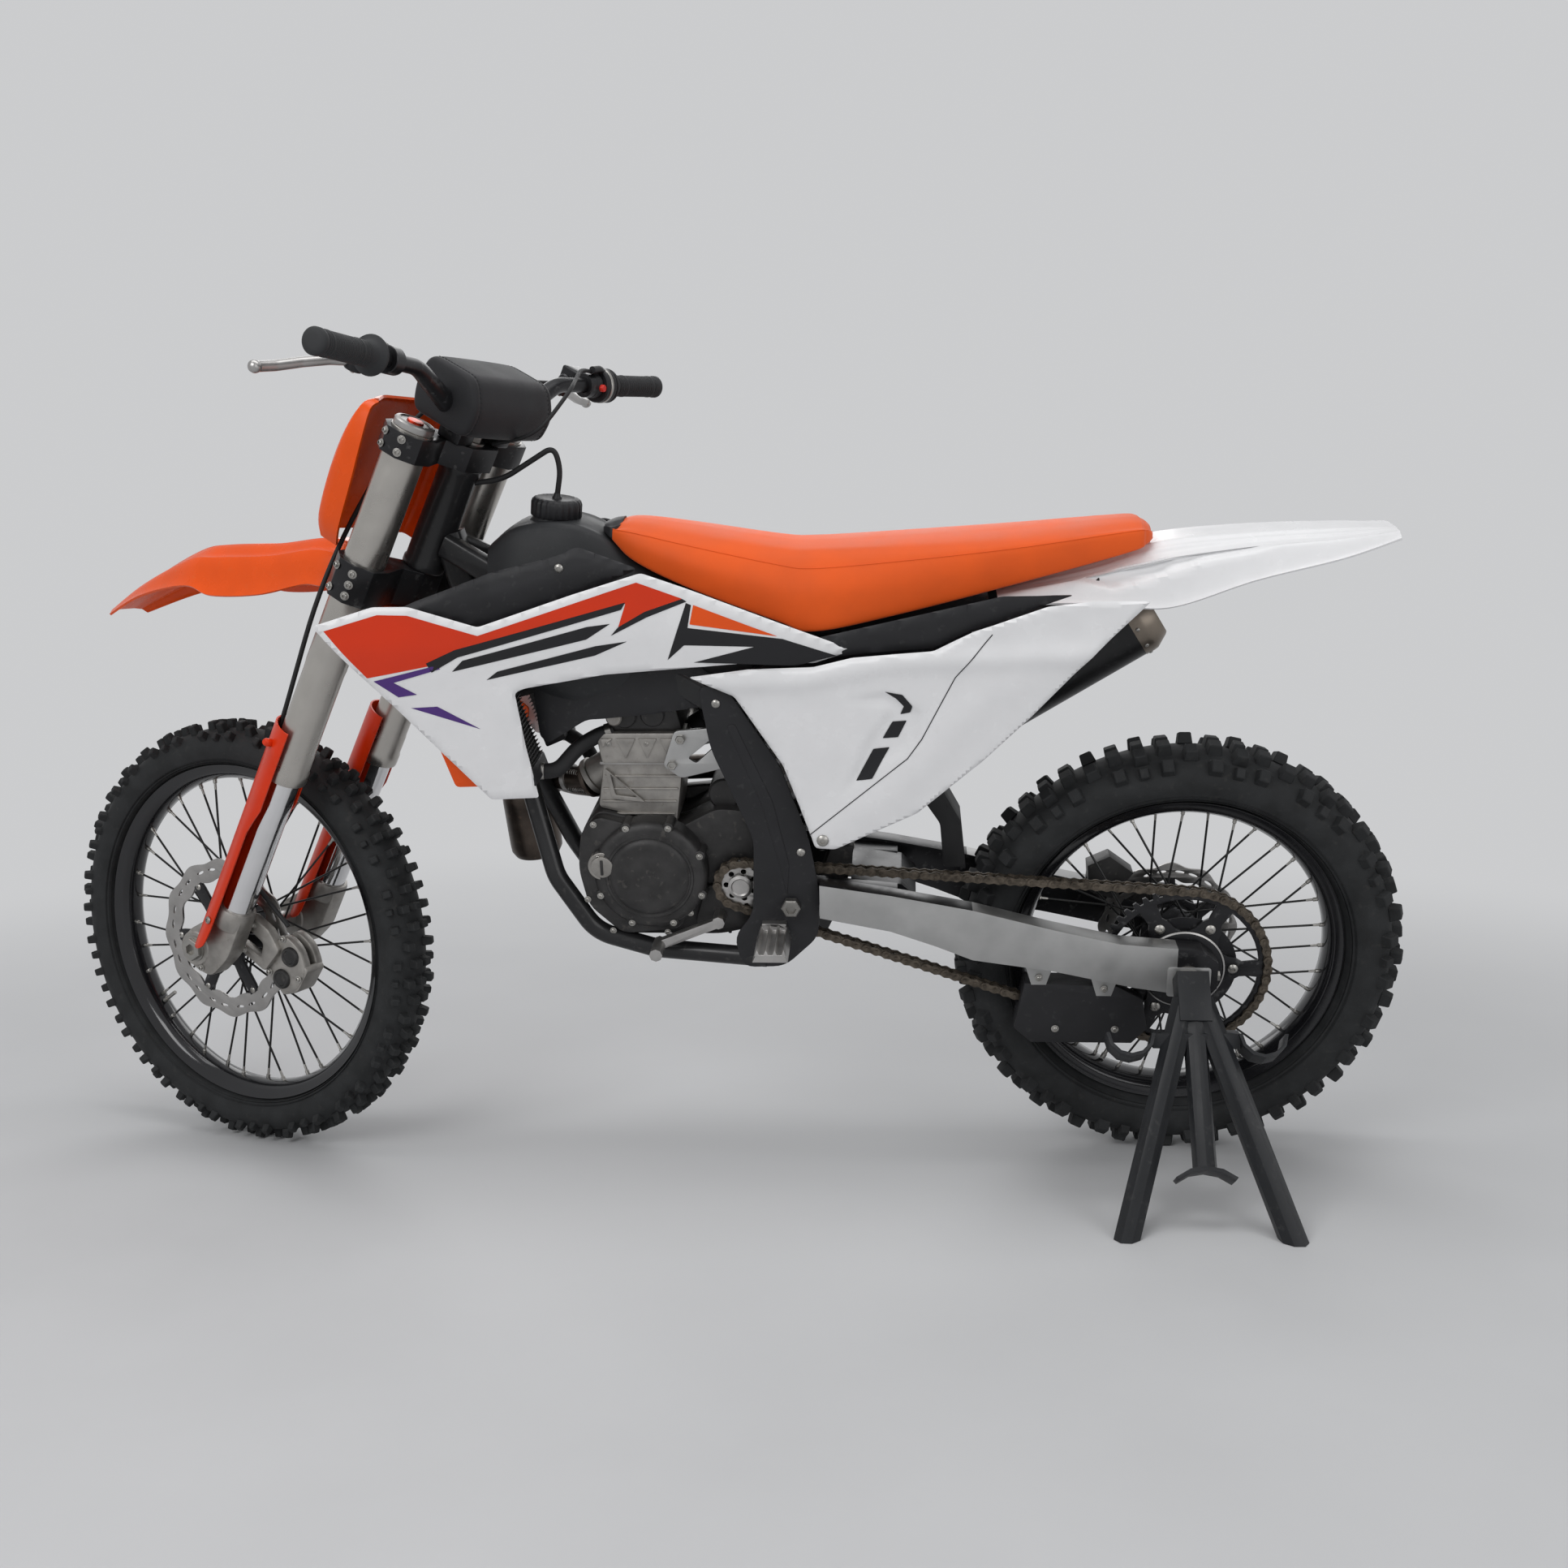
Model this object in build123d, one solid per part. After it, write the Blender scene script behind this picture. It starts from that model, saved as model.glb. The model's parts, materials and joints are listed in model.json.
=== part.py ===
from build123d import *
import os
from math import acos, atan2, cos, degrees, hypot, pi, radians, sin, tan

# A motocross bike that leans on its plug-in stand. Millimetres.
# The bike is drawn upright first: +X forward, +Y to its left, +Z up, with the
# rear axle over x = 0 and both tyres on z = 0. The last section turns the
# handlebar, leans the bike onto its stand and centres the origin below it.

# ---- Stance and main dimensions ----
wheelbase = 1485.0
rake = 25.9
steering_turn = 23.6        # the handlebar rests this far to the right
steering_lock = 41.0        # real lock, to each side of straight ahead
lean = 13.3                 # leftwards, onto the stand
joint_gap = 0.3             # between pieces that only lie against each other
pin_gap = 0.5               # beside a turning hub

# ---- Wheels ----
front_tyre_radius = 347.0
front_tyre_width = 84.0
front_rim_radius = 266.7    # bead seat of a 21 inch rim
front_rim_width = 52.0
rear_tyre_radius = 341.5
rear_tyre_width = 116.0
rear_rim_radius = 241.3     # bead seat of a 19 inch rim
rear_rim_width = 66.0
rim_flange = 10.0
rim_depth = 13.0
rim_bead_taper = 5.0        # how far each bead seat slopes in from its flange
lug_rows = 30
lug_height = 13.0
spoke_count = 36
spoke_size = 4.6            # across the corners of its three-sided section
front_hub_radius = 30.0
front_hub_width = 76.0
rear_hub_radius = 41.0
rear_hub_width = 84.0
front_axle_diameter = 26.0
front_axle_bore = 18.0
rear_axle_diameter = 25.0
rear_axle_bore = 16.0
front_disc_diameter = 260.0
rear_disc_diameter = 220.0
disc_thickness = 4.0
front_disc_place = 56.0     # the disc's middle, left of the wheel's
rear_disc_place = 70.0      # the disc's middle, right of the wheel's
wave_count = 12

# ---- Chain drive ----
chain_pitch = 15.875
chain_line = 77.0
chain_width = 15.0
chain_height = 14.0
plate_thickness = 2.2
sprocket_thickness = 6.0
front_teeth = 14
rear_teeth = 50
output_shaft = (666.0, 475.0)
sprocket_bolt_circle = 150.0
sprocket_bolts = 6
rear_corners = 13           # corners of the chain's run round each sprocket
front_corners = 7
roller_shares = (0.15, 0.32, 0.5, 0.68, 0.85)

# ---- Fork and steering ----
clamp_offset = 22.0
axle_lead = 35.0
lug_half = 17.0
leg_spacing = 212.0
outer_tube_diameter = 60.0
inner_tube_diameter = 48.0
outer_tube_low = 340.0      # heights along the steering axis, from the axle
outer_tube_high = 915.0
lower_clamp_low = 640.0
lower_clamp_height = 58.0
upper_clamp_low = 864.0
upper_clamp_height = 36.0
clamp_wall = 9.0
guard_gap = 10.0            # room for the brake hose behind the guard
head_tube_diameter = 62.0
stem_diameter = 30.0
bar_diameter = 28.6
bar_end_diameter = 22.2
bar_width = 810.0
bar_rise = 74.0
bar_seat = 948.0            # the bar's middle, up along the steering axis
bar_setback = 4.0
grip_length = 128.0
grip_diameter = 33.0

# ---- Frame and engine ----
pivot = (588.0, 455.0)
pivot_diameter = 22.0
stay_root = (606.0, 566.0)    # cross tube for the subframe's lower stays
shock_top = (650.0, 716.0)    # cross tube for the shock and the head hangers
radiator_inner = 62.0
radiator_outer = 148.0
frame_tube = 30.0
spar_height = 36.0
spar_width = 26.0
cradle_half_width = 74.0
plate_inner = 90.0           # pivot plates, outside the chain
plate_outer = 102.0
engine_half_width = 62.0
head_half_width = 66.0
swingarm_inner = 92.0
swingarm_width = 32.0
arm_inner = 62.0

# ---- Bodywork ----
panel_thickness = 3.0

# ---- Stand ----
stand_foot_spread = 224.0
stand_foot_reach = 176.0    # feet, further left than the axle's end
stand_tube = 38.0
stand_post = 34.0
stand_pin = 15.4

tube_sides = 12             # flats round a small tube
round_sides = 16            # flats round a fork tube or an axle
cover_sides = 20            # flats round an engine cover
hose_sides = 6              # flats round a hose
hose_share = 0.45           # of the shorter run beside a bend


# ---- Shapes used again and again ----
def side_face(points, corner=0.0):
    """A face in the bike's side view, from (x, z) corners."""
    face = make_face(Polyline(*points, close=True))
    if corner:
        face = fillet(face.vertices(), corner)
    return Plane.XZ * face


def slab(points, low, high, corner=0.0):
    """A side-view outline made solid between two distances from the middle."""
    return Pos(0, high, 0) * extrude(side_face(points, corner), high - low, dir=(0, -1, 0))


def rod(start, end, diameter):
    start, end = Vector(start), Vector(end)
    section = Plane(origin=start, z_dir=end - start) * Circle(diameter / 2)
    return extrude(section, (end - start).length)


def bar(start, end, width, depth=None, sides=4):
    """A straight bar of flat-sided section; width lies level and depth across it."""
    start, end = Vector(start), Vector(end)
    along = (end - start).normalized()
    level = Vector(0, 0, 1).cross(along)
    level = level.normalized() if level.length > 0.05 else Vector(0, 1, 0)
    plane = Plane(origin=start, x_dir=level, z_dir=along)
    if sides == 4:
        section = Rectangle(width, depth or width)
    else:
        section = RegularPolygon(width / 2, sides)
    return extrude(plane * section, (end - start).length)


def mitred(points, section):
    """A section carried along straight runs with mitred corners."""
    path = Polyline(*points)
    place = Plane(origin=path @ 0, z_dir=path % 0)
    return sweep(place * section, path=path, transition=Transition.RIGHT)


def pipe(points, diameter, bend):
    path = FilletPolyline(*points, radius=bend)
    section = Plane(origin=path @ 0, z_dir=path % 0) * Circle(diameter / 2)
    return sweep(section, path=path)


def across(x, z, low, high, diameter):
    """A rod that runs from side to side."""
    return rod((x, low, z), (x, high, z), diameter)


def hose(points, diameter, label):
    """A round hose on its route: straight runs joined by arcs as large as they allow."""
    points = [Vector(*tuple(point)) for point in points]
    runs = [end - start for start, end in zip(points, points[1:])]
    radii = []
    for before, after in zip(runs, runs[1:]):
        half_turn = radians(before.get_angle(after)) / 2
        radii.append(hose_share * min(before.length, after.length) / tan(half_turn))
    print(label, "bend radii", [round(radius) for radius in radii])
    path = FilletPolyline(*points, radius=radii)
    section = Plane(origin=path @ 0, z_dir=path % 0) * RegularPolygon(diameter / 2, hose_sides)
    return sweep(section, path=path)


def polar(radius, angle):
    return (radius * cos(radians(angle)), radius * sin(radians(angle)))


def facet_loft(sections):
    """A solid through rings of points, each ring as many points, skinned with flat triangles."""
    outlines = [sections[0], sections[-1][::-1]]
    for ring, following in zip(sections, sections[1:]):
        for index in range(len(ring)):
            beside = (index + 1) % len(ring)
            outlines.append([ring[index], following[index], ring[beside]])
            outlines.append([ring[beside], following[index], following[beside]])
    return closed_solid(outlines)


def closed_solid(outlines):
    """A solid from the outlines of its flat faces, whichever way round they were listed."""
    body = Solid(Shell([flat_face(outline) for outline in outlines]))
    if body.volume < 0:
        body = Solid(Shell([flat_face(outline[::-1]) for outline in outlines]))
    return body


def flat_face(points):
    return Face(Wire.make_polygon(points))


def fused(first, *others):
    return first.fuse(*[solid for shape in others for solid in shape.solids()])


def pair(shape):
    """A piece and its mirror image, as two solids of one node."""
    return Compound(children=[*shape.solids(), *mirror(shape, about=Plane.XZ).solids()])


def group(*shapes):
    return Compound(children=[solid for shape in shapes for solid in shape.solids()])


# ---- Wheels, each drawn about the Y axis ----
def flat_ring(section, sides):
    """A closed ring with flat sides: (radius, y) corners turned in equal steps."""
    stretch = 1 / cos(pi / sides)

    def corner(step, radius, y):
        angle = 2 * pi * (step - 0.5) / sides
        return Vector(radius * stretch * cos(angle), y, radius * stretch * sin(angle))

    faces = []
    for step in range(sides):
        for (r0, y0), (r1, y1) in zip(section, section[1:] + section[:1]):
            corners = [corner(step, r0, y0), corner(step, r1, y1),
                       corner(step + 1, r1, y1), corner(step + 1, r0, y0)]
            faces.append(corners)
    return closed_solid(faces)


def tread_lug(base_start, base_end, length, height):
    """A block that stands on the side of the carcass between two (radius, y) points."""
    start, end = Vector(*base_start), Vector(*base_end)
    along = (end - start).normalized()
    outward = Vector(along.Y, -along.X)
    if outward.X < 0:
        outward = outward * -1
    sunk = outward * -2.0
    taper = along * (height * 0.18)
    corners = [start + sunk, end + sunk, end - taper + outward * height, start + taper + outward * height]
    face = make_face(Polyline(*[(corner.X, corner.Y) for corner in corners], close=True))
    return Pos(0, 0, -length / 2) * extrude(face, length, dir=(0, 0, 1))


def tyre(radius, width, rim_radius, rim_width, centre_lug, side_lug):
    """Carcass of flat facets with three rows of lugs on them."""
    half = width / 2
    crown = radius - lug_height
    centre_half = width * 0.26
    shoulder = (crown - width * 0.11, half * 0.86)
    widest = (rim_radius + (crown - rim_radius) * 0.52, half)
    bead = rim_width / 2 - rim_bead_taper - joint_gap
    bead_top = rim_radius + joint_gap
    profile = [(crown, centre_half), shoulder, widest, (rim_radius + rim_flange + 4, bead + 3),
               (bead_top, bead)]
    section = [(r, -y) for r, y in reversed(profile)] + profile
    carcass = flat_ring(section, lug_rows)
    lugs = []
    for row in range(lug_rows):
        turn = Rot(0, 360 * row / lug_rows, 0)
        inset = centre_half * (0.16 if row % 2 else 0.42)
        centre = tread_lug((crown, inset - centre_half), (crown, centre_half - inset), centre_lug, lug_height)
        lugs.append(turn * centre)
        reach = 0.96 if row % 2 else 0.72
        edge = (crown + (shoulder[0] - crown) * reach, centre_half + (shoulder[1] - centre_half) * reach)
        start = (crown, centre_half)
        side = tread_lug(start, edge, side_lug, lug_height * 0.9)
        lugs.append(turn * side)
        lugs.append(turn * mirror(side, about=Plane.XZ))
    return carcass.fuse(*[solid for lug in lugs for solid in lug.solids()])


def flat_turning(profile, sides):
    """A flat-sided solid of turning, from (radius, y) stations."""
    stretch = 1 / cos(pi / sides)
    angles = [2 * pi * (step - 0.5) / sides for step in range(sides)]
    return facet_loft([[Vector(radius * stretch * cos(angle), y, radius * stretch * sin(angle)) for angle in angles]
                       for radius, y in profile])


def rim(rim_radius, rim_width):
    """Channel section with a flange at each side and a dropped well."""
    half = rim_width / 2
    well = rim_radius - rim_depth
    lip = rim_radius + rim_flange
    seat_half = half - rim_bead_taper
    outside = [(lip, -half), (rim_radius, -seat_half), (rim_radius, seat_half), (lip, half)]
    inside = [(lip - 2, -half - 1), (well, -seat_half), (well, seat_half), (lip - 2, half + 1)]
    return flat_turning(outside, lug_rows) - flat_turning(inside, lug_rows)


def hub(radius, width, bore, rim_radius, spread):
    """Hub shell with its flanges and all its spokes."""
    half = width / 2
    flange = radius + 7
    barrel = radius * 0.72
    section = [(bore * 0.4, half), (bore * 0.4, -half), (radius + 2, -half), (flange, -half + 5), (flange, -half + 11),
               (barrel, -half + 18), (barrel, half - 18), (flange, half - 11), (flange, half - 5), (radius + 2, half)]
    shell = flat_ring(section, tube_sides) - bar((0, -width, 0), (0, width, 0), bore, sides=round_sides)
    tip = rim_radius - rim_depth - 1.2
    spokes = []
    for index in range(spoke_count):
        side = 1 if index % 2 else -1
        sweep_back = spread if (index // 2) % 2 else -spread
        rim_angle = radians(360 * index / spoke_count)
        hub_angle = rim_angle + radians(sweep_back)
        head = half - 8 + (3 if sweep_back > 0 else -3)
        start = Vector((flange - 4) * cos(hub_angle), side * head, (flange - 4) * sin(hub_angle))
        end = Vector(tip * cos(rim_angle), side * 5, tip * sin(rim_angle))
        spokes.append(bar(start, end, spoke_size, sides=3))
    return fused(shell, *spokes)


def wave_disc(diameter, inner, place, bore):
    """Brake disc with a wavy edge, held by arms on a carrier ring."""
    outer = diameter / 2
    step = 360 / wave_count
    edge = []
    for wave in range(wave_count):
        edge += [polar(outer - 5, step * wave), polar(outer, step * (wave + 0.45))]
    face = make_face(Polyline(*edge, close=True)) - RegularPolygon(bore, tube_sides)
    for window in range(wave_count // 2):
        middle = 2 * step * window
        cut = [polar(inner, middle - step * 0.72), polar(inner, middle), polar(inner, middle + step * 0.72),
               polar(bore + 13, middle + step * 0.5), polar(bore + 13, middle - step * 0.5)]
        face -= make_face(Polyline(*cut, close=True))
    body = extrude(Plane.XZ * face, disc_thickness, dir=(0, -1, 0))
    return Pos(0, place + disc_thickness / 2, 0) * body


def sprocket(teeth, bore):
    """Chain sprocket with a valley and a point for each tooth."""
    pitch_radius = chain_pitch / 2 / sin(pi / teeth)
    step = 360 / teeth
    edge = []
    for tooth in range(teeth):
        angle = tooth * step
        edge += [polar(pitch_radius - 4.5, angle), polar(pitch_radius + 4, angle + step * 0.5)]
    face = make_face(Polyline(*edge, close=True))
    if bore:
        face -= RegularPolygon(bore, tube_sides)
    return face, pitch_radius


def rear_sprocket_body():
    face, pitch_radius = sprocket(rear_teeth, rear_hub_radius - 6)
    bolt_radius = sprocket_bolt_circle / 2
    step = 360 / sprocket_bolts
    for window in range(sprocket_bolts):
        middle = step * (window + 0.5)
        cut = [polar(pitch_radius - 14, middle - step * 0.36), polar(pitch_radius - 14, middle),
               polar(pitch_radius - 14, middle + step * 0.36), polar(bolt_radius + 9, middle + step * 0.3),
               polar(bolt_radius - 9, middle + step * 0.16), polar(bolt_radius - 9, middle - step * 0.16),
               polar(bolt_radius + 9, middle - step * 0.3)]
        face -= make_face(Polyline(*cut, close=True))
    body = extrude(Plane.XZ * face, sprocket_thickness, dir=(0, -1, 0))
    return Pos(0, chain_line + sprocket_thickness / 2, 0) * body


steering_up = Vector(-sin(radians(rake)), 0, cos(radians(rake)))
steering_ahead = Vector(cos(radians(rake)), 0, sin(radians(rake)))
front_axle_point = Vector(wheelbase, 0, front_tyre_radius)
steering_origin = front_axle_point - steering_ahead * (clamp_offset + axle_lead)
steering_plane = Plane(origin=steering_origin, x_dir=steering_ahead, z_dir=steering_up)


# ---- The steering group, drawn about its own axis: +X ahead, +Y left, +Z up the axis ----
def to_steering(shape):
    """Out of the steering's own frame into the upright bike, straight ahead."""
    return steering_plane.location * shape


def leg_place(side):
    return (clamp_offset, side * leg_spacing / 2)


def fork_clamp(low, height, reach):
    """A clamp that wraps both fork tubes round the steering stem."""
    tube = outer_tube_diameter / 2
    outer = tube + clamp_wall
    x, y = leg_place(1)
    left = [(x + outer * sin(radians(angle)), y + outer * cos(radians(angle))) for angle in range(105, -106, -42)]
    right = [(px, -py) for px, py in reversed(left)]
    waist = 2 * reach + 2
    web = [(-reach, reach), (-4, waist), *reversed(left), (reach, reach), (reach, -reach), *reversed(right),
           (-4, -waist), (-reach, -reach)]
    face = make_face(Polyline(*web, close=True))
    for side in (1, -1):
        face -= Pos(*leg_place(side)) * RegularPolygon(tube, round_sides)
    return Pos(0, 0, low) * extrude(face, height, dir=(0, 0, 1))


def upper_clamp():
    return fork_clamp(upper_clamp_low, upper_clamp_height, 30)


def lower_clamp():
    """Lower clamp with the stem that turns in the head tube, up to the upper clamp."""
    stem = bar((0, 0, lower_clamp_low + lower_clamp_height), (0, 0, upper_clamp_low), stem_diameter,
               sides=round_sides)
    return fork_clamp(lower_clamp_low, lower_clamp_height, 23) + stem


def outer_tube(side):
    x, y = leg_place(side)
    return bar((x, y, outer_tube_low), (x, y, outer_tube_high - 12), outer_tube_diameter, sides=round_sides)


def fork_tubes():
    shapes = []
    for side in (1, -1):
        x, y = leg_place(side)
        cap = bar((x, y, outer_tube_high - 12), (x, y, outer_tube_high), outer_tube_diameter - 8, sides=round_sides)
        shapes.append(outer_tube(side) + cap)
    return group(*shapes)


def axle_lug(side):
    """The casting at the foot of a leg that carries the axle ahead of it."""
    x, y = leg_place(side)
    outline = [(x - 27, 96), (x - 27, 20), (x - 8, -30), (x + axle_lead - 8, -32), (x + axle_lead + 24, -18),
               (x + axle_lead + 27, 18), (x + 27, 62), (x + 27, 96)]
    return slab(outline, y - lug_half, y + lug_half)


def fork_legs():
    """Inner tubes, each with its axle lug."""
    shapes = []
    for side in (1, -1):
        x, y = leg_place(side)
        tube = bar((x, y, 60), (x, y, outer_tube_low), inner_tube_diameter, sides=round_sides)
        hole = bar((x + axle_lead, y - 40, 0), (x + axle_lead, y + 40, 0), front_axle_diameter, sides=round_sides)
        shapes.append(tube + axle_lug(side) - hole)
    return group(*shapes)


def fork_guards():
    """Shields, wrapped round the front of each leg."""
    shapes = []
    inner = outer_tube_diameter / 2 + guard_gap
    outer = inner + panel_thickness
    sweep_out = range(-100, 101, 40)
    for side in (1, -1):
        x, y = leg_place(side)
        edge = [polar(outer, angle) for angle in sweep_out] + [polar(inner, angle) for angle in reversed(sweep_out)]
        shell = extrude(Pos(x, y) * make_face(Polyline(*edge, close=True)), 420, dir=(0, 0, 1))
        shape = [(x - 30, 420), (x - 30, 330), (x + 6, 250), (x + 6, 60), (x + 46, 8), (x + 70, 8), (x + 70, 398),
                 (x - 10, 398), (x - 10, 420)]
        shapes.append((shell & slab(shape, y - 80, y + 80)) - axle_lug(side))
    return group(*shapes)


def arch(half_width, drop, thickness):
    """Outer and inner corners of an arched section: (across, up) from its crown."""
    outer = [(-half_width, -drop), (-half_width * 0.78, -drop * 0.3), (-half_width * 0.35, 0),
             (half_width * 0.35, 0), (half_width * 0.78, -drop * 0.3), (half_width, -drop)]
    inner = [(y * (1 - thickness / half_width), z - thickness * (0.4 if abs(y) == half_width else 1))
             for y, z in reversed(outer)]
    return outer + inner


def blade(stations, thickness):
    """A fender: arched sections at (x, z, slope, half width, drop), joined straight."""
    sections = []
    for x, z, slope, half_width, drop in stations:
        up = Vector(-sin(radians(slope)), 0, cos(radians(slope)))
        sections.append([Vector(x, y, z) + up * rise for y, rise in arch(half_width, drop, thickness)])
    return facet_loft(sections)


def front_fender():
    """Blade over the front wheel, bolted under the lower clamp."""
    crown = lower_clamp_low - joint_gap
    stations = [(499, 356, -55, 40, 10), (438, 440, -50, 66, 24), (364, 528, -40, 80, 50), (316, 563, -31, 82, 72),
                (231, 610, -24, 76, 72), (150, 662, -14, 72, 66), (98, 670, 8, 70, 60), (66, crown, 40, 67, 30),
                (-40, crown, 0, 50, 20)]
    return blade(stations, 3.5)


def number_plate():
    """Shell in front of the clamps, open behind, with a tab to each fork tube."""
    low, high = 690.0, 904.0
    wall = panel_thickness + 1
    front, corner, back = 146.0, 128.0, 70.0
    plan = [(back, 116), (corner, 92), (front, 38), (front, -38), (corner, -92), (back, -116)]
    inner = [(back, wall - 116), (corner - wall, 4 - 92), (front - wall, 2 - 38), (front - wall, 38 - 2),
             (corner - wall, 92 - 4), (back, 116 - wall)]
    shell = Pos(0, 0, low) * extrude(make_face(Polyline(*plan, *inner, close=True)), high - low, dir=(0, 0, 1))
    notch = [(0, high + 20), (back + 36, high + 20), (back + 16, high - 40), (back + 2, low + 60), (0, low + 60)]
    plate = shell - slab(notch, -140, 140)
    for side in (1, -1):
        tab = slab([(44, 712), (back + 6, 712), (back + 6, 738), (44, 738)], side * 112 - 3, side * 112 + 3)
        plate = plate + (tab - outer_tube(side))
    return plate


def bar_tip(side):
    return Vector(-20, side * bar_width / 2, bar_seat + bar_rise)


def bar_elbow(side):
    return Vector(bar_setback + 8, side * 168, bar_seat + bar_rise * 0.66)


def bar_line(side):
    """The end of the bar and the direction inwards along its straight outer stretch."""
    tip = bar_tip(side)
    return tip, (bar_elbow(side) - tip).normalized()


def handlebar():
    """Bar with its rise, on two clamp blocks."""
    shapes = [bar((-bar_setback, -78, bar_seat), (-bar_setback, 78, bar_seat), bar_diameter, sides=tube_sides)]
    for side in (1, -1):
        tip, inward = bar_line(side)
        knee = Vector(-bar_setback, side * 76, bar_seat)
        bend = knee + (bar_elbow(side) - knee) * 0.25 - Vector(0, 0, 6)
        points = [knee, bend, bar_elbow(side) - (bar_elbow(side) - knee) * 0.12, bar_elbow(side) - inward * 14,
                  tip + inward * grip_length]
        shapes.append(mitred(points, RegularPolygon(bar_end_diameter / 2, tube_sides)))
    clamp_top = bar_seat + bar_diameter / 2 + 9
    clamp_foot = upper_clamp_low + upper_clamp_height
    for side in (1, -1):
        outline = [(-bar_setback - 19, clamp_foot), (-bar_setback + 19, clamp_foot), (-bar_setback + 22, bar_seat),
                   (-bar_setback + 16, clamp_top), (-bar_setback - 16, clamp_top), (-bar_setback - 22, bar_seat)]
        shapes.append(slab(outline, side * 44 - 17, side * 44 + 17))
    body = shapes[0]
    for shape in shapes[1:]:
        body = body + shape
    return body


def grips():
    shapes = []
    for side in (1, -1):
        tip, inward = bar_line(side)
        root = tip + inward * grip_length
        grip = bar(tip, root, grip_diameter, sides=tube_sides)
        shapes.append(grip + bar(root - inward * 5, root, grip_diameter + 20, sides=tube_sides))
    return group(*shapes)


def bar_pad():
    """Soft block over the bar's middle, slotted to sit round its clamps."""
    low, high = upper_clamp_low + upper_clamp_height + 22, bar_seat + 58
    outline = [(-52, low), (46, low), (56, low + 40), (48, high), (-34, high), (-58, high - 40)]
    pad = slab(outline, -96, 96)
    top = bar_seat + bar_diameter / 2 + 14
    clear = 22 + 1.0
    slot = [(-bar_setback - clear, low - 20), (-bar_setback + clear, low - 20), (-bar_setback + clear, top),
            (-bar_setback - clear, top)]
    return pad - slab(slot, -130, 130)


def lever(side):
    """Perch and lever on one side of the bar."""
    tip, inward = bar_line(side)
    perch = tip + inward * (grip_length + 42)
    clamp = bar(perch - inward * 11, perch + inward * 11, bar_end_diameter + 14, sides=8)
    knuckle = perch + Vector(44, side * 6, -24)
    arm = bar(perch, knuckle, 18, 14)
    reach = tip + Vector(92, side * -26, -64)
    middle = knuckle + (reach - knuckle) * 0.22 + Vector(10, 0, 0)
    blade_body = bar(knuckle - Vector(6, 0, 0), middle, 13, 9) + bar(middle, reach, 9, 13)
    end = bar(reach - Vector(0, side * 6, 0), reach + Vector(0, side * 10, 0), 17, sides=8)
    boss = bar(knuckle - Vector(0, 0, 12), knuckle + Vector(0, 0, 12), 24, sides=8)
    return clamp + arm + boss + blade_body + end - bar_bore(side)


def bar_bore(side):
    tip, inward = bar_line(side)
    return bar(tip, tip + inward * (grip_length + 90), bar_end_diameter + 1, sides=tube_sides)


def clutch_control():
    return lever(1)


def brake_control():
    """Front brake lever with its master cylinder, and the twist-grip housing."""
    side = -1
    tip, inward = bar_line(side)
    perch = tip + inward * (grip_length + 42)
    cylinder = bar(perch + Vector(30, 26, -10), perch + Vector(24, -24, -12), 26, 26)
    housing_start = tip + inward * grip_length
    housing = bar(housing_start, housing_start + inward * 24, 52, sides=10) - bar_bore(side)
    return group(lever(side) + cylinder - bar_bore(side), housing)


def front_caliper():
    """Two-piston body behind the left leg, with its bracket arm."""
    x, y = leg_place(1)
    reach = front_disc_diameter / 2
    low, high = front_disc_place - 24, front_disc_place + 27
    body = [(-72, 82), (-30, 92), (-8, 40), (-30, -6), (-72, -22), (-104, 6), (-108, 52)]
    block = slab([(px - 18, pz + 8) for px, pz in body], low, high)
    centre = (x + axle_lead, 0)
    slot = Pos(centre[0], front_disc_place, centre[1]) * Rot(90, 0, 0) * Cylinder(reach + 5, disc_thickness + 4)
    lug_face = y - lug_half
    arm = slab([(-60, 66), (12, 88), (12, 30), (-60, 10)], front_disc_place + 12, lug_face)
    return block + arm - slot


def front_axle():
    """Hollow spindle through both lugs, with its nut."""
    x = clamp_offset + axle_lead
    reach = leg_spacing / 2 + 22
    body = bar((x, -reach, 0), (x, reach, 0), front_axle_diameter, sides=round_sides)
    nut = bar((x, reach, 0), (x, reach + 6, 0), 36, sides=6)
    body = body + nut
    for side in (1, -1):
        spacer = bar((x, side * (front_hub_width / 2 + pin_gap), 0), (x, side * (leg_spacing / 2 - lug_half), 0),
                     front_axle_diameter + 6, sides=round_sides)
        body = body + spacer
    return body - rod((x, -reach - 20, 0), (x, reach + 20, 0), front_axle_bore)


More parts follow.
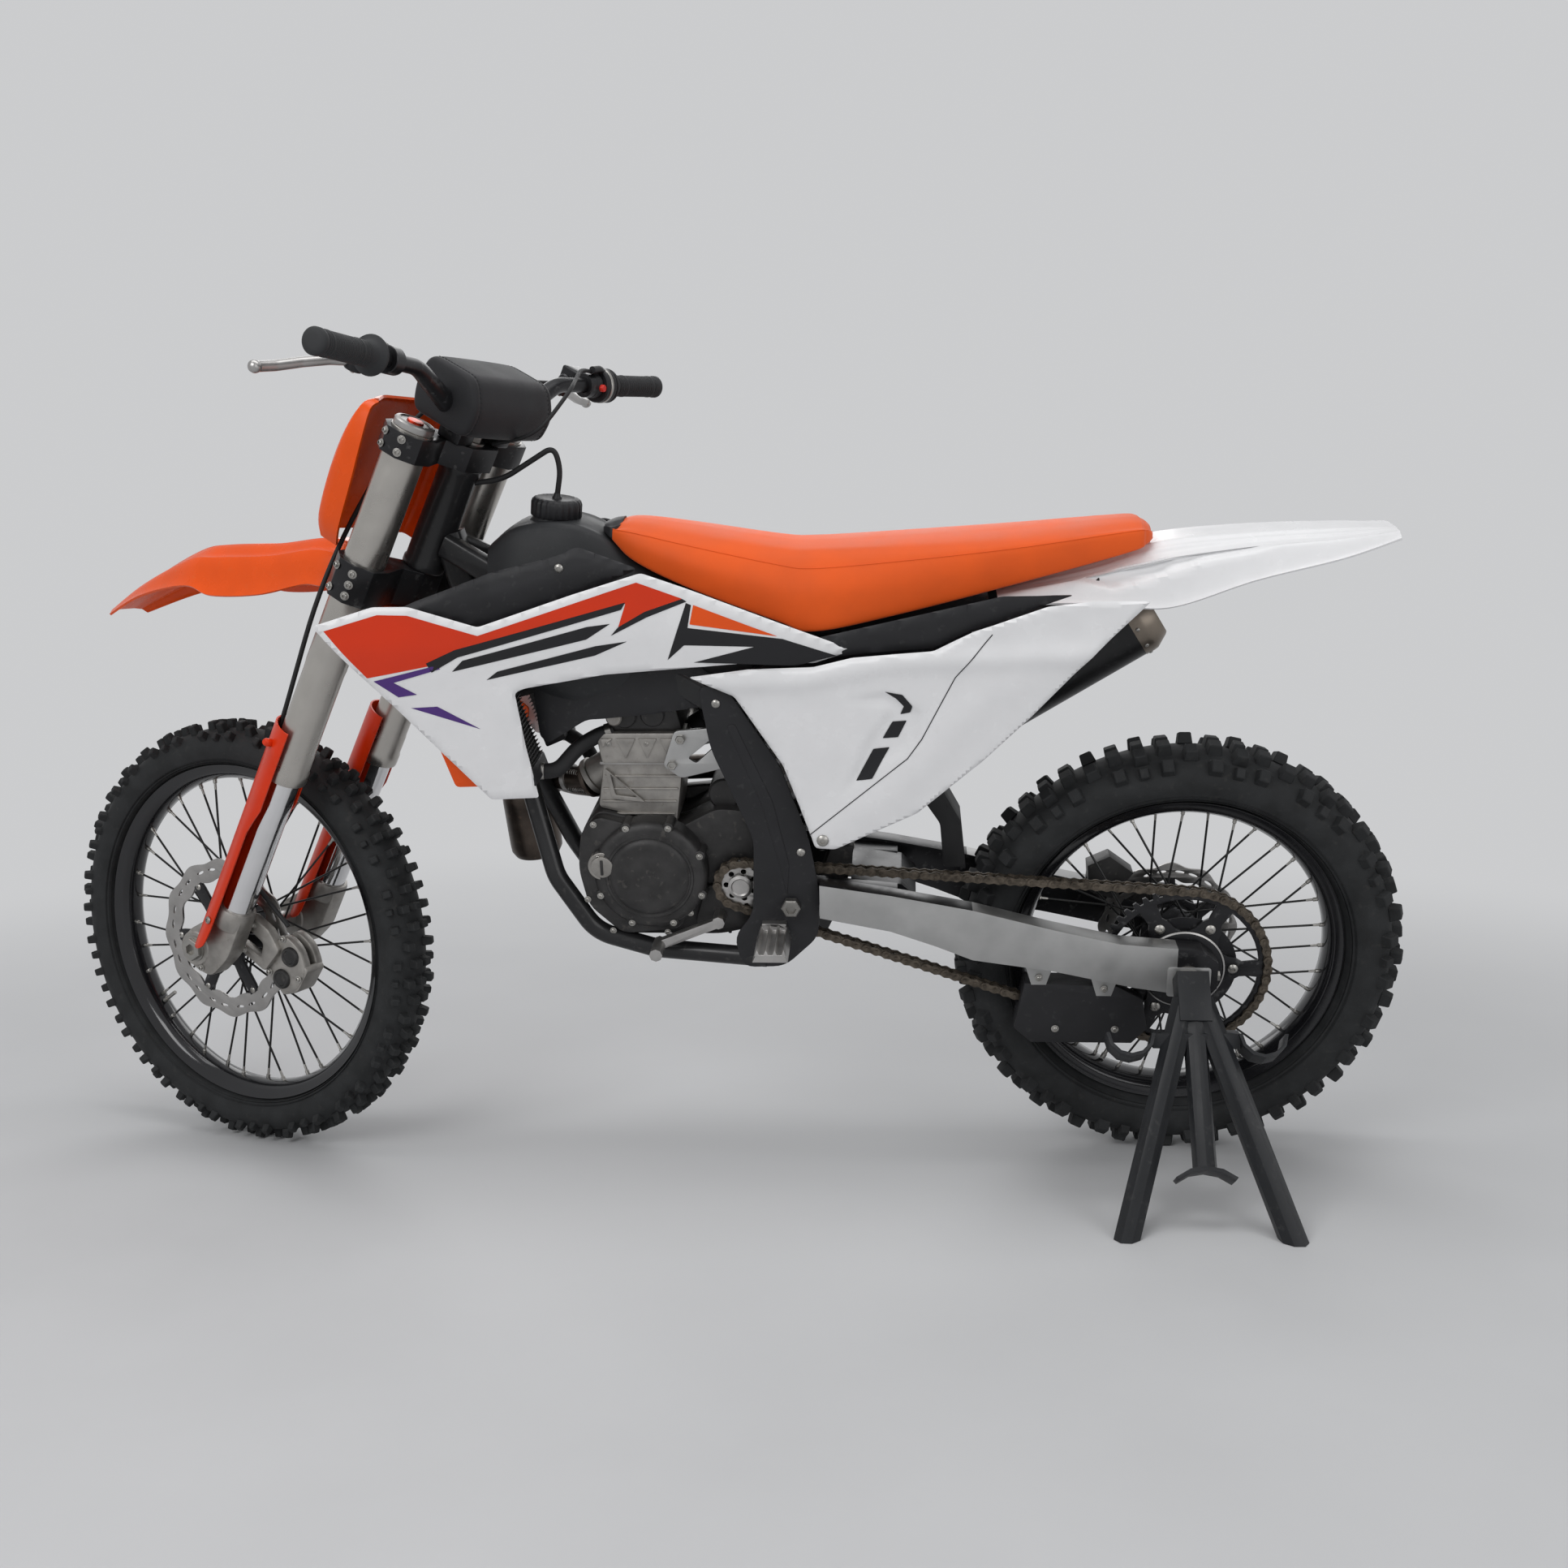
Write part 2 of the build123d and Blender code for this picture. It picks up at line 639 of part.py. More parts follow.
# ---- Frame and engine, in the upright bike ----
def frame():
    """Head tube, spars, downtube, split cradle and the two side plates at the pivot."""
    head_low = steering_point(lower_clamp_low + lower_clamp_height + joint_gap)
    head_high = steering_point(upper_clamp_low - joint_gap)
    head = bar(head_low, head_high, head_tube_diameter, sides=tube_sides)
    split = Vector(1002, 0, 640)
    neck = steering_point(762, -18)
    shapes = [bar(neck, split, 40, 44)]
    middle = (plate_inner + plate_outer) / 2
    plate_top = (pivot[0] + 92, pivot[1] + 305)
    for side in (1, -1):
        knee = Vector(948, side * cradle_half_width, 486)
        toe = Vector(892, side * cradle_half_width, 394)
        floor = Vector(800, side * cradle_half_width, 366)
        heel = Vector(pivot[0] + 40, side * middle, 362)
        points = [split + Vector(0, side * 12, 12), knee, toe, floor, heel]
        for start, end in zip(points, points[1:]):
            shapes.append(bar(start, end, frame_tube, sides=8))
        shapes.append(bar(steering_point(748, -22, side * 16), (plate_top[0], side * (middle - 6), plate_top[1]),
                          spar_width, spar_height))
        outline = [(plate_top[0] + 14, plate_top[1] + 16), (plate_top[0] - 20, plate_top[1] + 12),
                   (pivot[0] - 26, pivot[1] + 50), (pivot[0] - 28, pivot[1] - 30), (pivot[0] + 6, pivot[1] - 98),
                   (pivot[0] + 62, pivot[1] - 106), (pivot[0] + 66, pivot[1] - 70), (pivot[0] + 30, pivot[1] - 30),
                   (pivot[0] + 32, pivot[1] + 60), (plate_top[0] + 22, plate_top[1] - 30)]
        shapes.append(slab(outline, *sorted((side * plate_inner, side * plate_outer))))
        radiator_tab = (994, side * radiator_inner, 745)
        shapes.append(bar((1030, side * 14, 745), radiator_tab, 16, 8))
    shapes.append(bar((pivot[0] + 40, -plate_inner, pivot[1] - 92), (pivot[0] + 40, plate_inner, pivot[1] - 92), 24,
                      sides=8))
    for x, z in (stay_root, shock_top):
        shapes.append(bar((x, -plate_inner, z), (x, plate_inner, z), 22, sides=8))
    body = fused(head, *shapes) - pivot_bore()
    return body - bar(head_low - steering_up * 20, head_high + steering_up * 20, running_bore(stem_diameter),
                      sides=round_sides)


def pivot_bore():
    x, z = pivot
    return bar((x, -200, z), (x, 200, z), pivot_diameter, sides=tube_sides)


def steering_point(height, ahead=0.0, left=0.0):
    """A point of the upright bike from its place in the steering's frame."""
    return steering_plane.from_local_coords(Vector(ahead, left, height))


def subframe():
    """Two rails that hold the seat and the rear fender, with their lower stays."""
    shapes = []
    for side in (1, -1):
        root, knee, tail = Vector(656, side * 84, 789), Vector(540, side * 68, 848), Vector(150, side * 54, 905)
        shapes.append(bar(root, knee, 22, 26))
        shapes.append(bar(knee + Vector(8, side, -4), tail, 22, 26))
        shapes.append(bar((stay_root[0], side * 48, stay_root[1]), (222, side * 54, 884), 20, sides=8))
    shapes.append(bar((262, -54, 884), (262, 54, 884), 20, sides=8))
    shapes.append(bar((420, -58, 862), (420, 58, 862), 18, sides=8))
    shapes.append(slab([(148, 900), (176, 896), (176, 952), (148, 958)], -64, 64))
    return fused(*shapes)


def engine():
    """Crankcase with its side covers, as one closed mass."""
    case = [(905, 560), (880, 590), (760, 560), (700, 592), (640, 586), (622, 540), (618, 430), (640, 398),
            (700, 384), (850, 384), (905, 440), (915, 500)]
    body = slab(case, -engine_half_width, engine_half_width)
    x, z = 801.0, 496.0
    ignition = bar((x, engine_half_width, z), (x, engine_half_width + 38, z), 172, sides=cover_sides)
    ignition_face = bar((x, engine_half_width + 38, z), (x, engine_half_width + 44, z), 120, sides=cover_sides)
    filter_x, filter_z = 872.0, 512.0
    oil = bar((filter_x, engine_half_width - 2, filter_z), (filter_x, engine_half_width + 30, filter_z), 44,
              sides=tube_sides)
    clutch = bar((706, -engine_half_width, 492), (706, -engine_half_width - 44, 492), 164, sides=cover_sides)
    pump = bar((832, -engine_half_width, 470), (832, -engine_half_width - 30, 470), 110, sides=cover_sides)
    shoulder = slab([(905, 560), (880, 588), (770, 558), (720, 480), (760, 400), (850, 392), (900, 440), (912, 500)],
                    engine_half_width, engine_half_width + 22)
    right = slab([(900, 540), (860, 570), (680, 590), (625, 540), (625, 430), (660, 400), (850, 395), (905, 450)],
                 -engine_half_width - 24, -engine_half_width)
    return body.fuse(*[solid for shape in (shoulder, ignition, ignition_face, oil, right, clutch, pump)
                       for solid in shape.solids()])


def cylinder_head():
    """Barrel, head and cam cover, leaning a little forward."""
    barrel = [(880, 590), (868, 664), (748, 664), (762, 562)]
    head = [(868, 664), (874, 700), (862, 712), (742, 712), (738, 700), (744, 664)]
    cover = [(860, 712), (850, 756), (760, 760), (746, 712)]
    port = bar((862, -10, 640), (906, -14, 612), 54, sides=8)
    body = slab(barrel, -56, 56) + slab(head, -head_half_width, head_half_width) + slab(cover, -58, 58) + port
    return body


def head_hangers():
    """Forged plates that tie the head to the frame, one each side."""
    x, z = shock_top
    outline = [(757, 718), (684, 724), (x - 6, z + 16), (x - 12, z - 10), (681, 661), (750, 644), (776, 664)]
    hole = [(738, 676), (704, 704), (698, 694), (726, 668)]
    inner = head_half_width + joint_gap
    return pair(slab(outline, inner, inner + 8) - slab(hole, inner - 5, inner + 20))


def front_sprocket():
    face, pitch_radius = sprocket(front_teeth, 0.0)
    x, z = output_shaft
    body = extrude(Plane.XZ * face, sprocket_thickness, dir=(0, -1, 0))
    body = Pos(x, chain_line + sprocket_thickness / 2, z) * body
    shaft = bar((x, engine_half_width, z), (x, chain_line + 10, z), 30, sides=tube_sides)
    nut = bar((x, chain_line + 3, z), (x, chain_line + 12, z), 38, sides=6)
    return body + shaft + nut


def exhaust_pipe():
    """Header from the port, with its resonance chamber, back past the barrel's right side."""
    points = [(904, -14, 612), (948, -40, 603), (972, -84, 590), (955, -112, 570), (905, -116, 562),
              (820, -100, 598), (720, -72, 612), (605, -68, 622), (545, -86, 620), (432, -96, 612)]
    path = Polyline(*points)
    place = Plane(origin=path @ 0, z_dir=path % 0)
    tube = sweep(place * RegularPolygon(20, tube_sides), path=path, transition=Transition.RIGHT)
    chamber = bar((1014, -94, 452), (1024, -92, 572), 84, sides=tube_sides)
    neck = bar((968, -100, 584), (1020, -92, 552), 40, sides=tube_sides)
    return fused(tube, chamber, neck)


def silencer():
    """Oval canister on the right, under the side panel, with its end cap."""
    start, end = Vector(431, -96, 612.5), Vector(44, -96, 852)
    along = (end - start).normalized()
    plane = Plane(origin=start, x_dir=(0, 1, 0), z_dir=along)
    oval = [(42 * cos(radians(angle)), 52 * sin(radians(angle))) for angle in range(0, 360, 30)]
    slim = [(x * 0.55, y * 0.5) for x, y in oval]
    cap = [(x * 0.72, y * 0.72) for x, y in oval]
    length = (end - start).length

    def ring(shape, along_axis):
        return [plane.from_local_coords(Vector(x, y, along_axis)) for x, y in shape]

    return facet_loft([ring(slim, 0), ring(oval, 70), ring(oval, length - 26), ring(cap, length)])


def radiators():
    """One core each side of the downtube, tilted like the fork."""
    outline = [(1046, 850), (1014, 864), (952, 660), (984, 646)]
    return pair(slab(outline, radiator_inner, radiator_outer))


def crowned_ring(x, low, high, foot, top, dome=0.0):
    """Cross-section of a seat or tank at x: foot and top are half widths."""
    shoulder = high - (high - low) * 0.3
    points = [(foot, low), (foot, low + (high - low) * 0.35), (top + (foot - top) * 0.3, shoulder), (top * 0.8, high - dome),
              (top * 0.35, high)]
    mirrored = [(-y, z) for y, z in reversed(points)]
    return [Vector(x, y, z) for y, z in points + mirrored]


def seat():
    """Padded seat from the tank to the fender."""
    stations = [(846, 1004, 1014, 30, 26), (800, 968, 1020, 66, 52), (722, 932, 1008, 84, 60), (600, 888, 987, 96, 66),
                (548, 872, 985, 98, 68), (436, 893, 990, 94, 72), (270, 934, 1000, 84, 74), (112, 974, 1012, 68, 58),
                (76, 984, 1004, 46, 36)]
    rings = [crowned_ring(x, low, high, foot, top, 5) for x, low, high, foot, top in stations]
    return facet_loft(rings)


def fuel_tank():
    """Tank over the engine, with its filler neck and cap."""
    stations = [(1020, 880, 985, 58, 44), (975, 800, 1016, 98, 58), (905, 770, 1022, 112, 64),
                (850, 772, 1002, 108, 60), (790, 776, 955, 92, 56), (640, 800, 872, 70, 50)]
    body = facet_loft([crowned_ring(x, low, high, foot, top, 8) for x, low, high, foot, top in stations])
    foot, top = Vector(926, 0, 1004), Vector(921, 0, 1050)
    cap = bar(foot, top, 74, sides=tube_sides)
    return body + cap


def plan_wall(plan, thickness, low, high):
    """An upright wall with the given plan-view face, thick towards the middle."""
    inner = [(x, y - thickness) for x, y in reversed(plan)]
    face = make_face(Polyline(*plan, *inner, close=True))
    return Pos(0, 0, low) * extrude(face, high - low, dir=(0, 0, 1))


def shrouds():
    """Radiator shrouds: wide at the nose, tucked in under the seat."""
    plan = [(1260, 196), (1160, 184), (1010, 170), (900, 156), (720, 132), (480, 122)]
    outline = [(1236, 908), (1152, 932), (1104, 931), (1010, 900), (880, 940), (784, 967), (490, 852), (547, 833),
               (608, 837), (721, 829), (841, 824), (955, 808), (968, 802), (960, 722), (948, 640), (1016, 640),
               (1092, 732), (1168, 824)]
    shell = plan_wall(plan, panel_thickness, 600, 1000) & slab(outline, 60, 260)
    tab = slab([(1000, 780), (1022, 780), (1014, 752), (992, 752)], radiator_outer + joint_gap, 170)
    return pair(shell + tab)


def tank_covers():
    """Black upper covers from the tank out to the shrouds."""
    plan = [(1160, 174), (1060, 158), (1000, 138), (880, 122), (780, 116)]
    outline = [(1150, 912), (1100, 934), (994, 968), (902, 988), (876, 1000), (790, 968), (880, 930), (1010, 890),
               (1104, 920)]
    shell = plan_wall(plan, panel_thickness, 800, 1100) & slab(outline, 60, 260)
    tab = slab([(886, 944), (914, 944), (914, 968), (886, 968)], 62, 122)
    return pair(shell + tab)


def side_panels():
    """Number panels behind the frame; the right one bulges over the exhaust."""
    outline = [(726, 812), (662, 784), (594, 683), (555, 576), (549, 558), (520, 556), (402, 614), (310, 695),
               (243, 761), (157, 855), (84, 921), (160, 925), (225, 918), (324, 884), (380, 856), (436, 851),
               (493, 845), (548, 831), (640, 826)]
    plans = {1: [(740, 122), (650, 130), (560, 136), (440, 142), (300, 150), (160, 146), (60, 126)],
             -1: [(740, 122), (650, 138), (560, 152), (440, 152), (300, 154), (160, 152), (60, 130)]}
    panels = []
    for side, plan in plans.items():
        shell = plan_wall(plan, panel_thickness, 500, 1000) & slab(outline, 60, 200)
        within = plan_wall(plan, 90, 500, 1000)
        for x, z in ((480, 838), (196, 893)):
            tab = slab([(x - 10, z - 6), (x + 10, z - 6), (x + 10, z + 8), (x - 10, z + 8)], 66, 160)
            shell = shell + (tab & within)
        panels.append(shell if side > 0 else mirror(shell, about=Plane.XZ))
    return group(*panels)


def rear_fender():
    """Blade behind the seat."""
    stations = [(290, 918, -6, 80, 10), (160, 948, -10, 94, 40), (80, 974, -14, 102, 72), (58, 986, -6, 102, 80),
                (-60, 993, -2, 98, 50), (-180, 997, 0, 84, 30), (-264, 999, 0, 58, 12)]
    return blade(stations, 3.2)


def airbox():
    """Box under the seat, narrow enough to leave room for the rear wheel."""
    under_seat = [(x, low - joint_gap) for x, low in ((600, 888), (548, 872), (436, 893), (330, 917))]
    outline = [(690, 800), (664, 850), *under_seat, (300, 905), (300, 890), (372, 790), (430, 724), (560, 724),
               (610, 770)]
    return slab(outline, -44, 44)


def mud_flap():
    outline = [(438, 723.7), (424, 723.7), (356, 600), (334, 560), (326, 484), (334, 484), (344, 558), (366, 598)]
    return slab(outline, -36, 36)


def frame_guards():
    """Plates over the frame's sides, from the tank down to the pivots."""
    outline = [(716, 796), (676, 796), (600, 676), (560, 560), (546, 480), (548, 402), (600, 352), (664, 350),
               (676, 400), (640, 440), (640, 560), (700, 700)]
    low = plate_outer + joint_gap
    return pair(slab(outline, low, low + panel_thickness + 1))


def swingarm():
    """Cast beams with their front arms, cross member, pivot tube and axle slots."""
    inner, outer = swingarm_inner, swingarm_inner + swingarm_width
    axle_z = rear_tyre_radius
    x, z = pivot
    beam = [(545, 494), (440, 478), (319, 455), (199, 424), (102, 402), (-20, 392), (-44, 372), (-44, 330), (-20, 316),
            (75, 330), (200, 357), (318, 374), (372, 396), (440, 420), (545, 441)]
    arm = [(x + 12, z + 26), (x - 30, z + 30), (430, 472), (430, 426), (x - 30, z - 26), (x + 12, z - 24),
           (x + 26, z - 8), (x + 26, z + 10)]
    web = [(538, 482), (432, 470), (432, 428), (538, 446)]
    shapes = []
    for side in (1, -1):
        shapes.append(slab(beam, *sorted((side * inner, side * outer))))
        shapes.append(slab(arm, *sorted((side * arm_inner, side * (plate_inner - joint_gap)))))
        shapes.append(slab(web, *sorted((side * (plate_inner - 6), side * (inner + 6)))))
    shapes.append(bar((x, -plate_outer - 8, z), (x, plate_outer + 8, z), pivot_diameter - 1, sides=tube_sides))
    shapes.append(bar((x, -arm_inner, z), (x, arm_inner, z), 46, sides=tube_sides))
    cross = [(500, 480), (424, 470), (402, 450), (424, 428), (500, 438)]
    shapes.append(slab(cross, -arm_inner, arm_inner))
    for lug_x, lug_z in ((217, 336), (119, 318)):
        lug = [(lug_x - 24, lug_z + 30), (lug_x - 11, lug_z - 12), (lug_x + 11, lug_z - 12), (lug_x + 24, lug_z + 30)]
        shapes.append(slab(lug, inner, inner + 12))
    return fused(*shapes) - bar((0, -200, axle_z), (0, 200, axle_z), rear_axle_diameter, sides=round_sides)


def chain_route(offset):
    """Side-view corners of the run round both sprockets, moved out by an offset."""
    front_radius = chain_pitch / 2 / sin(pi / front_teeth)
    rear_radius = chain_pitch / 2 / sin(pi / rear_teeth)
    x, z = output_shaft
    span = hypot(x, z - rear_tyre_radius)
    slope = atan2(z - rear_tyre_radius, x)
    touch = acos((rear_radius - front_radius) / span)
    rear_steps, front_steps = rear_corners - 1, front_corners - 1
    route = []
    for step in range(rear_steps + 1):
        angle = slope + touch + (2 * pi - 2 * touch) * step / rear_steps
        route.append(((rear_radius + offset) * cos(angle), rear_tyre_radius + (rear_radius + offset) * sin(angle)))
    for step in range(front_steps + 1):
        angle = slope - touch + 2 * touch * step / front_steps
        route.append((x + (front_radius + offset) * cos(angle), z + (front_radius + offset) * sin(angle)))
    return route


def chain_band(inner, outer):
    return make_face(Polyline(*chain_route(outer), close=True)) - make_face(Polyline(*chain_route(inner), close=True))


def chain():
    """Closed loop of inner plates, with outer plates on them and rollers between."""
    half = chain_height / 2
    inner_face = sprocket_thickness / 2 + joint_gap
    band = Plane.XZ * chain_band(-half, half)
    shapes = []
    for low in (inner_face, -inner_face - plate_thickness):
        shapes.append(Pos(0, chain_line + low + plate_thickness, 0) * extrude(band, plate_thickness, dir=(0, -1, 0)))
    route = Polyline(*chain_route(0), close=True)
    links = round(route.length / chain_pitch / 2) * 2
    outer_middle = inner_face + 1.5 * plate_thickness
    for link in range(0, links, 2):
        start, end = route @ (link / links), route @ ((link + 1) / links)
        slope = degrees(atan2(end.Y - start.Y, end.X - start.X))
        at = Pos((start.X + end.X) / 2, chain_line, (start.Y + end.Y) / 2) * Rot(0, -slope, 0)
        shapes.append(at * Pos(0, outer_middle, 0) * Box(chain_pitch * 1.5, plate_thickness, chain_height - 3))
    corners = chain_route(0)
    for corner, following in ((-1, 0), (rear_corners - 1, rear_corners)):
        start, end = Vector(*corners[corner]), Vector(*corners[following])
        slope = degrees(atan2(end.Y - start.Y, end.X - start.X))
        for share in roller_shares:
            spot = start + (end - start) * share
            at = Pos(spot.X, chain_line, spot.Y) * Rot(0, -slope, 0)
            shapes.append(at * Box(9, 2 * inner_face, 9))
    return fused(*shapes)


def chain_guide():
    """Block that the lower run passes through, under the arm."""
    outline = [(238, 326), (252, 250), (226, 226), (74, 226), (52, 250), (60, 300), (100, 322)]
    inner = chain_line - chain_width / 2 - 5.5
    reach = chain_height / 2 + 2
    run = Plane.XZ * chain_band(-reach, reach)
    passage = Pos(0, chain_line + chain_width / 2 + 2, 0) * extrude(run, chain_width + 4, dir=(0, -1, 0))
    tooth_tip = chain_pitch / 2 / sin(pi / rear_teeth) + 4
    wheel = bar((0, 0, rear_tyre_radius), (0, chain_line + 5 + sprocket_thickness / 2, rear_tyre_radius),
                2 * tooth_tip + 12, sides=36)
    return slab(outline, inner, swingarm_inner + 12) - passage - wheel


def shock():
    """Damper with its spring, low between the frame's plates."""
    low, high = Vector(510, 0, 500), Vector(shock_top[0], 0, shock_top[1])
    along = (high - low).normalized()
    coils = [low + along * (40 + turn * 27) for turn in range(5)]
    springs = [bar(middle - along * 5.5, middle + along * 5.5, 70, sides=10) for middle in coils]
    return fused(bar(low, high, 34, sides=8), *springs)


def linkage():
    """Rocker below the shock."""
    outline = [(496, 516), (530, 516), (548, 470), (560, 404), (640, 372), (632, 352), (540, 372), (512, 430)]
    return slab(outline, -24, 24)


def rear_caliper():
    """Caliper in its bracket, ahead of the axle on the right."""
    body = [(60, 440), (98, 468), (132, 452), (128, 410), (92, 396)]
    place = -rear_disc_place
    block = slab(body, place - 17, place + 17)
    slot = Pos(0, place, rear_tyre_radius) * Rot(90, 0, 0) * Cylinder(rear_disc_diameter / 2 + 5, disc_thickness + 4)
    bracket = slab([(-20, 352), (-14, 322), (24, 322), (132, 404), (128, 444), (70, 440)],
                   joint_gap - swingarm_inner, place - 10)
    return block - slot + bracket


def rear_axle():
    """Hollow spindle with its nut, adjuster block and the spacers beside the hub."""
    z = rear_tyre_radius
    outer = swingarm_inner + swingarm_width
    body = bar((0, -outer - 14, z), (0, outer + 14, z), rear_axle_diameter, sides=round_sides)
    pieces = []
    for side in (1, -1):
        pieces.append(bar((0, side * outer, z), (0, side * (outer + 10), z), 46, sides=6 if side > 0 else 8))
        pieces.append(bar((0, side * (rear_hub_width / 2 + pin_gap), z), (0, side * swingarm_inner, z),
                          rear_axle_diameter + 6, sides=round_sides))
    return fused(body, *pieces) - rod((0, -outer - 30, z), (0, outer + 30, z), rear_axle_bore)


def foot_controls():
    """Gear lever on the left and brake pedal on the right."""
    y = engine_half_width + 36
    gear_x, gear_z = 700.0, 422.0
    gear = fused(bar((gear_x, engine_half_width, gear_z), (gear_x, y + 6, gear_z), 20, sides=8),
                 bar((gear_x, y, gear_z), (790, y + 12, 390), 12, 14),
                 bar((790, y + 4, 390), (790, y + 52, 390), 20, sides=8))
    guard_face = plate_outer + joint_gap + panel_thickness + 1
    y = -guard_face - 12
    brake = fused(bar((612, -guard_face, 380), (612, y - 8, 380), 26, sides=8),
                  bar((612, y, 380), (760, y - 6, 366), 12, 20), bar((760, y - 4, 366), (760, y - 46, 372), 24, 12))
    return group(gear, brake)


def footpegs():
    """Toothed platforms on their brackets."""
    y = plate_outer + joint_gap + panel_thickness + 1
    peg = slab([(588, 408), (640, 408), (634, 420), (594, 420)], y + 14, y + 100)
    for x in (590, 603, 616, 629):
        peg = peg + slab([(x, 418), (x + 8, 418), (x + 4, 428)], y + 14, y + 100)
    bracket = slab([(596, 430), (632, 430), (632, 396), (596, 394)], y, y + 16)
    return pair(peg + bracket)


# ---- Hoses ----
brake_hose_diameter = 7.0
cable_diameter = 6.0


def brake_hose():
    """From the master cylinder, behind the plate and down inside the left guard to the caliper."""
    x, y = leg_place(1)
    ride = outer_tube_diameter / 2 + guard_gap / 2
    tip, inward = bar_line(-1)
    start = tip + inward * (grip_length + 60) + Vector(34, 0, -14)
    front, inside = [(x + ride * cos(radians(angle)), y + ride * sin(radians(angle))) for angle in (8, -70)]
    points = [start, Vector(100, -96, 955), Vector(110, 0, 880), Vector(86, 100, 660), Vector(front[0], front[1], 400),
              Vector(front[0], front[1] - 1, 190), Vector(inside[0], inside[1] - 4, 124), Vector(-50, 68, 98)]
    return hose(points, brake_hose_diameter, "brake hose")


def throttle_cable():
    """From the twist-grip housing over the bar pad to the back of the upper clamp."""
    tip, inward = bar_line(-1)
    start = tip + inward * (grip_length + 24) + Vector(2, 0, 18)
    points = [start, start + inward * 60 + Vector(-10, 0, 12), Vector(-84, -62, 1022), Vector(-82, -26, 950),
              Vector(-22, -22, 906)]
    return hose(points, cable_diameter, "throttle cable")


def breather():
    """Tank vent from the cap, over and down to the head tube."""
    cap_top = Vector(921, 0, 1050)
    points = [cap_top, cap_top + Vector(-8, 0, 40), steering_point(944, -112), steering_point(868, -62),
              steering_point(846, 4 - head_tube_diameter / 2)]
    return hose(points, 8.0, "tank vent")


# ---- The stand, where the leaning bike meets the floor ----
def stand(place):
    """A-frame with a post, a cross bar with two half-round clips, and a pin in the hollow axle."""
    outer = swingarm_inner + swingarm_width + 14
    end = (place * Pos(0, outer, rear_tyre_radius)).position
    inside = (place * Pos(0, outer - 60, rear_tyre_radius)).position
    axis = (end - inside).normalized()
    head = end + axis * 28
    foot_line = Vector(head.X, head.Y + stand_foot_reach, 0)
    slope = (foot_line - head).normalized()
    ahead = Vector(1, 0, 0)
    normal = ahead.cross(slope)

    def spot(x, down, out=0.0):
        return head + ahead * x + slope * down + normal * out

    length = (foot_line - head).length
    pieces = [bar(spot(0, -30), spot(0, 44), 46, 44)]
    pieces.append(bar(inside, head, stand_pin, sides=round_sides))
    def arc_plate(x, down, angles, outer_radius, inner_radius, thickness):
        arc = [polar(outer_radius, angle) for angle in angles] + [polar(inner_radius, angle) for angle in reversed(angles)]
        plane = Plane(origin=spot(x, down, thickness / 2), x_dir=ahead, z_dir=normal * -1)
        return extrude(plane * make_face(Polyline(*arc, close=True)), thickness)

    for side in (1, -1):
        leg = bar(spot(side * 12, 10), spot(side * stand_foot_spread / 2 * 1.08, length + 28), stand_tube, sides=8)
        pieces.append(leg & Pos(head.X, head.Y, 500) * Box(1000, 1000, 1000))
        pieces.append(arc_plate(side * 94, 62, range(180, 361, 30), 35, 30, 40))
    pieces.append(bar(spot(-62, 66), spot(62, 66), 22, 22))
    pieces.append(bar(spot(0, 40), spot(0, 256), stand_post, sides=8))
    pieces.append(arc_plate(0, 256 + 60, range(50, 131, 20), 66, 60, 36))
    return fused(*pieces)


# ---- Bring everything together ----
def running_bore(diameter):
    """Across the corners of a flat-sided bore that a flat-sided pin turns in."""
    return (diameter + 2 * joint_gap) / cos(pi / round_sides)


def front_wheel_nodes():
    bore = running_bore(front_axle_diameter)
    return {
        "front_tyre": tyre(front_tyre_radius, front_tyre_width, front_rim_radius, front_rim_width, 26, 22),
        "front_rim": rim(front_rim_radius, front_rim_width),
        "front_hub": hub(front_hub_radius, front_hub_width, bore, front_rim_radius, 50),
        "front_disc": disc_on_hub(front_disc_diameter, 110, front_disc_place, front_hub_radius, front_hub_width / 2),
    }


def rear_wheel_nodes():
    bore = running_bore(rear_axle_diameter)
    return {
        "rear_tyre": tyre(rear_tyre_radius, rear_tyre_width, rear_rim_radius, rear_rim_width, 24, 26),
        "rear_rim": rim(rear_rim_radius, rear_rim_width),
        "rear_hub": hub(rear_hub_radius, rear_hub_width, bore, rear_rim_radius, 50),
        "rear_disc": disc_on_hub(rear_disc_diameter, 92, -rear_disc_place, rear_hub_radius, -rear_hub_width / 2),
        "rear_sprocket": rear_sprocket_body() + spacer(chain_line - sprocket_thickness / 2, rear_hub_width / 2,
                                                       rear_hub_radius),
    }


def spacer(start, end, diameter):
    """Carrier ring between a hub's face and what is bolted to it."""
    low, high = sorted((start, end))
    ring = bar((0, low, 0), (0, high, 0), 2 * diameter + 4, sides=tube_sides)
    return ring - bar((0, low - 1, 0), (0, high + 1, 0), 2 * diameter - 26, sides=tube_sides)


def disc_on_hub(diameter, inner, place, bore, hub_face):
    inner_face = place - disc_thickness / 2 if place > 0 else place + disc_thickness / 2
    return wave_disc(diameter, inner, place, bore) + spacer(inner_face, hub_face, bore)


def turned(shape):
    """Steering pieces from the steering's own frame, turned as the bike rests."""
    return steering_plane.location * Rot(0, 0, -steering_turn) * shape


def lowest(shape):
    return min(vertex.Z for vertex in shape.vertices())


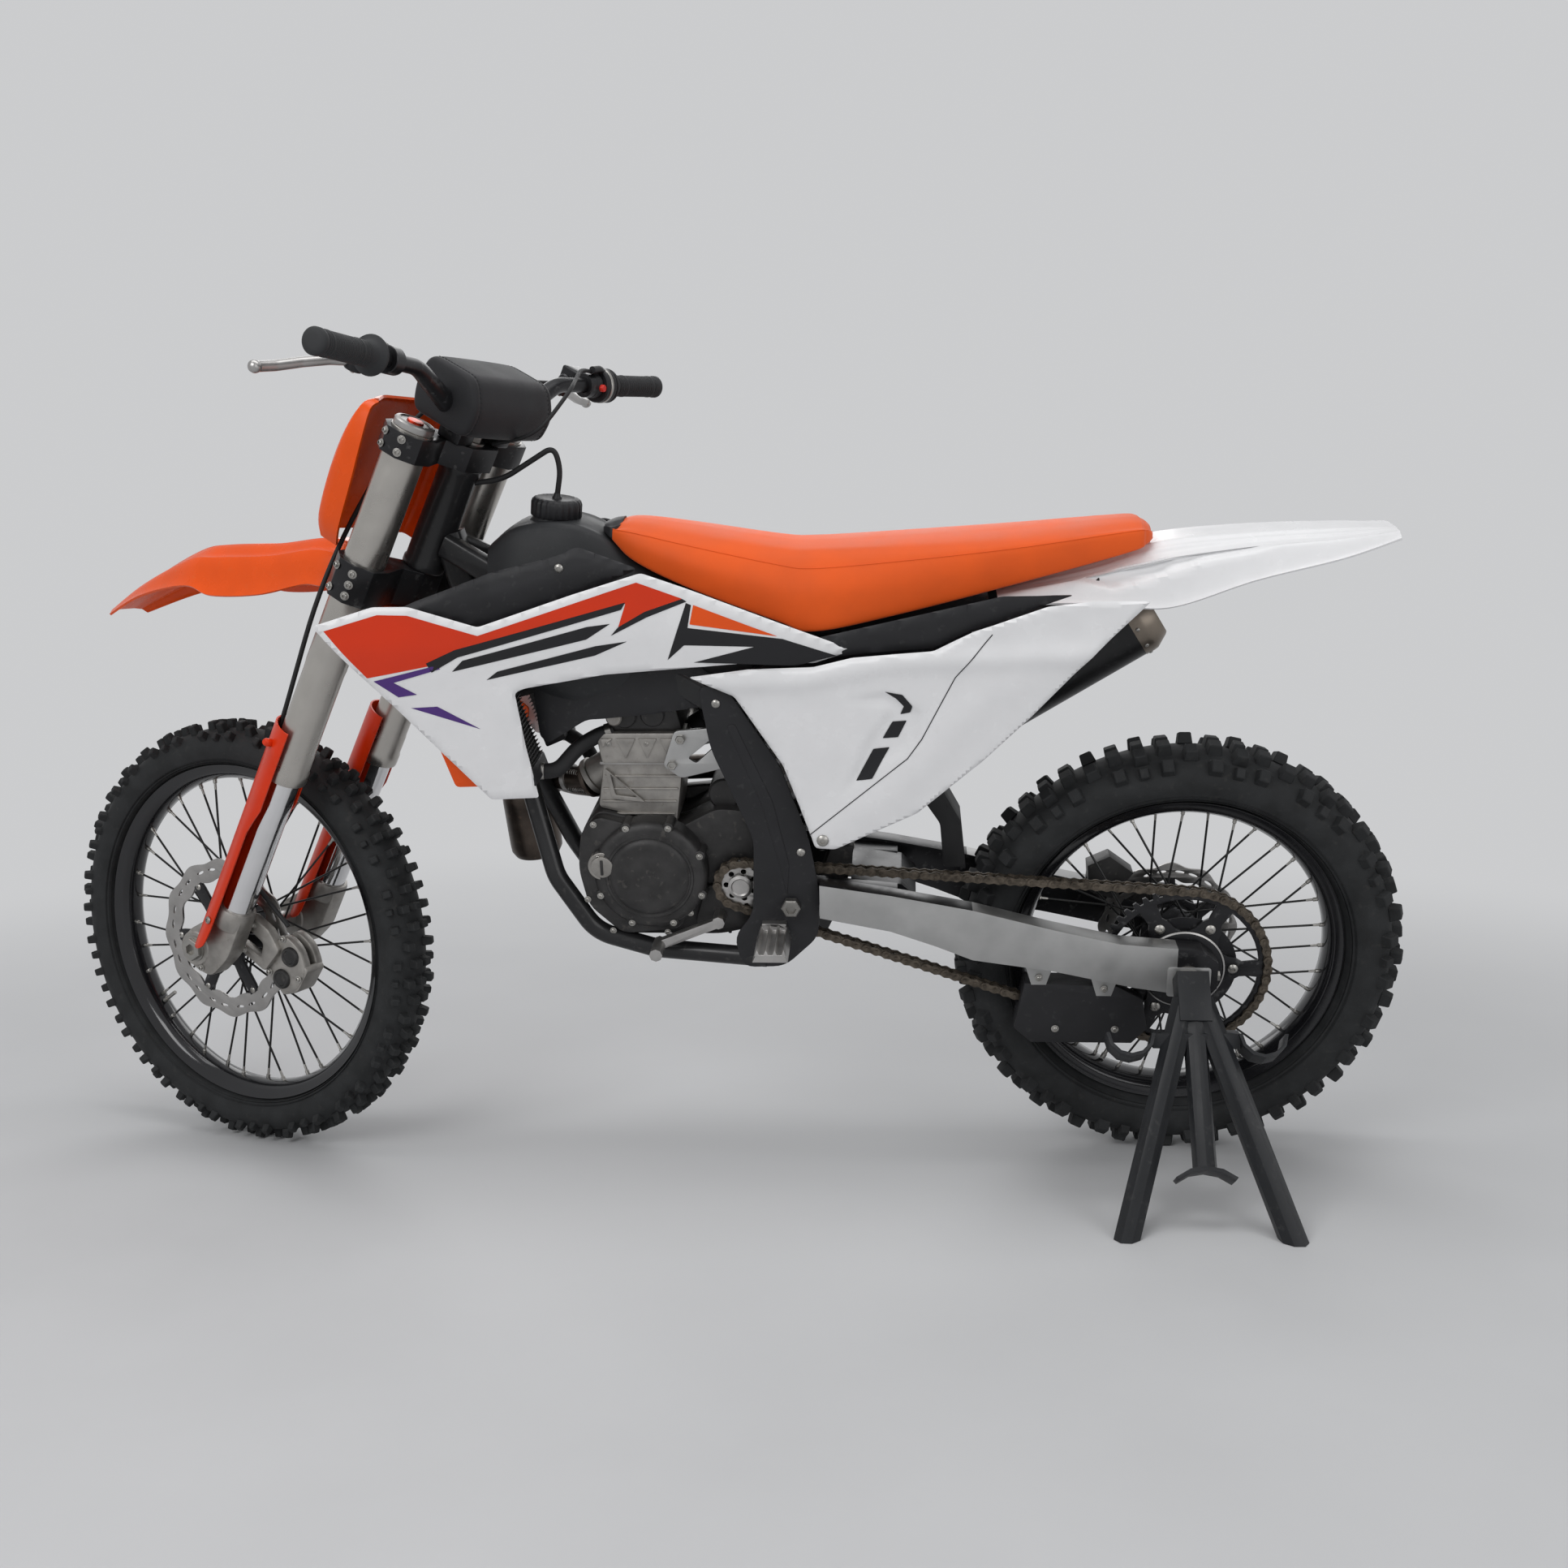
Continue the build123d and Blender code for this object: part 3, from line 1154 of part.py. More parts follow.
steering_nodes = {
    "upper_clamp": upper_clamp(),
    "lower_clamp": lower_clamp(),
    "fork_tubes": fork_tubes(),
    "fork_legs": fork_legs(),
    "fork_guards": fork_guards(),
    "front_fender": front_fender(),
    "number_plate": number_plate(),
    "handlebar": handlebar(),
    "grips": grips(),
    "bar_pad": bar_pad(),
    "clutch_control": clutch_control(),
    "brake_control": brake_control(),
    "front_caliper": front_caliper(),
    "front_axle": front_axle(),
    "brake_hose": brake_hose(),
    "throttle_cable": throttle_cable(),
}
straight = dict(steering_nodes)
for name, shape in front_wheel_nodes().items():
    straight[name] = Pos(clamp_offset + axle_lead, 0, 0) * shape
upright = {name: turned(shape) for name, shape in straight.items()}
for name, shape in rear_wheel_nodes().items():
    upright[name] = Pos(0, 0, rear_tyre_radius) * shape
for build in (frame, subframe, engine, cylinder_head, head_hangers, front_sprocket, exhaust_pipe, silencer, radiators,
              fuel_tank, shrouds, tank_covers, seat, side_panels, rear_fender, airbox, mud_flap, frame_guards,
              swingarm, chain, chain_guide, shock, linkage, rear_caliper, rear_axle, foot_controls, footpegs, breather):
    upright[build.__name__] = build()

def fitted(shape, *others):
    """Each solid without the room that the others take; what that splits off is dropped."""
    kept = []
    for solid in shape.solids():
        for other in others:
            solid = max((solid - other).solids(), key=lambda piece: piece.volume)
        kept.append(solid)
    return group(*kept)


# Pieces that wrap round others take their shape from them.
wraps = {
    "engine": ("frame",),
    "exhaust_pipe": ("cylinder_head", "frame", "silencer"),
    "subframe": ("frame", "rear_fender"),
    "fuel_tank": ("frame", "radiators"),
    "airbox": ("subframe", "fuel_tank"),
    "head_hangers": ("frame",),
    "shock": ("frame",),
    "linkage": ("frame", "swingarm", "shock"),
    "tank_covers": ("fuel_tank",),
    "side_panels": ("subframe", "rear_fender"),
    "frame_guards": ("frame", "swingarm", "engine"),
    "rear_caliper": ("rear_axle",),
    "chain_guide": ("swingarm",),
    "radiators": ("frame",),
    "breather": ("fuel_tank", "frame"),
    "front_caliper": ("fork_legs",),
    "brake_hose": ("brake_control", "front_caliper", "fork_guards"),
    "throttle_cable": ("brake_control", "upper_clamp", "bar_pad"),
}
for name, inner_names in wraps.items():
    upright[name] = fitted(upright[name], *[upright[inner] for inner in inner_names])

place = Rot(-lean, 0, 0)
for attempt in range(3):
    rear_low = lowest(place * upright["rear_tyre"])
    front_low = lowest(place * upright["front_tyre"])
    pitch = degrees(atan2(front_low - rear_low, wheelbase))
    place = Rot(0, pitch, 0) * place
place = Pos(0, 0, -lowest(place * upright["rear_tyre"])) * place
nodes = {name: place * shape for name, shape in upright.items()}
nodes["stand"] = fitted(stand(place), nodes["rear_axle"])
boxes = [shape.bounding_box() for shape in nodes.values()]
lows = [min(getattr(box.min, axis) for box in boxes) for axis in "XYZ"]
highs = [max(getattr(box.max, axis) for box in boxes) for axis in "XYZ"]
centre = Pos(-(lows[0] + highs[0]) / 2, -(lows[1] + highs[1]) / 2, -lows[2])
os.makedirs("parts", exist_ok=True)
for name, shape in nodes.items():
    export_step(group(centre * shape), f"parts/{name}.step")
print("size", [round(high - low, 1) for low, high in zip(lows, highs)], "lowest tyres",
      round(lowest(nodes["front_tyre"]), 2), round(lowest(nodes["rear_tyre"]), 2))
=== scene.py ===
import json
import math

import bmesh
import bpy
from mathutils import Matrix, Vector

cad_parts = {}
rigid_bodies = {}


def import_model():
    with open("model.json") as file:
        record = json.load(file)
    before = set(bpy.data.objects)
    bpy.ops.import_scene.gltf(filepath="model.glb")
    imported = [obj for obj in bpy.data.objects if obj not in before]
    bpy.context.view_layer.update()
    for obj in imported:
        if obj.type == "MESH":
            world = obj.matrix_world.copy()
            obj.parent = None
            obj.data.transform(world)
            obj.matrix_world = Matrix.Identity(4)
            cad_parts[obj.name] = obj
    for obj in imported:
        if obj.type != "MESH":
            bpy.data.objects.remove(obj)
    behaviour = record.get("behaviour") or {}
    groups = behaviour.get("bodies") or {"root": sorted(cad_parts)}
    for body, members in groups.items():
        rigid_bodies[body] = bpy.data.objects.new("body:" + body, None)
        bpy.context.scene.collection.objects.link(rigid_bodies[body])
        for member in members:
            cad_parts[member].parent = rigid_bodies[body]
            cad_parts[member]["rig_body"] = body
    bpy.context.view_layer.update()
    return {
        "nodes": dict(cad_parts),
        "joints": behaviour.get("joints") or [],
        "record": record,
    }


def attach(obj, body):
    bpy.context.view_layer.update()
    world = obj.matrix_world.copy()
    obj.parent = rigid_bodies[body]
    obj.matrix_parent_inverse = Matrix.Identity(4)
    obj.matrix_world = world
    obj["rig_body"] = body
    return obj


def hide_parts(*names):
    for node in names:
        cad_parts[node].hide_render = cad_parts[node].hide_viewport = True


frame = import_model()
scene = bpy.context.scene
print("frame loaded:", len(frame["nodes"]), "solids")

# Lengths below are millimetres in one of four places: the upright bike (x ahead, y left, z up,
# rear axle over x = 0), the steering (z up its axis, from the axle's level) and the two wheels.
joints = {joint["name"]: joint for joint in frame["joints"]}
bikeUp = Vector(next(m for m in frame["record"]["mounts"] if m["name"] == "seat_top")["axis"])


def placeFrom(origin, leftward, upward):
    up = Vector(upward).normalized()
    ahead = Vector(leftward).normalized().cross(up).normalized()
    left = up.cross(ahead)
    turn = Matrix((ahead, left, up)).transposed().to_4x4()
    return Matrix.Translation(origin) @ turn @ Matrix.Scale(0.001, 4)


rearRadius, frontRadius, axleAhead = 341.5, 347.0, 57.0
rearAxle, frontAxle = joints["rear_wheel_spin"], joints["front_wheel_spin"]
steerUp = joints["steering_turn"]["axis"]
rearPlace = placeFrom(rearAxle["pos_m"], rearAxle["axis"], bikeUp)
frontPlace = placeFrom(frontAxle["pos_m"], frontAxle["axis"], steerUp)
bikePlace = rearPlace @ Matrix.Translation((0, 0, -rearRadius))
steerPlace = frontPlace @ Matrix.Translation((-axleAhead, 0, 0))


# Finishes.
looks = dict(metalGloss=0.5, plainGloss=0.28, coatRough=0.08, sheenRough=0.4, bumpHeight=0.0005,
    roughSpread=0.06)


def addNode(nodes, kind, **inputs):  # in an input's name an underscore stands for a blank
    node = nodes.new("ShaderNode" + kind)
    for label, value in inputs.items():
        node.inputs[label.replace("_", " ")].default_value = value
    return node


# Grain and blotch are a scale and a depth, scuff is a share and a colour.
def finish(name, colour, rough=0.5, metal=0.0, grain=(700, 0.1), blotch=(24, 0.1), stretch=(1, 1, 1),
        coat=0.0, sheen=0.0, scuff=()):
    material = bpy.data.materials.new(name)
    material.use_nodes = True
    nodes, link = material.node_tree.nodes, material.node_tree.links.new
    shader = nodes["Principled BSDF"]
    values = {"Metallic": metal, "Specular IOR Level": looks["metalGloss" if metal else "plainGloss"]}
    if coat:
        values |= {"Coat Weight": coat, "Coat Roughness": looks["coatRough"]}
    if sheen:
        values |= {"Sheen Weight": sheen, "Sheen Roughness": looks["sheenRough"]}
    for label, value in values.items():
        shader.inputs[label].default_value = value
    where = addNode(nodes, "TexCoord").outputs["Object"]
    mapping = addNode(nodes, "Mapping", Scale=stretch)
    link(where, mapping.inputs["Vector"])
    fine = addNode(nodes, "TexNoise", Scale=grain[0], Detail=3)
    link(mapping.outputs[0], fine.inputs["Vector"])
    broad = addNode(nodes, "TexNoise", Scale=blotch[0], Detail=5)
    link(where, broad.inputs["Vector"])
    bump = addNode(nodes, "Bump", Strength=grain[1], Distance=looks["bumpHeight"])
    link(fine.outputs["Fac"], bump.inputs["Height"])
    link(bump.outputs["Normal"], shader.inputs["Normal"])
    ramp = addNode(nodes, "ValToRGB")
    low, high = ramp.color_ramp.elements
    low.position, high.position = 0.32, 0.68
    low.color = [c * (1 - blotch[1]) for c in colour] + [1]
    high.color = [min(1, c * (1 + blotch[1])) for c in colour] + [1]
    link(broad.outputs["Fac"], ramp.inputs["Fac"])
    shade = ramp.outputs["Color"]
    if scuff:
        scratch = addNode(nodes, "TexNoise", Scale=90.0, Detail=8)
        link(mapping.outputs[0], scratch.inputs["Vector"])
        edge = addNode(nodes, "MapRange", From_Min=0.6, From_Max=0.72, To_Max=scuff[0])
        link(scratch.outputs["Fac"], edge.inputs["Value"])
        mix = addNode(nodes, "Mix")
        mix.data_type = "RGBA"
        link(edge.outputs["Result"], mix.inputs[0])
        link(shade, mix.inputs[6])
        mix.inputs[7].default_value = [*scuff[1:], 1]
        shade = mix.outputs[2]
    link(shade, shader.inputs["Base Color"])
    reach = looks["roughSpread"]
    spread = addNode(nodes, "MapRange", From_Min=0.3, From_Max=0.7, To_Min=max(0.02, rough - reach),
        To_Max=min(1.0, rough + reach))
    link(broad.outputs["Fac"], spread.inputs["Value"])
    link(spread.outputs["Result"], shader.inputs["Roughness"])
    return material


orangePaint = (0.79, 0.086, 0.0045)
redOrange = (0.66, 0.034, 0.003)
plasticWhite = finish("whitePlastic", (0.78, 0.78, 0.79), 0.24, grain=(420, 0.03), blotch=(24, 0.02),
    scuff=(0.1, 0.62, 0.61, 0.6))
plasticOrange = finish("orangePlastic", orangePaint, 0.26, grain=(420, 0.03), blotch=(24, 0.04),
    scuff=(0.12, 0.62, 0.16, 0.05))
guardOrange = finish("guardOrange", redOrange, 0.32, grain=(420, 0.05), blotch=(24, 0.05),
    scuff=(0.2, 0.55, 0.16, 0.08))
decalRed = finish("decalRed", redOrange, 0.16, grain=(700, 0.01), blotch=(24, 0.02), coat=0.12)
decalOrange = finish("decalOrange", orangePaint, 0.18, grain=(700, 0.01), blotch=(24, 0.02), coat=0.12)
decalBlack = finish("decalBlack", (0.012, 0.012, 0.014), 0.2, grain=(700, 0.01), blotch=(24, 0.05), coat=0.12)
decalPurple = finish("decalPurple", (0.075, 0.028, 0.19), 0.2, grain=(700, 0.01), blotch=(24, 0.04),
    coat=0.12)
plasticBlack = finish("blackPlastic", (0.018, 0.018, 0.02), 0.46, grain=(1500, 0.35),
    scuff=(0.25, 0.07, 0.07, 0.07))
tankBlack = finish("tankPlastic", (0.022, 0.023, 0.025), 0.52, grain=(1300, 0.4),
    scuff=(0.2, 0.06, 0.06, 0.06))
paintBlack = finish("blackFramePaint", (0.014, 0.014, 0.015), 0.38, grain=(900, 0.12),
    scuff=(0.3, 0.09, 0.085, 0.08), coat=0.2)
standPaint = finish("standPaint", (0.016, 0.017, 0.019), 0.42, grain=(600, 0.25),
    scuff=(0.35, 0.06, 0.06, 0.06))
anodBlack = finish("blackAnodising", (0.02, 0.02, 0.022), 0.34, 0.55, grain=(1200, 0.08),
    scuff=(0.3, 0.2, 0.2, 0.2))
rimBlack = finish("rimBlack", (0.012, 0.012, 0.014), 0.16, 0.35, grain=(900, 0.03), coat=0.4)
tubeSilver = finish("forkTubeSilver", (0.46, 0.44, 0.41), 0.3, 0.95, grain=(500, 0.06), blotch=(24, 0.05))
chromeTube = finish("chromeTube", (0.72, 0.72, 0.73), 0.1, 1.0, grain=(400, 0.02), blotch=(24, 0.03))
castSilver = finish("castAluminium", (0.33, 0.315, 0.295), 0.46, 0.85, grain=(1100, 0.4), blotch=(40, 0.2),
    scuff=(0.3, 0.16, 0.14, 0.12))
castDark = finish("darkCasting", (0.03, 0.029, 0.029), 0.48, 0.3, grain=(1000, 0.4), blotch=(34, 0.35),
    scuff=(0.4, 0.12, 0.11, 0.1))
armSilver = finish("brushedArm", (0.44, 0.44, 0.435), 0.42, 0.92, grain=(260, 0.14), stretch=(1, 6, 12),
    blotch=(24, 0.08), scuff=(0.15, 0.3, 0.29, 0.28))
steelPlain = finish("plainSteel", (0.42, 0.41, 0.4), 0.36, 0.95, grain=(800, 0.1), blotch=(24, 0.15))
boltSteel = finish("boltSteel", (0.36, 0.35, 0.33), 0.36, 0.95, grain=(900, 0.12), blotch=(24, 0.2))
discSteel = finish("discSteel", (0.36, 0.35, 0.34), 0.32, 0.95, grain=(500, 0.12), blotch=(24, 0.12))
chainSteel = finish("chainSteel", (0.105, 0.088, 0.07), 0.5, 0.8, grain=(1200, 0.4), blotch=(120, 0.45),
    scuff=(0.5, 0.06, 0.045, 0.03))
spokeBlack = finish("spokeBlack", (0.02, 0.02, 0.02), 0.34, 0.6, blotch=(60, 0.1))
exhaustSteel = finish("exhaustSteel", (0.07, 0.056, 0.047), 0.36, 0.9, grain=(700, 0.1), blotch=(14, 0.5),
    scuff=(0.3, 0.2, 0.13, 0.09))
capBronze = finish("capBronze", (0.2, 0.17, 0.14), 0.34, 0.85, blotch=(24, 0.2))
rubberTyre = finish("tyreRubber", (0.02, 0.021, 0.022), 0.72, grain=(520, 0.45), blotch=(30, 0.3),
    scuff=(0.3, 0.05, 0.048, 0.045))
rubberPlain = finish("plainRubber", (0.018, 0.018, 0.019), 0.6, grain=(900, 0.3), blotch=(24, 0.2))
gripRubber = finish("gripRubber", (0.03, 0.031, 0.033), 0.66, grain=(900, 0.3))
seatCloth = finish("seatCover", (0.78, 0.102, 0.009), 0.58, grain=(1500, 0.5), blotch=(12, 0.07), sheen=0.15)
seatThread = finish("seatThread", (0.55, 0.08, 0.008), 0.8, grain=(2000, 0.4))
padCloth = finish("padCover", (0.016, 0.016, 0.018), 0.62, grain=(1200, 0.5), sheen=0.1)
coreGrey = finish("coolerCore", (0.1, 0.1, 0.1), 0.5, 0.6, grain=(1500, 0.5), stretch=(1, 1, 4))
springWhite = finish("springPaint", (0.7, 0.7, 0.71), 0.3, grain=(700, 0.05))
buttonRed = finish("stopButton", (0.62, 0.03, 0.02), 0.35, grain=(700, 0.05))
print("finishes ready")


# Shapes.
def newObject(name, data):
    made = bpy.data.objects.new(name, data)
    scene.collection.objects.link(made)
    return made


def newMesh(name, verts, faces):
    mesh = bpy.data.meshes.new(name)
    mesh.from_pydata([tuple(v) for v in verts], [], faces)
    return mesh


def addPiece(name, verts, faces, place, material, angle=35):
    mesh = newMesh(name, verts, faces)
    mesh.transform(place)
    mesh.materials.append(material)
    piece = newObject(name, mesh)
    tidyNormals(piece)
    shade(piece, angle)
    return piece


def tidyNormals(piece):
    work = bmesh.new()
    work.from_mesh(piece.data)
    bmesh.ops.remove_doubles(work, verts=work.verts, dist=1e-6)
    bmesh.ops.recalc_face_normals(work, faces=work.faces)
    work.to_mesh(piece.data)
    work.free()


def shade(piece, angle=35):
    mesh = piece.data
    mesh.polygons.foreach_set("use_smooth", [True] * len(mesh.polygons))
    mesh.set_sharp_from_angle(angle=math.radians(angle))


def settle(piece, angle=35):
    bpy.context.view_layer.update()
    graph = bpy.context.evaluated_depsgraph_get()
    made = bpy.data.meshes.new_from_object(piece.evaluated_get(graph))
    piece.modifiers.clear()
    old, piece.data = piece.data, made
    bpy.data.meshes.remove(old)
    shade(piece, angle)
    return piece


def thickened(piece, wall, angle=35):
    skin = piece.modifiers.new("wall", "SOLIDIFY")
    skin.thickness, skin.offset = wall * 0.001, -1
    return settle(piece, angle)


def joined(name, pieces, angle=35):
    work = bmesh.new()
    materials = []
    for piece in pieces:
        mesh = piece.data
        for material in mesh.materials:
            if material not in materials:
                materials.append(material)
        slots = [materials.index(material) for material in mesh.materials]
        before = len(work.faces)
        work.from_mesh(mesh)
        work.faces.ensure_lookup_table()
        for face in work.faces[before:]:
            face.material_index = slots[min(face.material_index, len(slots) - 1)]
    made = bpy.data.meshes.new(name)
    work.to_mesh(made)
    work.free()
    for material in materials:
        made.materials.append(material)
    for piece in pieces:
        old = piece.data
        bpy.data.objects.remove(piece)
        bpy.data.meshes.remove(old)
    piece = newObject(name, made)
    shade(piece, angle)
    return piece


def use(piece, body, slot, *nodes):
    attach(piece, body)
    if nodes:
        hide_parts(*nodes)
    return piece


def useAs(piece, body, node):  # takes a node's place
    return use(piece, body, node, node)


def softCopy(node, name, material, width, segments=2):  # a node with its edges bevelled
    mesh = frame["nodes"][node].data.copy()
    mesh.name = name
    mesh.materials.clear()
    mesh.materials.append(material)
    piece = newObject(name, mesh)
    work = bmesh.new()
    work.from_mesh(mesh)
    bmesh.ops.remove_doubles(work, verts=work.verts, dist=2e-6)
    bmesh.ops.dissolve_limit(work, angle_limit=math.radians(1.2), verts=work.verts, edges=work.edges)
    for face in work.faces:
        face.material_index = 0
    work.to_mesh(mesh)
    work.free()
    bevel = piece.modifiers.new("edges", "BEVEL")
    bevel.width, bevel.segments = width * 0.001, segments
    bevel.limit_method, bevel.angle_limit = "ANGLE", math.radians(28)
    return useAs(settle(piece), frame["nodes"][node]["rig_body"], node)


def interpolate(table, x):
    rows = sorted(table)
    if x <= rows[0][0]:
        return rows[0][1]
    for (x0, y0), (x1, y1) in zip(rows, rows[1:]):
        if x <= x1:
            return y0 + (y1 - y0) * (x - x0) / (x1 - x0)
    return rows[-1][1]


def smoothRows(rows, steps):
    out = []
    last = len(rows) - 1
    for index in range(last):
        p0, p1 = rows[max(index - 1, 0)], rows[index]
        p2, p3 = rows[index + 1], rows[min(index + 2, last)]
        for step in range(steps):
            t = step / steps
            out.append([0.5 * (2 * b + (c - a) * t + (2 * a - 5 * b + 4 * c - d) * t * t
                + (3 * b - a - 3 * c + d) * t ** 3) for a, b, c, d in zip(p0, p1, p2, p3)])
    out.append(list(rows[-1]))
    return out


def bentPath(points, bend, steps=6):
    points = [Vector(p) for p in points]
    path = [points[0]]
    for index in range(1, len(points) - 1):
        here = points[index]
        back, on = points[index - 1] - here, points[index + 1] - here
        half = back.angle(on) / 2
        if half > math.radians(89):
            path.append(here)
            continue
        reach = min(bend / math.tan(half), back.length * 0.48, on.length * 0.48)
        start, end = here + back.normalized() * reach, here + on.normalized() * reach
        for step in range(steps + 1):
            t = step / steps
            path.append(start.lerp(here, t).lerp(here.lerp(end, t), t))
    path.append(points[-1])
    return path


def sweepRings(path, section, turnHint=Vector((0, 0, 1))):
    rings = []
    across = None
    last = len(path) - 1
    for index, point in enumerate(path):
        along = (path[min(index + 1, last)] - path[max(index - 1, 0)]).normalized()
        if across is None:
            across = turnHint.cross(along)
            across = (across if across.length > 1e-3 else Vector((0, 1, 0)).cross(along)).normalized()
        else:
            across = (across - along * across.dot(along)).normalized()
        up = along.cross(across)
        shape = section(index / max(1, last)) if callable(section) else section
        rings.append([point + across * u + up * v for u, v in shape])
    return rings


def ringFaces(rows, sides, capped=True):
    faces = []
    for row in range(rows - 1):
        for side in range(sides):
            beside = (side + 1) % sides
            faces.append((row * sides + side, row * sides + beside, (row + 1) * sides + beside,
                (row + 1) * sides + side))
    if capped:
        faces += [tuple(range(sides)), tuple((rows - 1) * sides + side for side in reversed(range(sides)))]
    return faces


def ringPiece(name, rings, place, material, angle=35):
    verts = [v for ring in rings for v in ring]
    return addPiece(name, verts, ringFaces(len(rings), len(rings[0])), place, material, angle)


def sheetPiece(name, rows, place, material, facing, wall):  # an open grid, turned one way and given a wall
    across = len(rows[0])
    faces = [(a, a + 1, a + across + 1, a + across) for row in range(len(rows) - 1)
        for a in range(row * across, (row + 1) * across - 1)]
    piece = addPiece(name, [v for row in rows for v in row], faces, place, material, 50)
    aim = place.to_3x3() @ Vector(facing)
    if sum(Vector(face.normal).dot(aim) * face.area for face in piece.data.polygons) < 0:
        piece.data.flip_normals()
    return thickened(piece, wall, 45)


def circleOf(radius, sides):
    turns = (2 * math.pi * s / sides for s in range(sides))
    return [(radius * math.cos(a), radius * math.sin(a)) for a in turns]


def boxOf(width, height, corner, steps=3):
    shape = []
    for cx, cy, start in ((1, 1, 0), (-1, 1, 90), (-1, -1, 180), (1, -1, 270)):
        for step in range(steps + 1):
            angle = math.radians(start + 90 * step / steps)
            shape.append((cx * (width / 2 - corner) + corner * math.cos(angle),
                cy * (height / 2 - corner) + corner * math.sin(angle)))
    return shape


def tubePiece(name, points, radius, place, material, sides=16, bend=40, steps=6, section=None,
        hint=Vector((0, 0, 1))):
    path = bentPath(points, bend, steps)
    return ringPiece(name, sweepRings(path, section or circleOf(radius, sides), hint), place, material)


def turnedPiece(name, profile, place, material, sides=48, axis="y", centre=(0, 0, 0), angle=35):
    cx, cy, cz = centre
    verts = []
    for radius, along in profile:
        for u, v in circleOf(radius, sides):
            if axis == "y":
                verts.append((cx + u, cy + along, cz + v))
            elif axis == "z":
                verts.append((cx + u, cy + v, cz + along))
            else:
                verts.append((cx + along, cy + u, cz + v))
    rows = len(profile)
    faces = ringFaces(rows, sides, False)
    if profile[0] != profile[-1]:
        faces += [tuple(range(sides)), tuple((rows - 1) * sides + side for side in range(sides))]
    return addPiece(name, verts, faces, place, material, angle)


def cutPlate(name, outlines, low, high, edge, place, material, angle=35):
    curve = bpy.data.curves.new(name, "CURVE")
    curve.dimensions, curve.fill_mode = "2D", "BOTH"
    curve.extrude, curve.bevel_depth, curve.bevel_resolution = (high - low) / 2 - edge, edge, 1
    curve.offset = -edge
    for outline in outlines:
        spline = curve.splines.new("POLY")
        spline.points.add(len(outline) - 1)
        for point, (x, z) in zip(spline.points, outline):
            point.co = (x, z, 0, 1)
        spline.use_cyclic_u = True
    maker = newObject(name + "Maker", curve)
    bpy.context.view_layer.update()
    graph = bpy.context.evaluated_depsgraph_get()
    mesh = bpy.data.meshes.new_from_object(maker.evaluated_get(graph))
    bpy.data.objects.remove(maker)
    bpy.data.curves.remove(curve)
    mesh.name = name
    stand = Matrix.Translation((0, (low + high) / 2, 0)) @ Matrix.Rotation(math.radians(90), 4, "X")
    mesh.transform(place @ stand)
    mesh.materials.clear()
    mesh.materials.append(material)
    piece = newObject(name, mesh)
    tidyNormals(piece)
    for polygon in mesh.polygons:
        polygon.material_index = 0
    shade(piece, angle)
    return piece


def polar(radius, degrees):
    return radius * math.cos(math.radians(degrees)), radius * math.sin(math.radians(degrees))


def polarRing(radius, count, turn=0.0):
    return [polar(radius, turn + 360 * s / count) for s in range(count)]


# Repeated items: a tree that sets an item on every point of a mesh.
def itemTree():
    tree = bpy.data.node_groups.new("itemsOnPoints", "GeometryNodeTree")
    for label, side, kind in (("Points", "INPUT", "Geometry"), ("Item", "INPUT", "Object"),
            ("Item size", "INPUT", "Float"), ("Finish", "INPUT", "Material"),
            ("Items", "OUTPUT", "Geometry")):
        tree.interface.new_socket(name=label, in_out=side, socket_type="NodeSocket" + kind)
    kinds = dict(entry="NodeGroupInput", leave="NodeGroupOutput", item="GeometryNodeObjectInfo",
        turn="GeometryNodeInputNamedAttribute", rotation="FunctionNodeEulerToRotation",
        grow="GeometryNodeInputNamedAttribute", scale="ShaderNodeVectorMath",
        place="GeometryNodeInstanceOnPoints", real="GeometryNodeRealizeInstances",
        coat="GeometryNodeSetMaterial")
    nodes = {word: tree.nodes.new(kind) for word, kind in kinds.items()}
    for word in ("turn", "grow"):
        nodes[word].data_type = "FLOAT_VECTOR"
        nodes[word].inputs["Name"].default_value = word
    nodes["scale"].operation = "SCALE"
    for start, outlet, end, inlet in (("entry", "Points", "place", "Points"),
            ("entry", "Item", "item", "Object"), ("item", "Geometry", "place", "Instance"),
            ("turn", "Attribute", "rotation", 0), ("rotation", 0, "place", "Rotation"),
            ("grow", "Attribute", "scale", 0), ("entry", "Item size", "scale", "Scale"),
            ("scale", 0, "place", "Scale"), ("place", 0, "real", 0), ("real", 0, "coat", "Geometry"),
            ("entry", "Finish", "coat", "Material"), ("coat", 0, "leave", 0)):
        tree.links.new(nodes[start].outputs[outlet], nodes[end].inputs[inlet])
    return tree


itemsOnPoints = itemTree()


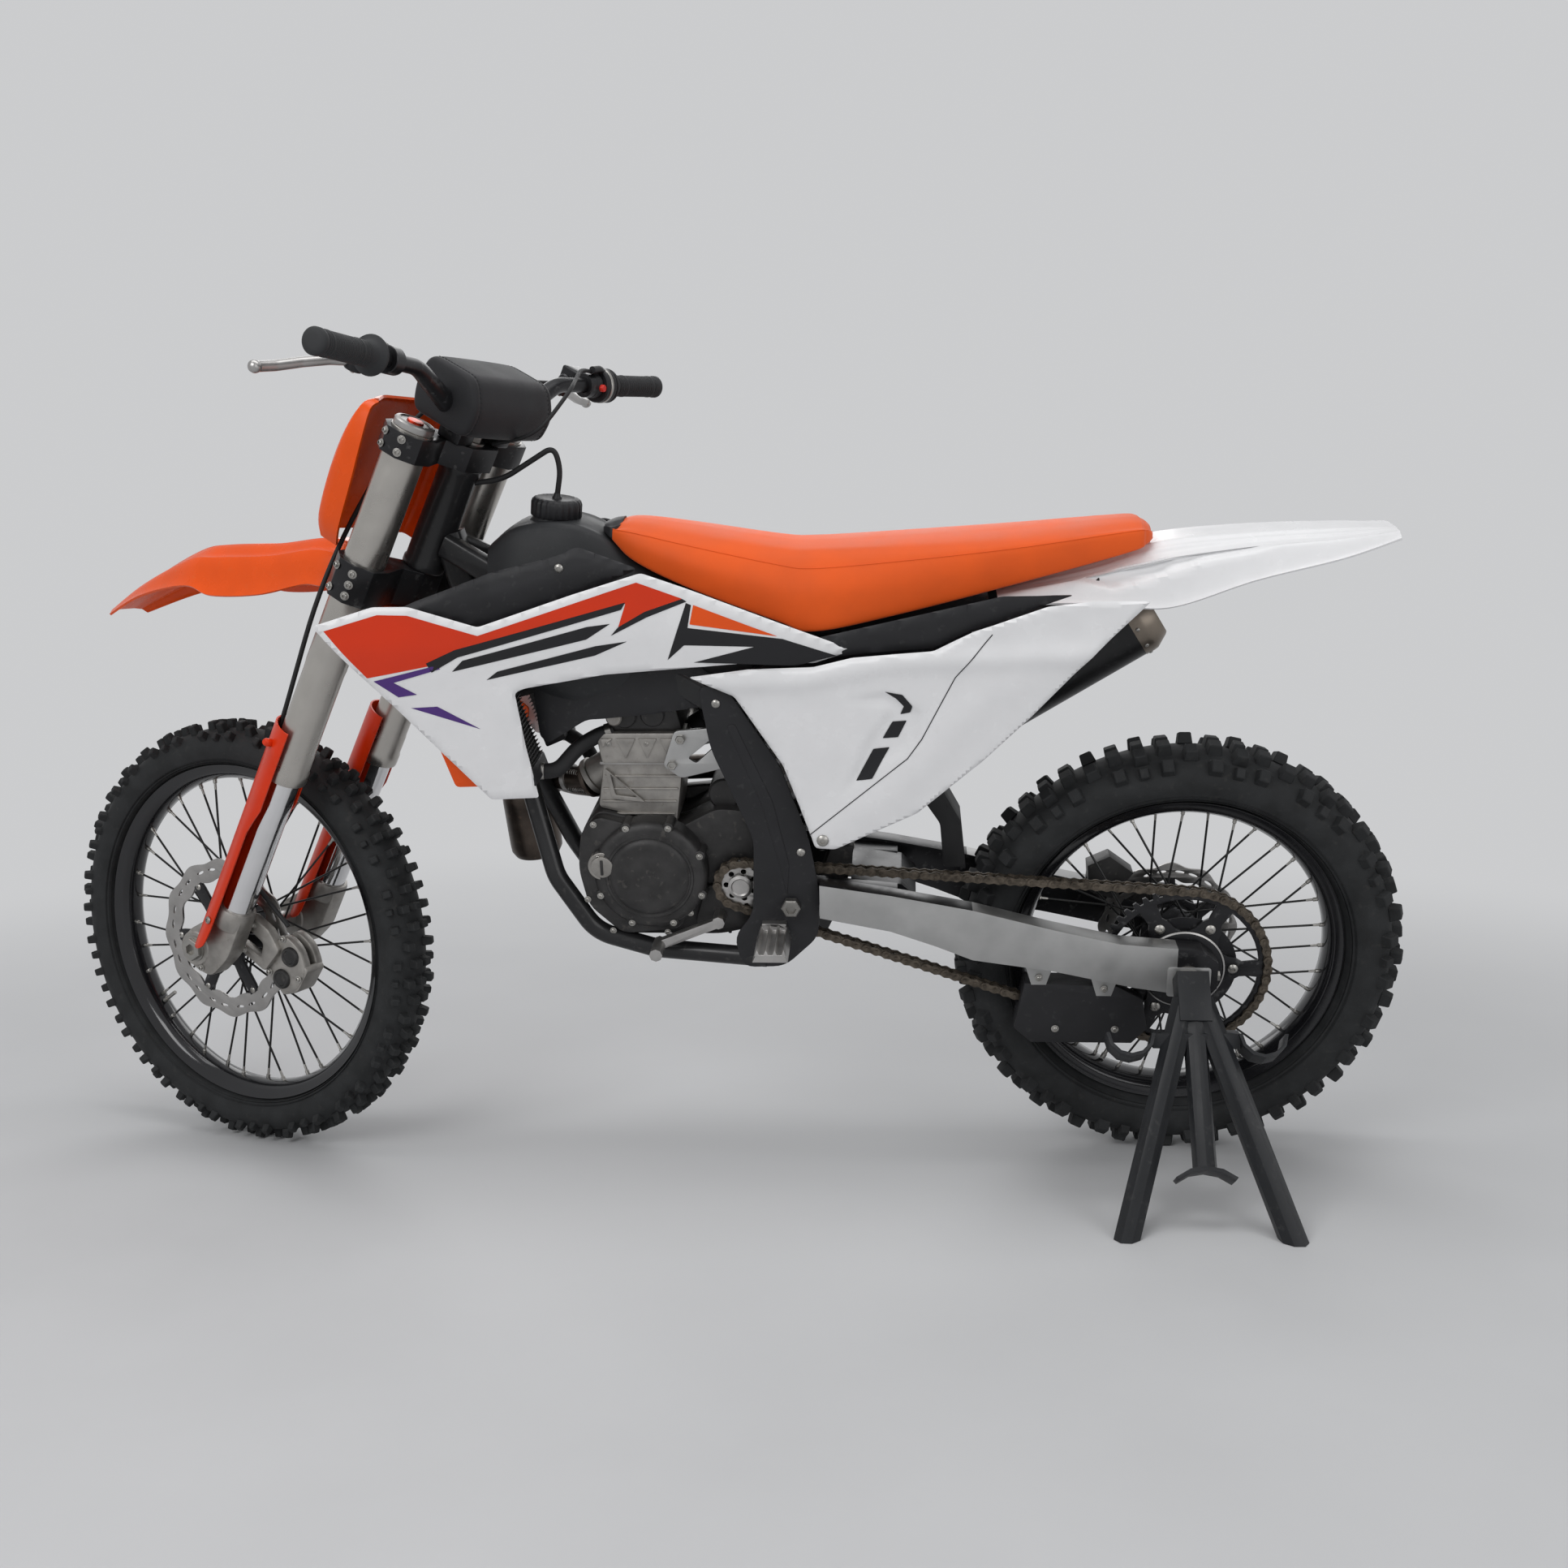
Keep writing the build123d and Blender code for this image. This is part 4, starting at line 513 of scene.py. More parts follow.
def repeatItem(name, item, spots, place, material, angle=35):
    mesh = newMesh(name + "Points", [place @ Vector(spot[0]) for spot in spots], [])
    turn = mesh.attributes.new("turn", "FLOAT_VECTOR", "POINT")
    grow = mesh.attributes.new("grow", "FLOAT_VECTOR", "POINT")
    rotation = place.to_3x3().normalized()
    for index, (_, upward, ahead, scale) in enumerate(spots):
        up = (rotation @ Vector(upward)).normalized()
        front = rotation @ Vector(ahead)
        front = (front - up * front.dot(up)).normalized()
        turn.data[index].vector = Matrix((front, up.cross(front), up)).transposed().to_euler("XYZ")
        grow.data[index].vector = scale
    host = newObject(name, mesh)
    modifier = host.modifiers.new("items", "NODES")
    modifier.node_group = itemsOnPoints
    values = {"Item": item, "Item size": 0.001, "Finish": material}
    for socket in itemsOnPoints.interface.items_tree:
        if socket.in_out == "INPUT" and socket.name in values:
            modifier[socket.identifier] = values[socket.name]
    settle(host, angle)
    host.data.name = name
    for attribute in ("turn", "grow"):
        if attribute in host.data.attributes:
            host.data.attributes.remove(host.data.attributes[attribute])
    return host


def makeItem(name, verts, faces, width=0.0):
    item = newObject(name, newMesh(name, verts, faces))
    tidyNormals(item)
    if width:
        bevel = item.modifiers.new("edges", "BEVEL")
        bevel.width, bevel.segments, bevel.limit_method = width, 1, "ANGLE"
        settle(item)
    return item


def blockItem(name, length, width, height, taper, edge):
    a, b = length / 2, width / 2
    verts = [(x * s, y * s, z) for s, z in ((1, -3), (taper, height)) for x,
        y in ((-a, -b), (a, -b), (a, b), (-a, b))]
    faces = [(0, 3, 2, 1), (4, 5, 6, 7), (0, 1, 5, 4), (1, 2, 6, 5), (2, 3, 7, 6), (3, 0, 4, 7)]
    return makeItem(name, verts, faces, edge)


def turnedItem(name, profile, sides):
    verts = [(x, y, along) for radius, along in profile for x, y in circleOf(radius, sides)]
    rows = len(profile)
    faces = ringFaces(rows, sides, False)
    faces += [tuple(reversed(range(sides))), tuple((rows - 1) * sides + s for s in range(sides))]
    return makeItem(name, verts, faces)


items = {"bolt": turnedItem("boltItem", [(1.0, 0), (1.0, 0.12), (0.62, 0.2), (0.62, 0.62), (0.5, 0.72),
    (0.34, 0.72), (0.3, 0.4)], 12), "button": turnedItem("buttonItem",
    [(1.0, 0), (0.96, 0.2), (0.7, 0.42), (0.42, 0.5), (0.38, 0.25)], 12),
    "hexNut": turnedItem("hexItem", [(1.0, 0), (1.0, 0.75), (0.86, 0.9), (0.55, 0.9), (0.5, 0.6)], 6),
    "pin": turnedItem("pinItem", [(0.9, 0), (1.0, 0.02), (1.0, 0.98), (0.9, 1.0)], 8),}


def mirrored(y, points):  # spots on both sides, facing outwards
    return [((x, side * y, z), (0, side, 0)) for side in (1, -1) for x, z in points]


def bolts(name, kind, spots, size, place, body, slot):
    rows = []
    for where, facing in spots:
        hint = (1, 0, 0) if abs(Vector(facing).normalized().x) < 0.8 else (0, 0, 1)
        rows.append((where, facing, hint, (size, size, size)))
    return use(repeatItem(name, items[kind], rows, place, boltSteel), body, slot)


print("tools ready")


# Tyres.
tyreSizes = {
    "front": dict(radius=347.0, width=84.0, seat=266.7, rim=52.0, rows=72, knob=17.0, height=13.0, side=15.0),
    "rear": dict(radius=341.5, width=116.0, seat=241.3, rim=66.0, rows=56, knob=26.0, height=15.0, side=24.0),
}


def buildTyre(label, place, body):
    size = tyreSizes[label]
    half, crown = size["width"] / 2, size["radius"] - size["height"]
    foot, seat = size["rim"] / 2 - 5, size["seat"]
    depth = crown - seat
    side = [(seat + 1, foot - 4), (seat + 3, foot), (seat + 12, foot + 1.5),
        (seat + depth * 0.22, half * 0.8), (seat + depth * 0.4, half * 0.93),
        (seat + depth * 0.58, half * 0.965), (seat + depth * 0.74, half * 0.9),
        (seat + depth * 0.86, half * 0.76), (crown - 4, half * 0.52), (crown - 0.5, half * 0.22)]
    profile = [(r, -y) for r, y in side] + [(crown, 0)] + [(r, y) for r, y in reversed(side)]
    parts = [turnedPiece(label + "Carcass", profile + profile[:1], place, rubberTyre, 120)]
    for r, y in ((seat + depth * 0.2, half * 0.8), (seat + depth * 0.27, half * 0.86)):
        for sign in (1, -1):
            bead = [(r - 1.2, sign * (y - 2)), (r, sign * (y + 1.6)), (r + 1.2, sign * (y - 2))]
            parts.append(turnedPiece(label + "Ring", bead + bead[:1], place, rubberTyre, 96))
    centre, between, edge = [], [], []
    knob, rows = size["knob"], size["rows"]
    for row in range(rows):
        angle = 360 * row / rows
        x, z = polar(1, angle)
        ahead = (-z, 0, x)

        def knobAt(radius, y, tilt, scale, store):
            tip = math.radians(tilt)
            up = (x * math.cos(tip), math.sin(tip), z * math.cos(tip))
            store.append(((x * radius, y, z * radius), up, ahead, scale))

        if row % 2:
            for sign in (1, -1):
                knobAt(crown - 1, sign * half * 0.22, sign * 8, (1, 1, 1), centre)
                knobAt(crown - depth * 0.19, sign * half * 0.8, sign * 50, (0.95, 1.0, 1), edge)
        else:
            for sign in (1, -1):
                knobAt(crown - 2.5, sign * half * 0.5, sign * 22, (1, 1, 1), between)
                if row % 4 == 0:
                    knobAt(crown - depth * 0.22, sign * half * 0.84, sign * 56, (0.72, 0.8, 0.8), edge)
            if row % 4 == 0:
                knobAt(crown, 0, 0, (0.9, 0.9, 1), centre)
    height = size["height"]
    for word, kind, store, wide, tall, taper in (("A", "CentreKnob", centre, knob, height, 0.82),
            ("B", "BetweenKnob", between, knob * 0.92, height, 0.8),
            ("C", "EdgeKnob", edge, size["side"], height * 0.95, 0.78)):
        item = blockItem(label + kind, knob * 0.86, wide, tall, taper, 1.4)
        parts.append(repeatItem(label + "Knobs" + word, item, store, place, rubberTyre, 30))
        bpy.data.objects.remove(item)
    useAs(joined(label + "Tyre", parts, 30), body, label + "_tyre")


buildTyre("front", frontPlace, "front_wheel")
buildTyre("rear", rearPlace, "rear_wheel")
print("tyres ready")


# Rims, hubs and spokes.
wheelSizes = {
    "front": dict(seat=266.7, rim=52.0, hub=30.0, hubWidth=76.0, spokes=36, axle=26.0),
    "rear": dict(seat=241.3, rim=66.0, hub=41.0, hubWidth=84.0, spokes=36, axle=25.0),
}


def buildWheel(label, place, body):
    size = wheelSizes[label]
    seat, half = size["seat"], size["rim"] / 2
    well, lip = seat - 13, seat + 10
    outside = [(lip, -half), (seat + 2, -half + 4.5), (seat, -half + 7), (seat - 4, -half * 0.45),
        (seat - 4, half * 0.45), (seat, half - 7), (seat + 2, half - 4.5), (lip, half)]
    inside = [(lip - 0.5, half + 0.8), (lip - 3, half - 0.4), (seat - 2, half - 2.2), (seat - 6, half - 5),
        (well - 0.5, half * 0.42), (well - 2, 0), (well - 0.5, -half * 0.42), (seat - 6, -half + 5),
        (seat - 2, -half + 2.2), (lip - 3, -half + 0.4), (lip - 0.5, -half - 0.8)]
    rim = turnedPiece(label + "Rim", outside + inside + outside[:1], place, rimBlack, 144)
    useAs(rim, body, label + "_rim")
    hubHalf, hub = size["hubWidth"] / 2, size["hub"]
    flange, barrel, bore = hub + 7, hub * 0.72, size["axle"] / 2 + 0.6
    section = [(bore, hubHalf), (hub - 4, hubHalf), (hub + 2, hubHalf - 1), (flange, hubHalf - 5),
        (flange, hubHalf - 10), (flange - 3, hubHalf - 12), (barrel + 3, hubHalf - 17),
        (barrel, hubHalf - 24)]
    profile = section + [(r, -y) for r, y in reversed(section)] + section[:1]
    shell = turnedPiece(label + "HubShell", profile, place, anodBlack, 60)
    spokes, nipples, heads = [], [], []
    tip = well - 1.2
    for index in range(size["spokes"]):
        side = 1 if index % 2 else -1
        sweep = 50 if (index // 2) % 2 else -50
        rimAngle = 360 * index / size["spokes"]
        head = hubHalf - 8 + (3 if sweep > 0 else -3)
        hx, hz = polar(flange - 4, rimAngle + sweep)
        tx, tz = polar(tip, rimAngle)
        start, end = Vector((hx, side * head, hz)), Vector((tx, side * 5, tz))
        run = end - start
        hint = (0, 1, 0)
        spokes.append((start, run, hint, (1.75, 1.75, run.length)))
        nipples.append((end - run.normalized() * 17, run, hint, (3.2, 3.2, 18)))
        heads.append((start - Vector((0, side * 1.5, 0)), (0, side, 0), (1, 0, 0), (3.2, 3.2, 3.2)))
    parts = [shell, repeatItem(label + "Spokes", items["pin"], spokes, place, spokeBlack),
        repeatItem(label + "SpokeHeads", items["button"], heads, place, spokeBlack)]
    useAs(joined(label + "Hub", parts), body, label + "_hub")
    nippleItem = turnedItem("nippleItem", [(0.55, 0), (0.62, 0.1), (0.66, 0.55), (1.0, 0.6), (1.0, 1.0)], 8)
    use(repeatItem(label + "Nipples", nippleItem, nipples, place, boltSteel), body, label + "_hub")
    bpy.data.objects.remove(nippleItem)
    valve = turnedPiece(label + "Valve", [(3.2, -30), (3.2, -8), (4.4, -8), (4.4, 0), (2.6, 0)],
        place @ Matrix.Rotation(math.radians(63), 4, "Y"), boltSteel, 12, axis="x", centre=(well - 4, 0, 0))
    use(valve, body, label + "_rim")


buildWheel("front", frontPlace, "front_wheel")
buildWheel("rear", rearPlace, "rear_wheel")


# Brake discs.
discSizes = {
    "front": dict(outer=130.0, inner=98.0, place=56.0, carrier=30.0, hubFace=38.0, waves=12, arms=6),
    "rear": dict(outer=110.0, inner=84.0, place=-70.0, carrier=41.0, hubFace=-42.0, waves=12, arms=6),
}


def ellipseHole(radius, angle, length, width, steps=12):
    cx, cz = polar(radius, angle)
    (tx, tz), (ox, oz) = polar(1, angle + 90), polar(1, angle)
    out = []
    for u, v in circleOf(0.5, steps):
        out.append((cx + u * length * tx + v * width * ox, cz + u * length * tz + v * width * oz))
    return out


def buildDisc(label, place, body):
    size = discSizes[label]
    outer, inner, waves, arms = size["outer"], size["inner"], size["waves"], size["arms"]
    rim, hole = [], []
    for step in range(waves * 12):
        angle = 360 * step / (waves * 12)
        wave = math.cos(math.radians(angle * waves))
        rim.append(polar(outer - 3.2 + 3.2 * wave, angle))
        hole.append(polar(inner - 2.5 + 3.0 * wave, angle))
    slots = []
    for wave in range(waves):
        angle = 360 * (wave + 0.5) / waves
        middle = (outer + inner) / 2 - 1.5
        slots += [ellipseHole(middle, angle + shift, 15, 4.4) for shift in (-6.5, 6.5)]
    low, high = size["place"] - 2, size["place"] + 2
    ring = cutPlate(label + "DiscRing", [rim, hole, *slots], low, high, 0.4, place, discSteel)
    star = []
    carrier = size["carrier"] + 12
    for arm in range(arms):
        middle = 360 * (arm + 0.5) / arms
        for radius, shift in ((carrier, -24), (carrier + 4, -13), (inner - 9, -6.5), (inner + 1, -5),
                (inner + 1, 5), (inner - 9, 6.5), (carrier + 4, 13), (carrier, 24)):
            star.append(polar(radius, middle + shift))
    bore = polarRing(size["carrier"] - 8, 40)
    spider = cutPlate(label + "DiscCarrier", [star, bore], low - 0.6, high + 0.6, 0.8, place, anodBlack)
    face = size["hubFace"]
    seatLow, seatHigh = sorted((size["place"] - math.copysign(2, face), face))
    near, far = size["carrier"] - 8, size["carrier"] + 2
    profile = [(near, seatLow), (far, seatLow), (far, seatHigh), (near, seatHigh), (near, seatLow)]
    ringSeat = turnedPiece(label + "DiscSeat", profile, place, anodBlack, 48)
    useAs(joined(label + "Disc", [ring, spider, ringSeat]), body, label + "_disc")
    facing = math.copysign(1, face)
    spots = []
    for arm in range(arms):
        for radius in (inner - 4, size["carrier"] + 3):
            x, z = polar(radius, 360 * (arm + 0.5) / arms)
            spots.append(((x, size["place"] + facing * 2.4, z), (0, facing, 0)))
    bolts(label + "DiscBolts", "button", spots, 5.0, place, body, label + "_disc")


buildDisc("front", frontPlace, "front_wheel")
buildDisc("rear", rearPlace, "rear_wheel")


# Sprockets and chain.
drive = dict(pitch=15.875, line=77.0, frontTeeth=14, rearTeeth=50, shaft=(666.0, 475.0), bolts=6,
    boltCircle=150.0)


def toothed(teeth, bite=4.4, tip=4.0, steps=6):
    pitchRadius = drive["pitch"] / 2 / math.sin(math.pi / teeth)
    edge = []
    for tooth in range(teeth):
        for step in range(steps):
            share = step / steps
            swing = math.cos(2 * math.pi * share)
            rise = tip if swing < -0.5 else (-bite if swing > 0.5 else (-bite + (tip + bite) * (0.5 - swing)))
            edge.append(polar(pitchRadius + rise, 360 * (tooth + share) / teeth))
    return edge, pitchRadius


def buildSprockets():
    edge, pitchRadius = toothed(drive["rearTeeth"])
    windows = []
    boltRadius = drive["boltCircle"] / 2
    for window in range(drive["bolts"]):
        middle = 60 * (window + 0.5)
        shape = [polar(pitchRadius - 13, middle + shift) for shift in (-23, -16, -8, 0, 8, 16, 23)]
        near = [(14, 23), (4, 17), (-6, 13), (-12, 6)]
        near += [(out, -turn) for out, turn in reversed(near)]
        windows.append(shape + [polar(boltRadius + out, middle + turn) for out, turn in near])
    bore = polarRing(36, 48)
    low, high = drive["line"] - 3, drive["line"] + 3
    plate = cutPlate("rearSprocketPlate", [edge, *windows, bore], low, high, 0.8, rearPlace, anodBlack)
    carrier = turnedPiece("sprocketCarrier", [(36, 42), (56, 42), (56, 70), (82, 73.5), (82, 74), (36, 74),
        (36, 42)], rearPlace, anodBlack, 48)
    useAs(joined("rearSprocket", [plate, carrier]), "rear_wheel", "rear_sprocket")
    spots = [((x, high, z), (0, 1, 0)) for x, z in polarRing(boltRadius, drive["bolts"])]
    bolts("sprocketBolts", "button", spots, 8.0, rearPlace, "rear_wheel", "rear_sprocket")
    edge, pitchRadius = toothed(drive["frontTeeth"])
    x, z = drive["shaft"]
    holes = [[(px + hx, pz + hz) for px, pz in polarRing(4.2, 12)] for hx, hz in polarRing(22, 7)]
    place = bikePlace @ Matrix.Translation((x, 0, z))
    plate = cutPlate("frontSprocketPlate", [edge, *holes], low, high, 0.7, place, steelPlain)
    shaft = turnedPiece("outputShaft", [(16, 64), (16, 83), (18.5, 83), (18.5, 88), (14, 90), (12, 88),
        (6, 88)], place, steelPlain, 36)
    useAs(joined("frontSprocket", [plate, shaft]), "chassis", "front_sprocket")


buildSprockets()


def chainLine():
    teeth = drive["frontTeeth"], drive["rearTeeth"]
    small, big = (drive["pitch"] / 2 / math.sin(math.pi / t) for t in teeth)
    x, z = drive["shaft"]
    dz = z - rearRadius
    span, slope = math.hypot(x, dz), math.atan2(dz, x)
    touch = math.acos((big - small) / span)
    path = []
    for step in range(97):
        angle = slope + touch + (2 * math.pi - 2 * touch) * step / 96
        path.append((big * math.cos(angle), rearRadius + big * math.sin(angle)))
    for step in range(41):
        angle = slope - touch + 2 * touch * step / 40
        path.append((x + small * math.cos(angle), z + small * math.sin(angle)))
    return path


def buildChain():
    path = chainLine()
    lengths = [0.0]
    for (x0, z0), (x1, z1) in zip(path, path[1:] + path[:1]):
        lengths.append(lengths[-1] + math.hypot(x1 - x0, z1 - z0))
    total = lengths[-1]
    half = drive["pitch"] / 2
    links = round(total / drive["pitch"] / 2) * 2

    def at(distance):
        distance %= total
        index = max(i for i, l in enumerate(lengths) if l <= distance + 1e-9)
        index = min(index, len(path) - 1)
        (x0, z0), (x1, z1) = path[index], path[(index + 1) % len(path)]
        part = (distance - lengths[index]) / max(1e-9, lengths[index + 1] - lengths[index])
        return Vector((x0 + (x1 - x0) * part, 0, z0 + (z1 - z0) * part))

    def plateShape(height, waist):
        shape = []
        for end in (1, -1):
            for step in range(7):
                x, z = polar(height / 2, 30 * step - 90 * end)
                shape.append((end * half + x, z))
            shape.append((0, end * waist / 2))
        return shape

    def linkItem(name, inner, outer, height, waist, pinRadius, pinHalf):
        verts, faces = [], []
        rods = [(inner, outer, plateShape(height, waist)), (-outer, -inner, plateShape(height, waist))]
        rods += [(-pinHalf, pinHalf, [(end + x, z) for x, z in circleOf(pinRadius, 8)])
            for end in (-half, half)]
        for low, high, shape in rods:
            base, n = len(verts), len(shape)
            verts += [(x, y, z) for y in (low, high) for x, z in shape]
            faces += [tuple(base + i for i in range(n)), tuple(base + n + i for i in reversed(range(n)))]
            faces += [(base + i, base + (i + 1) % n, base + n + (i + 1) % n, base + n + i) for i in range(n)]
        return makeItem(name, verts, faces)

    outerLink = linkItem("outerLink", 5.7, 7.7, 13.5, 9.5, 2.6, 8.9)
    innerLink = linkItem("innerLink", 3.4, 5.5, 14.6, 10.5, 5.0, 3.3)
    outers, inners = [], []
    for link in range(links):
        start, end = at(total * link / links), at(total * (link + 1) / links)
        middle = (start + end) / 2 + Vector((0, drive["line"], 0))
        run = end - start
        up = Vector((0, 1, 0)).cross(run) * -1
        (outers if link % 2 else inners).append((middle, up, run, (1, 1, 1)))
    parts = [repeatItem("outerLinks", outerLink, outers, bikePlace, chainSteel),
        repeatItem("innerLinks", innerLink, inners, bikePlace, chainSteel)]
    bpy.data.objects.remove(outerLink)
    bpy.data.objects.remove(innerLink)
    useAs(joined("driveChain", parts), "chassis", "chain")


buildChain()
print("wheels and drive ready")

# Body panels: sheets that follow a plan view, with rolled edges.
panelPlans = {
    "shroud": [(1260, 196), (1160, 184), (1010, 170), (900, 156), (720, 132), (480, 122)],
    "cover": [(1160, 174), (1060, 158), (1000, 138), (880, 122), (780, 116)],
    "left": [(740, 122), (650, 130), (560, 136), (440, 142), (300, 150), (160, 146), (60, 126)],
    "right": [(740, 122), (650, 138), (560, 152), (440, 152), (300, 154), (160, 152), (60, 130)],
}


def edgeDistance(point, outline):
    best = 1e9
    px, pz = point
    for (x0, z0), (x1, z1) in zip(outline, outline[1:] + outline[:1]):
        dx, dz = x1 - x0, z1 - z0
        t = max(0, min(1, ((px - x0) * dx + (pz - z0) * dz) / max(1e-9, dx * dx + dz * dz)))
        best = min(best, math.hypot(px - x0 - t * dx, pz - z0 - t * dz))
    return best


def insideOf(point, outline):
    px, pz = point
    inside = False
    for (x0, z0), (x1, z1) in zip(outline, outline[1:] + outline[:1]):
        if (z0 > pz) != (z1 > pz) and px < (x1 - x0) * (pz - z0) / (z1 - z0) + x0:
            inside = not inside
    return inside


def roundedOutline(outline, radius, steps=4):
    out = []
    count = len(outline)
    for index in range(count):
        here = Vector(outline[index])
        back, on = Vector(outline[index - 1]) - here, Vector(outline[(index + 1) % count]) - here
        reach = min(radius, back.length * 0.4, on.length * 0.4)
        start, end = here + back.normalized() * reach, here + on.normalized() * reach
        for step in range(steps + 1):
            t = step / steps
            point = start.lerp(here, t).lerp(here.lerp(end, t), t)
            out.append((point.x, point.y))
    return out


def panelSheet(name, outline, surface, material, side=1, wall=2.6, step=8.0, roll=4.0, corner=5.0, lift=0.0):
    outline = roundedOutline(outline, corner, 3) if corner else list(outline)
    work = bmesh.new()
    work.faces.new([work.verts.new((x, 0, z)) for x, z in outline])
    if roll:
        for inset in (1.2, 1.8):
            inner = [face for face in work.faces if len(face.verts) == len(outline)]
            bmesh.ops.inset_region(work, faces=inner[:1], thickness=inset, use_even_offset=False)
    xs, zs = [p[0] for p in outline], [p[1] for p in outline]
    for axis, low, high in ((Vector((1, 0, 0)), min(xs), max(xs)), (Vector((0, 0, 1)), min(zs), max(zs))):
        count = int((high - low) / step)
        for cut in range(1, count + 1):
            at = axis * (low + (high - low) * cut / (count + 1))
            bmesh.ops.bisect_plane(work, geom=work.verts[:] + work.edges[:] + work.faces[:], plane_co=at,
                plane_no=axis)
    bmesh.ops.triangulate(work, faces=[face for face in work.faces if len(face.verts) > 4])
    for vert in work.verts:
        x, z = vert.co.x, vert.co.z
        y = surface(x, z) + lift
        if roll:
            gap = edgeDistance((x, z), outline)
            if gap < roll:
                y -= roll - math.sqrt(max(0.0, roll * roll - (roll - gap) ** 2))
        vert.co.y = side * y
    mesh = bpy.data.meshes.new(name)
    bmesh.ops.recalc_face_normals(work, faces=work.faces)
    outward = sum((face.normal.y * face.calc_area() for face in work.faces))
    if outward * side < 0:
        bmesh.ops.reverse_faces(work, faces=work.faces)
    work.to_mesh(mesh)
    work.free()
    mesh.transform(bikePlace)
    mesh.materials.append(material)
    piece = newObject(name, mesh)
    if wall:
        return thickened(piece, wall, 40)
    shade(piece, 40)
    return piece


def smoothStep(low, high, value):
    t = max(0.0, min(1.0, (value - low) / (high - low)))
    return t * t * (3 - 2 * t)


shroud = dict(outline=[(1236, 908), (1152, 932), (1104, 931), (1010, 900), (880, 940), (784, 967), (490, 852),
    (547, 833), (608, 837), (721, 829), (841, 824), (955, 808), (968, 802), (960, 722), (948, 640),
    (1016, 640), (1092, 732), (1168, 824)], red=[(1219, 902), (1145, 922), (1104, 920), (1010, 889),
    (880, 928), (790, 955), (728, 930), (780, 914), (817, 894), (806, 926), (1043, 868), (1078, 848),
    (1167, 833)], line=[(1084, 852), (1043, 870), (806, 928), (812, 918), (1040, 859), (1078, 838)],
    flag=[(817, 894), (780, 914), (728, 930), (722, 926), (778, 906), (828, 882)],
    triangle=[(713, 921), (597, 875), (719, 894)], rear=[(752, 843), (723, 924), (716, 921), (722, 889),
    (590, 871), (515, 845), (572, 831), (716, 838), (630, 860), (728, 864)],
    purpleOne=[(1159, 828), (1076, 847), (1065, 843), (1132, 825), (1102, 806), (1128, 803)],
    purpleTwo=[(1113, 786), (1076, 787), (1019, 751)], stripe=[(1050, 838), (1034, 854), (860, 896),
    (828, 899), (862, 878)], underStripe=[(1004, 824), (988, 836), (850, 868), (806, 873), (852, 854)],
    louvre=[(1100, 752), (1072, 652), (1026, 652), (1018, 690)],)


def shroudSurface(x, z):
    y = interpolate(panelPlans["shroud"], x)
    y += 5.0 * math.sin(math.pi * smoothStep(805, 960, z))
    y -= 0.06 * max(0.0, 800 - z)
    y += 4.0 * smoothStep(1010, 1150, x) * smoothStep(905, 860, z) * smoothStep(780, 840, z)
    return y - 4.0


def buildShrouds():
    for side, word in ((1, "Left"), (-1, "Right")):
        sheets = [panelSheet("shroudShell", shroud["outline"], shroudSurface, plasticWhite, side)]
        for key, material, level in (("red", decalRed, 1), ("line", decalBlack, 2), ("flag", decalBlack, 2),
                ("rear", decalBlack, 1), ("triangle", decalOrange, 2), ("purpleOne", decalPurple, 2),
                ("purpleTwo", decalPurple, 1), ("stripe", decalBlack, 1), ("underStripe", decalBlack, 1)):
            sheets.append(panelSheet("shroud" + key, shroud[key], shroudSurface, material, side, 0, 8, 0, 0.8,
                0.2 + 0.25 * level))
        useAs(joined("shroud" + word, sheets, 40), "chassis", "shrouds")
        louvre = panelSheet("coolerLouvre" + word, shroud["louvre"], lambda x, z: shroudSurface(x, z) - 26,
            plasticOrange, side, 3, 12, 3, 6)
        use(louvre, "chassis", "shrouds")


buildShrouds()

cover = dict(outline=[(1150, 912), (1100, 934), (994, 968), (902, 988), (876, 1000), (790, 968), (880, 930),
    (1010, 890), (1104, 920)])


def coverSurface(x, z):
    y = interpolate(panelPlans["cover"], x)
    ridge = interpolate([(1150, 915), (1000, 935), (880, 965), (790, 966)], x)
    return y - 0.25 * max(0.0, z - ridge) - 1


def buildCovers():
    for side, word in ((1, "Left"), (-1, "Right")):
        piece = panelSheet("tankCover" + word, cover["outline"], coverSurface, plasticBlack, side, 3, 8, 4,
            10)
        useAs(piece, "chassis", "tank_covers")
        spot = (900, side * (coverSurface(900, 972) + 0.2), 972)
        bolts("coverBolt" + word, "button", [(spot, (0, side, 0))], 6.5, bikePlace, "chassis", "tank_covers")


buildCovers()

sidePanel = dict(outline=[(726, 812), (662, 784), (594, 683), (555, 576), (549, 558), (520, 556), (402, 614),
    (310, 695), (243, 761), (157, 855), (84, 921), (160, 925), (225, 918), (324, 884), (380, 856), (436, 851),
    (493, 845), (548, 831), (640, 826)], slots=[[(448, 797), (423, 793), (409, 776), (412, 766), (426, 763),
    (421, 775), (432, 787)], [(437, 752), (417, 754), (429, 729), (451, 727)],
    [(464, 711), (441, 714), (466, 668), (489, 663)]], seam=[(300, 881), (350, 819), (396, 728), (416, 699),
    (557, 580)], recess=[(523, 782), (446, 801), (389, 770), (396, 721), (515, 630), (500, 676), (483, 719),
    (449, 769)], band=[(596, 864), (543, 869), (287, 930), (190, 930), (225, 918), (324, 884), (380, 856),
    (436, 851), (493, 845), (548, 838), (590, 846)],)


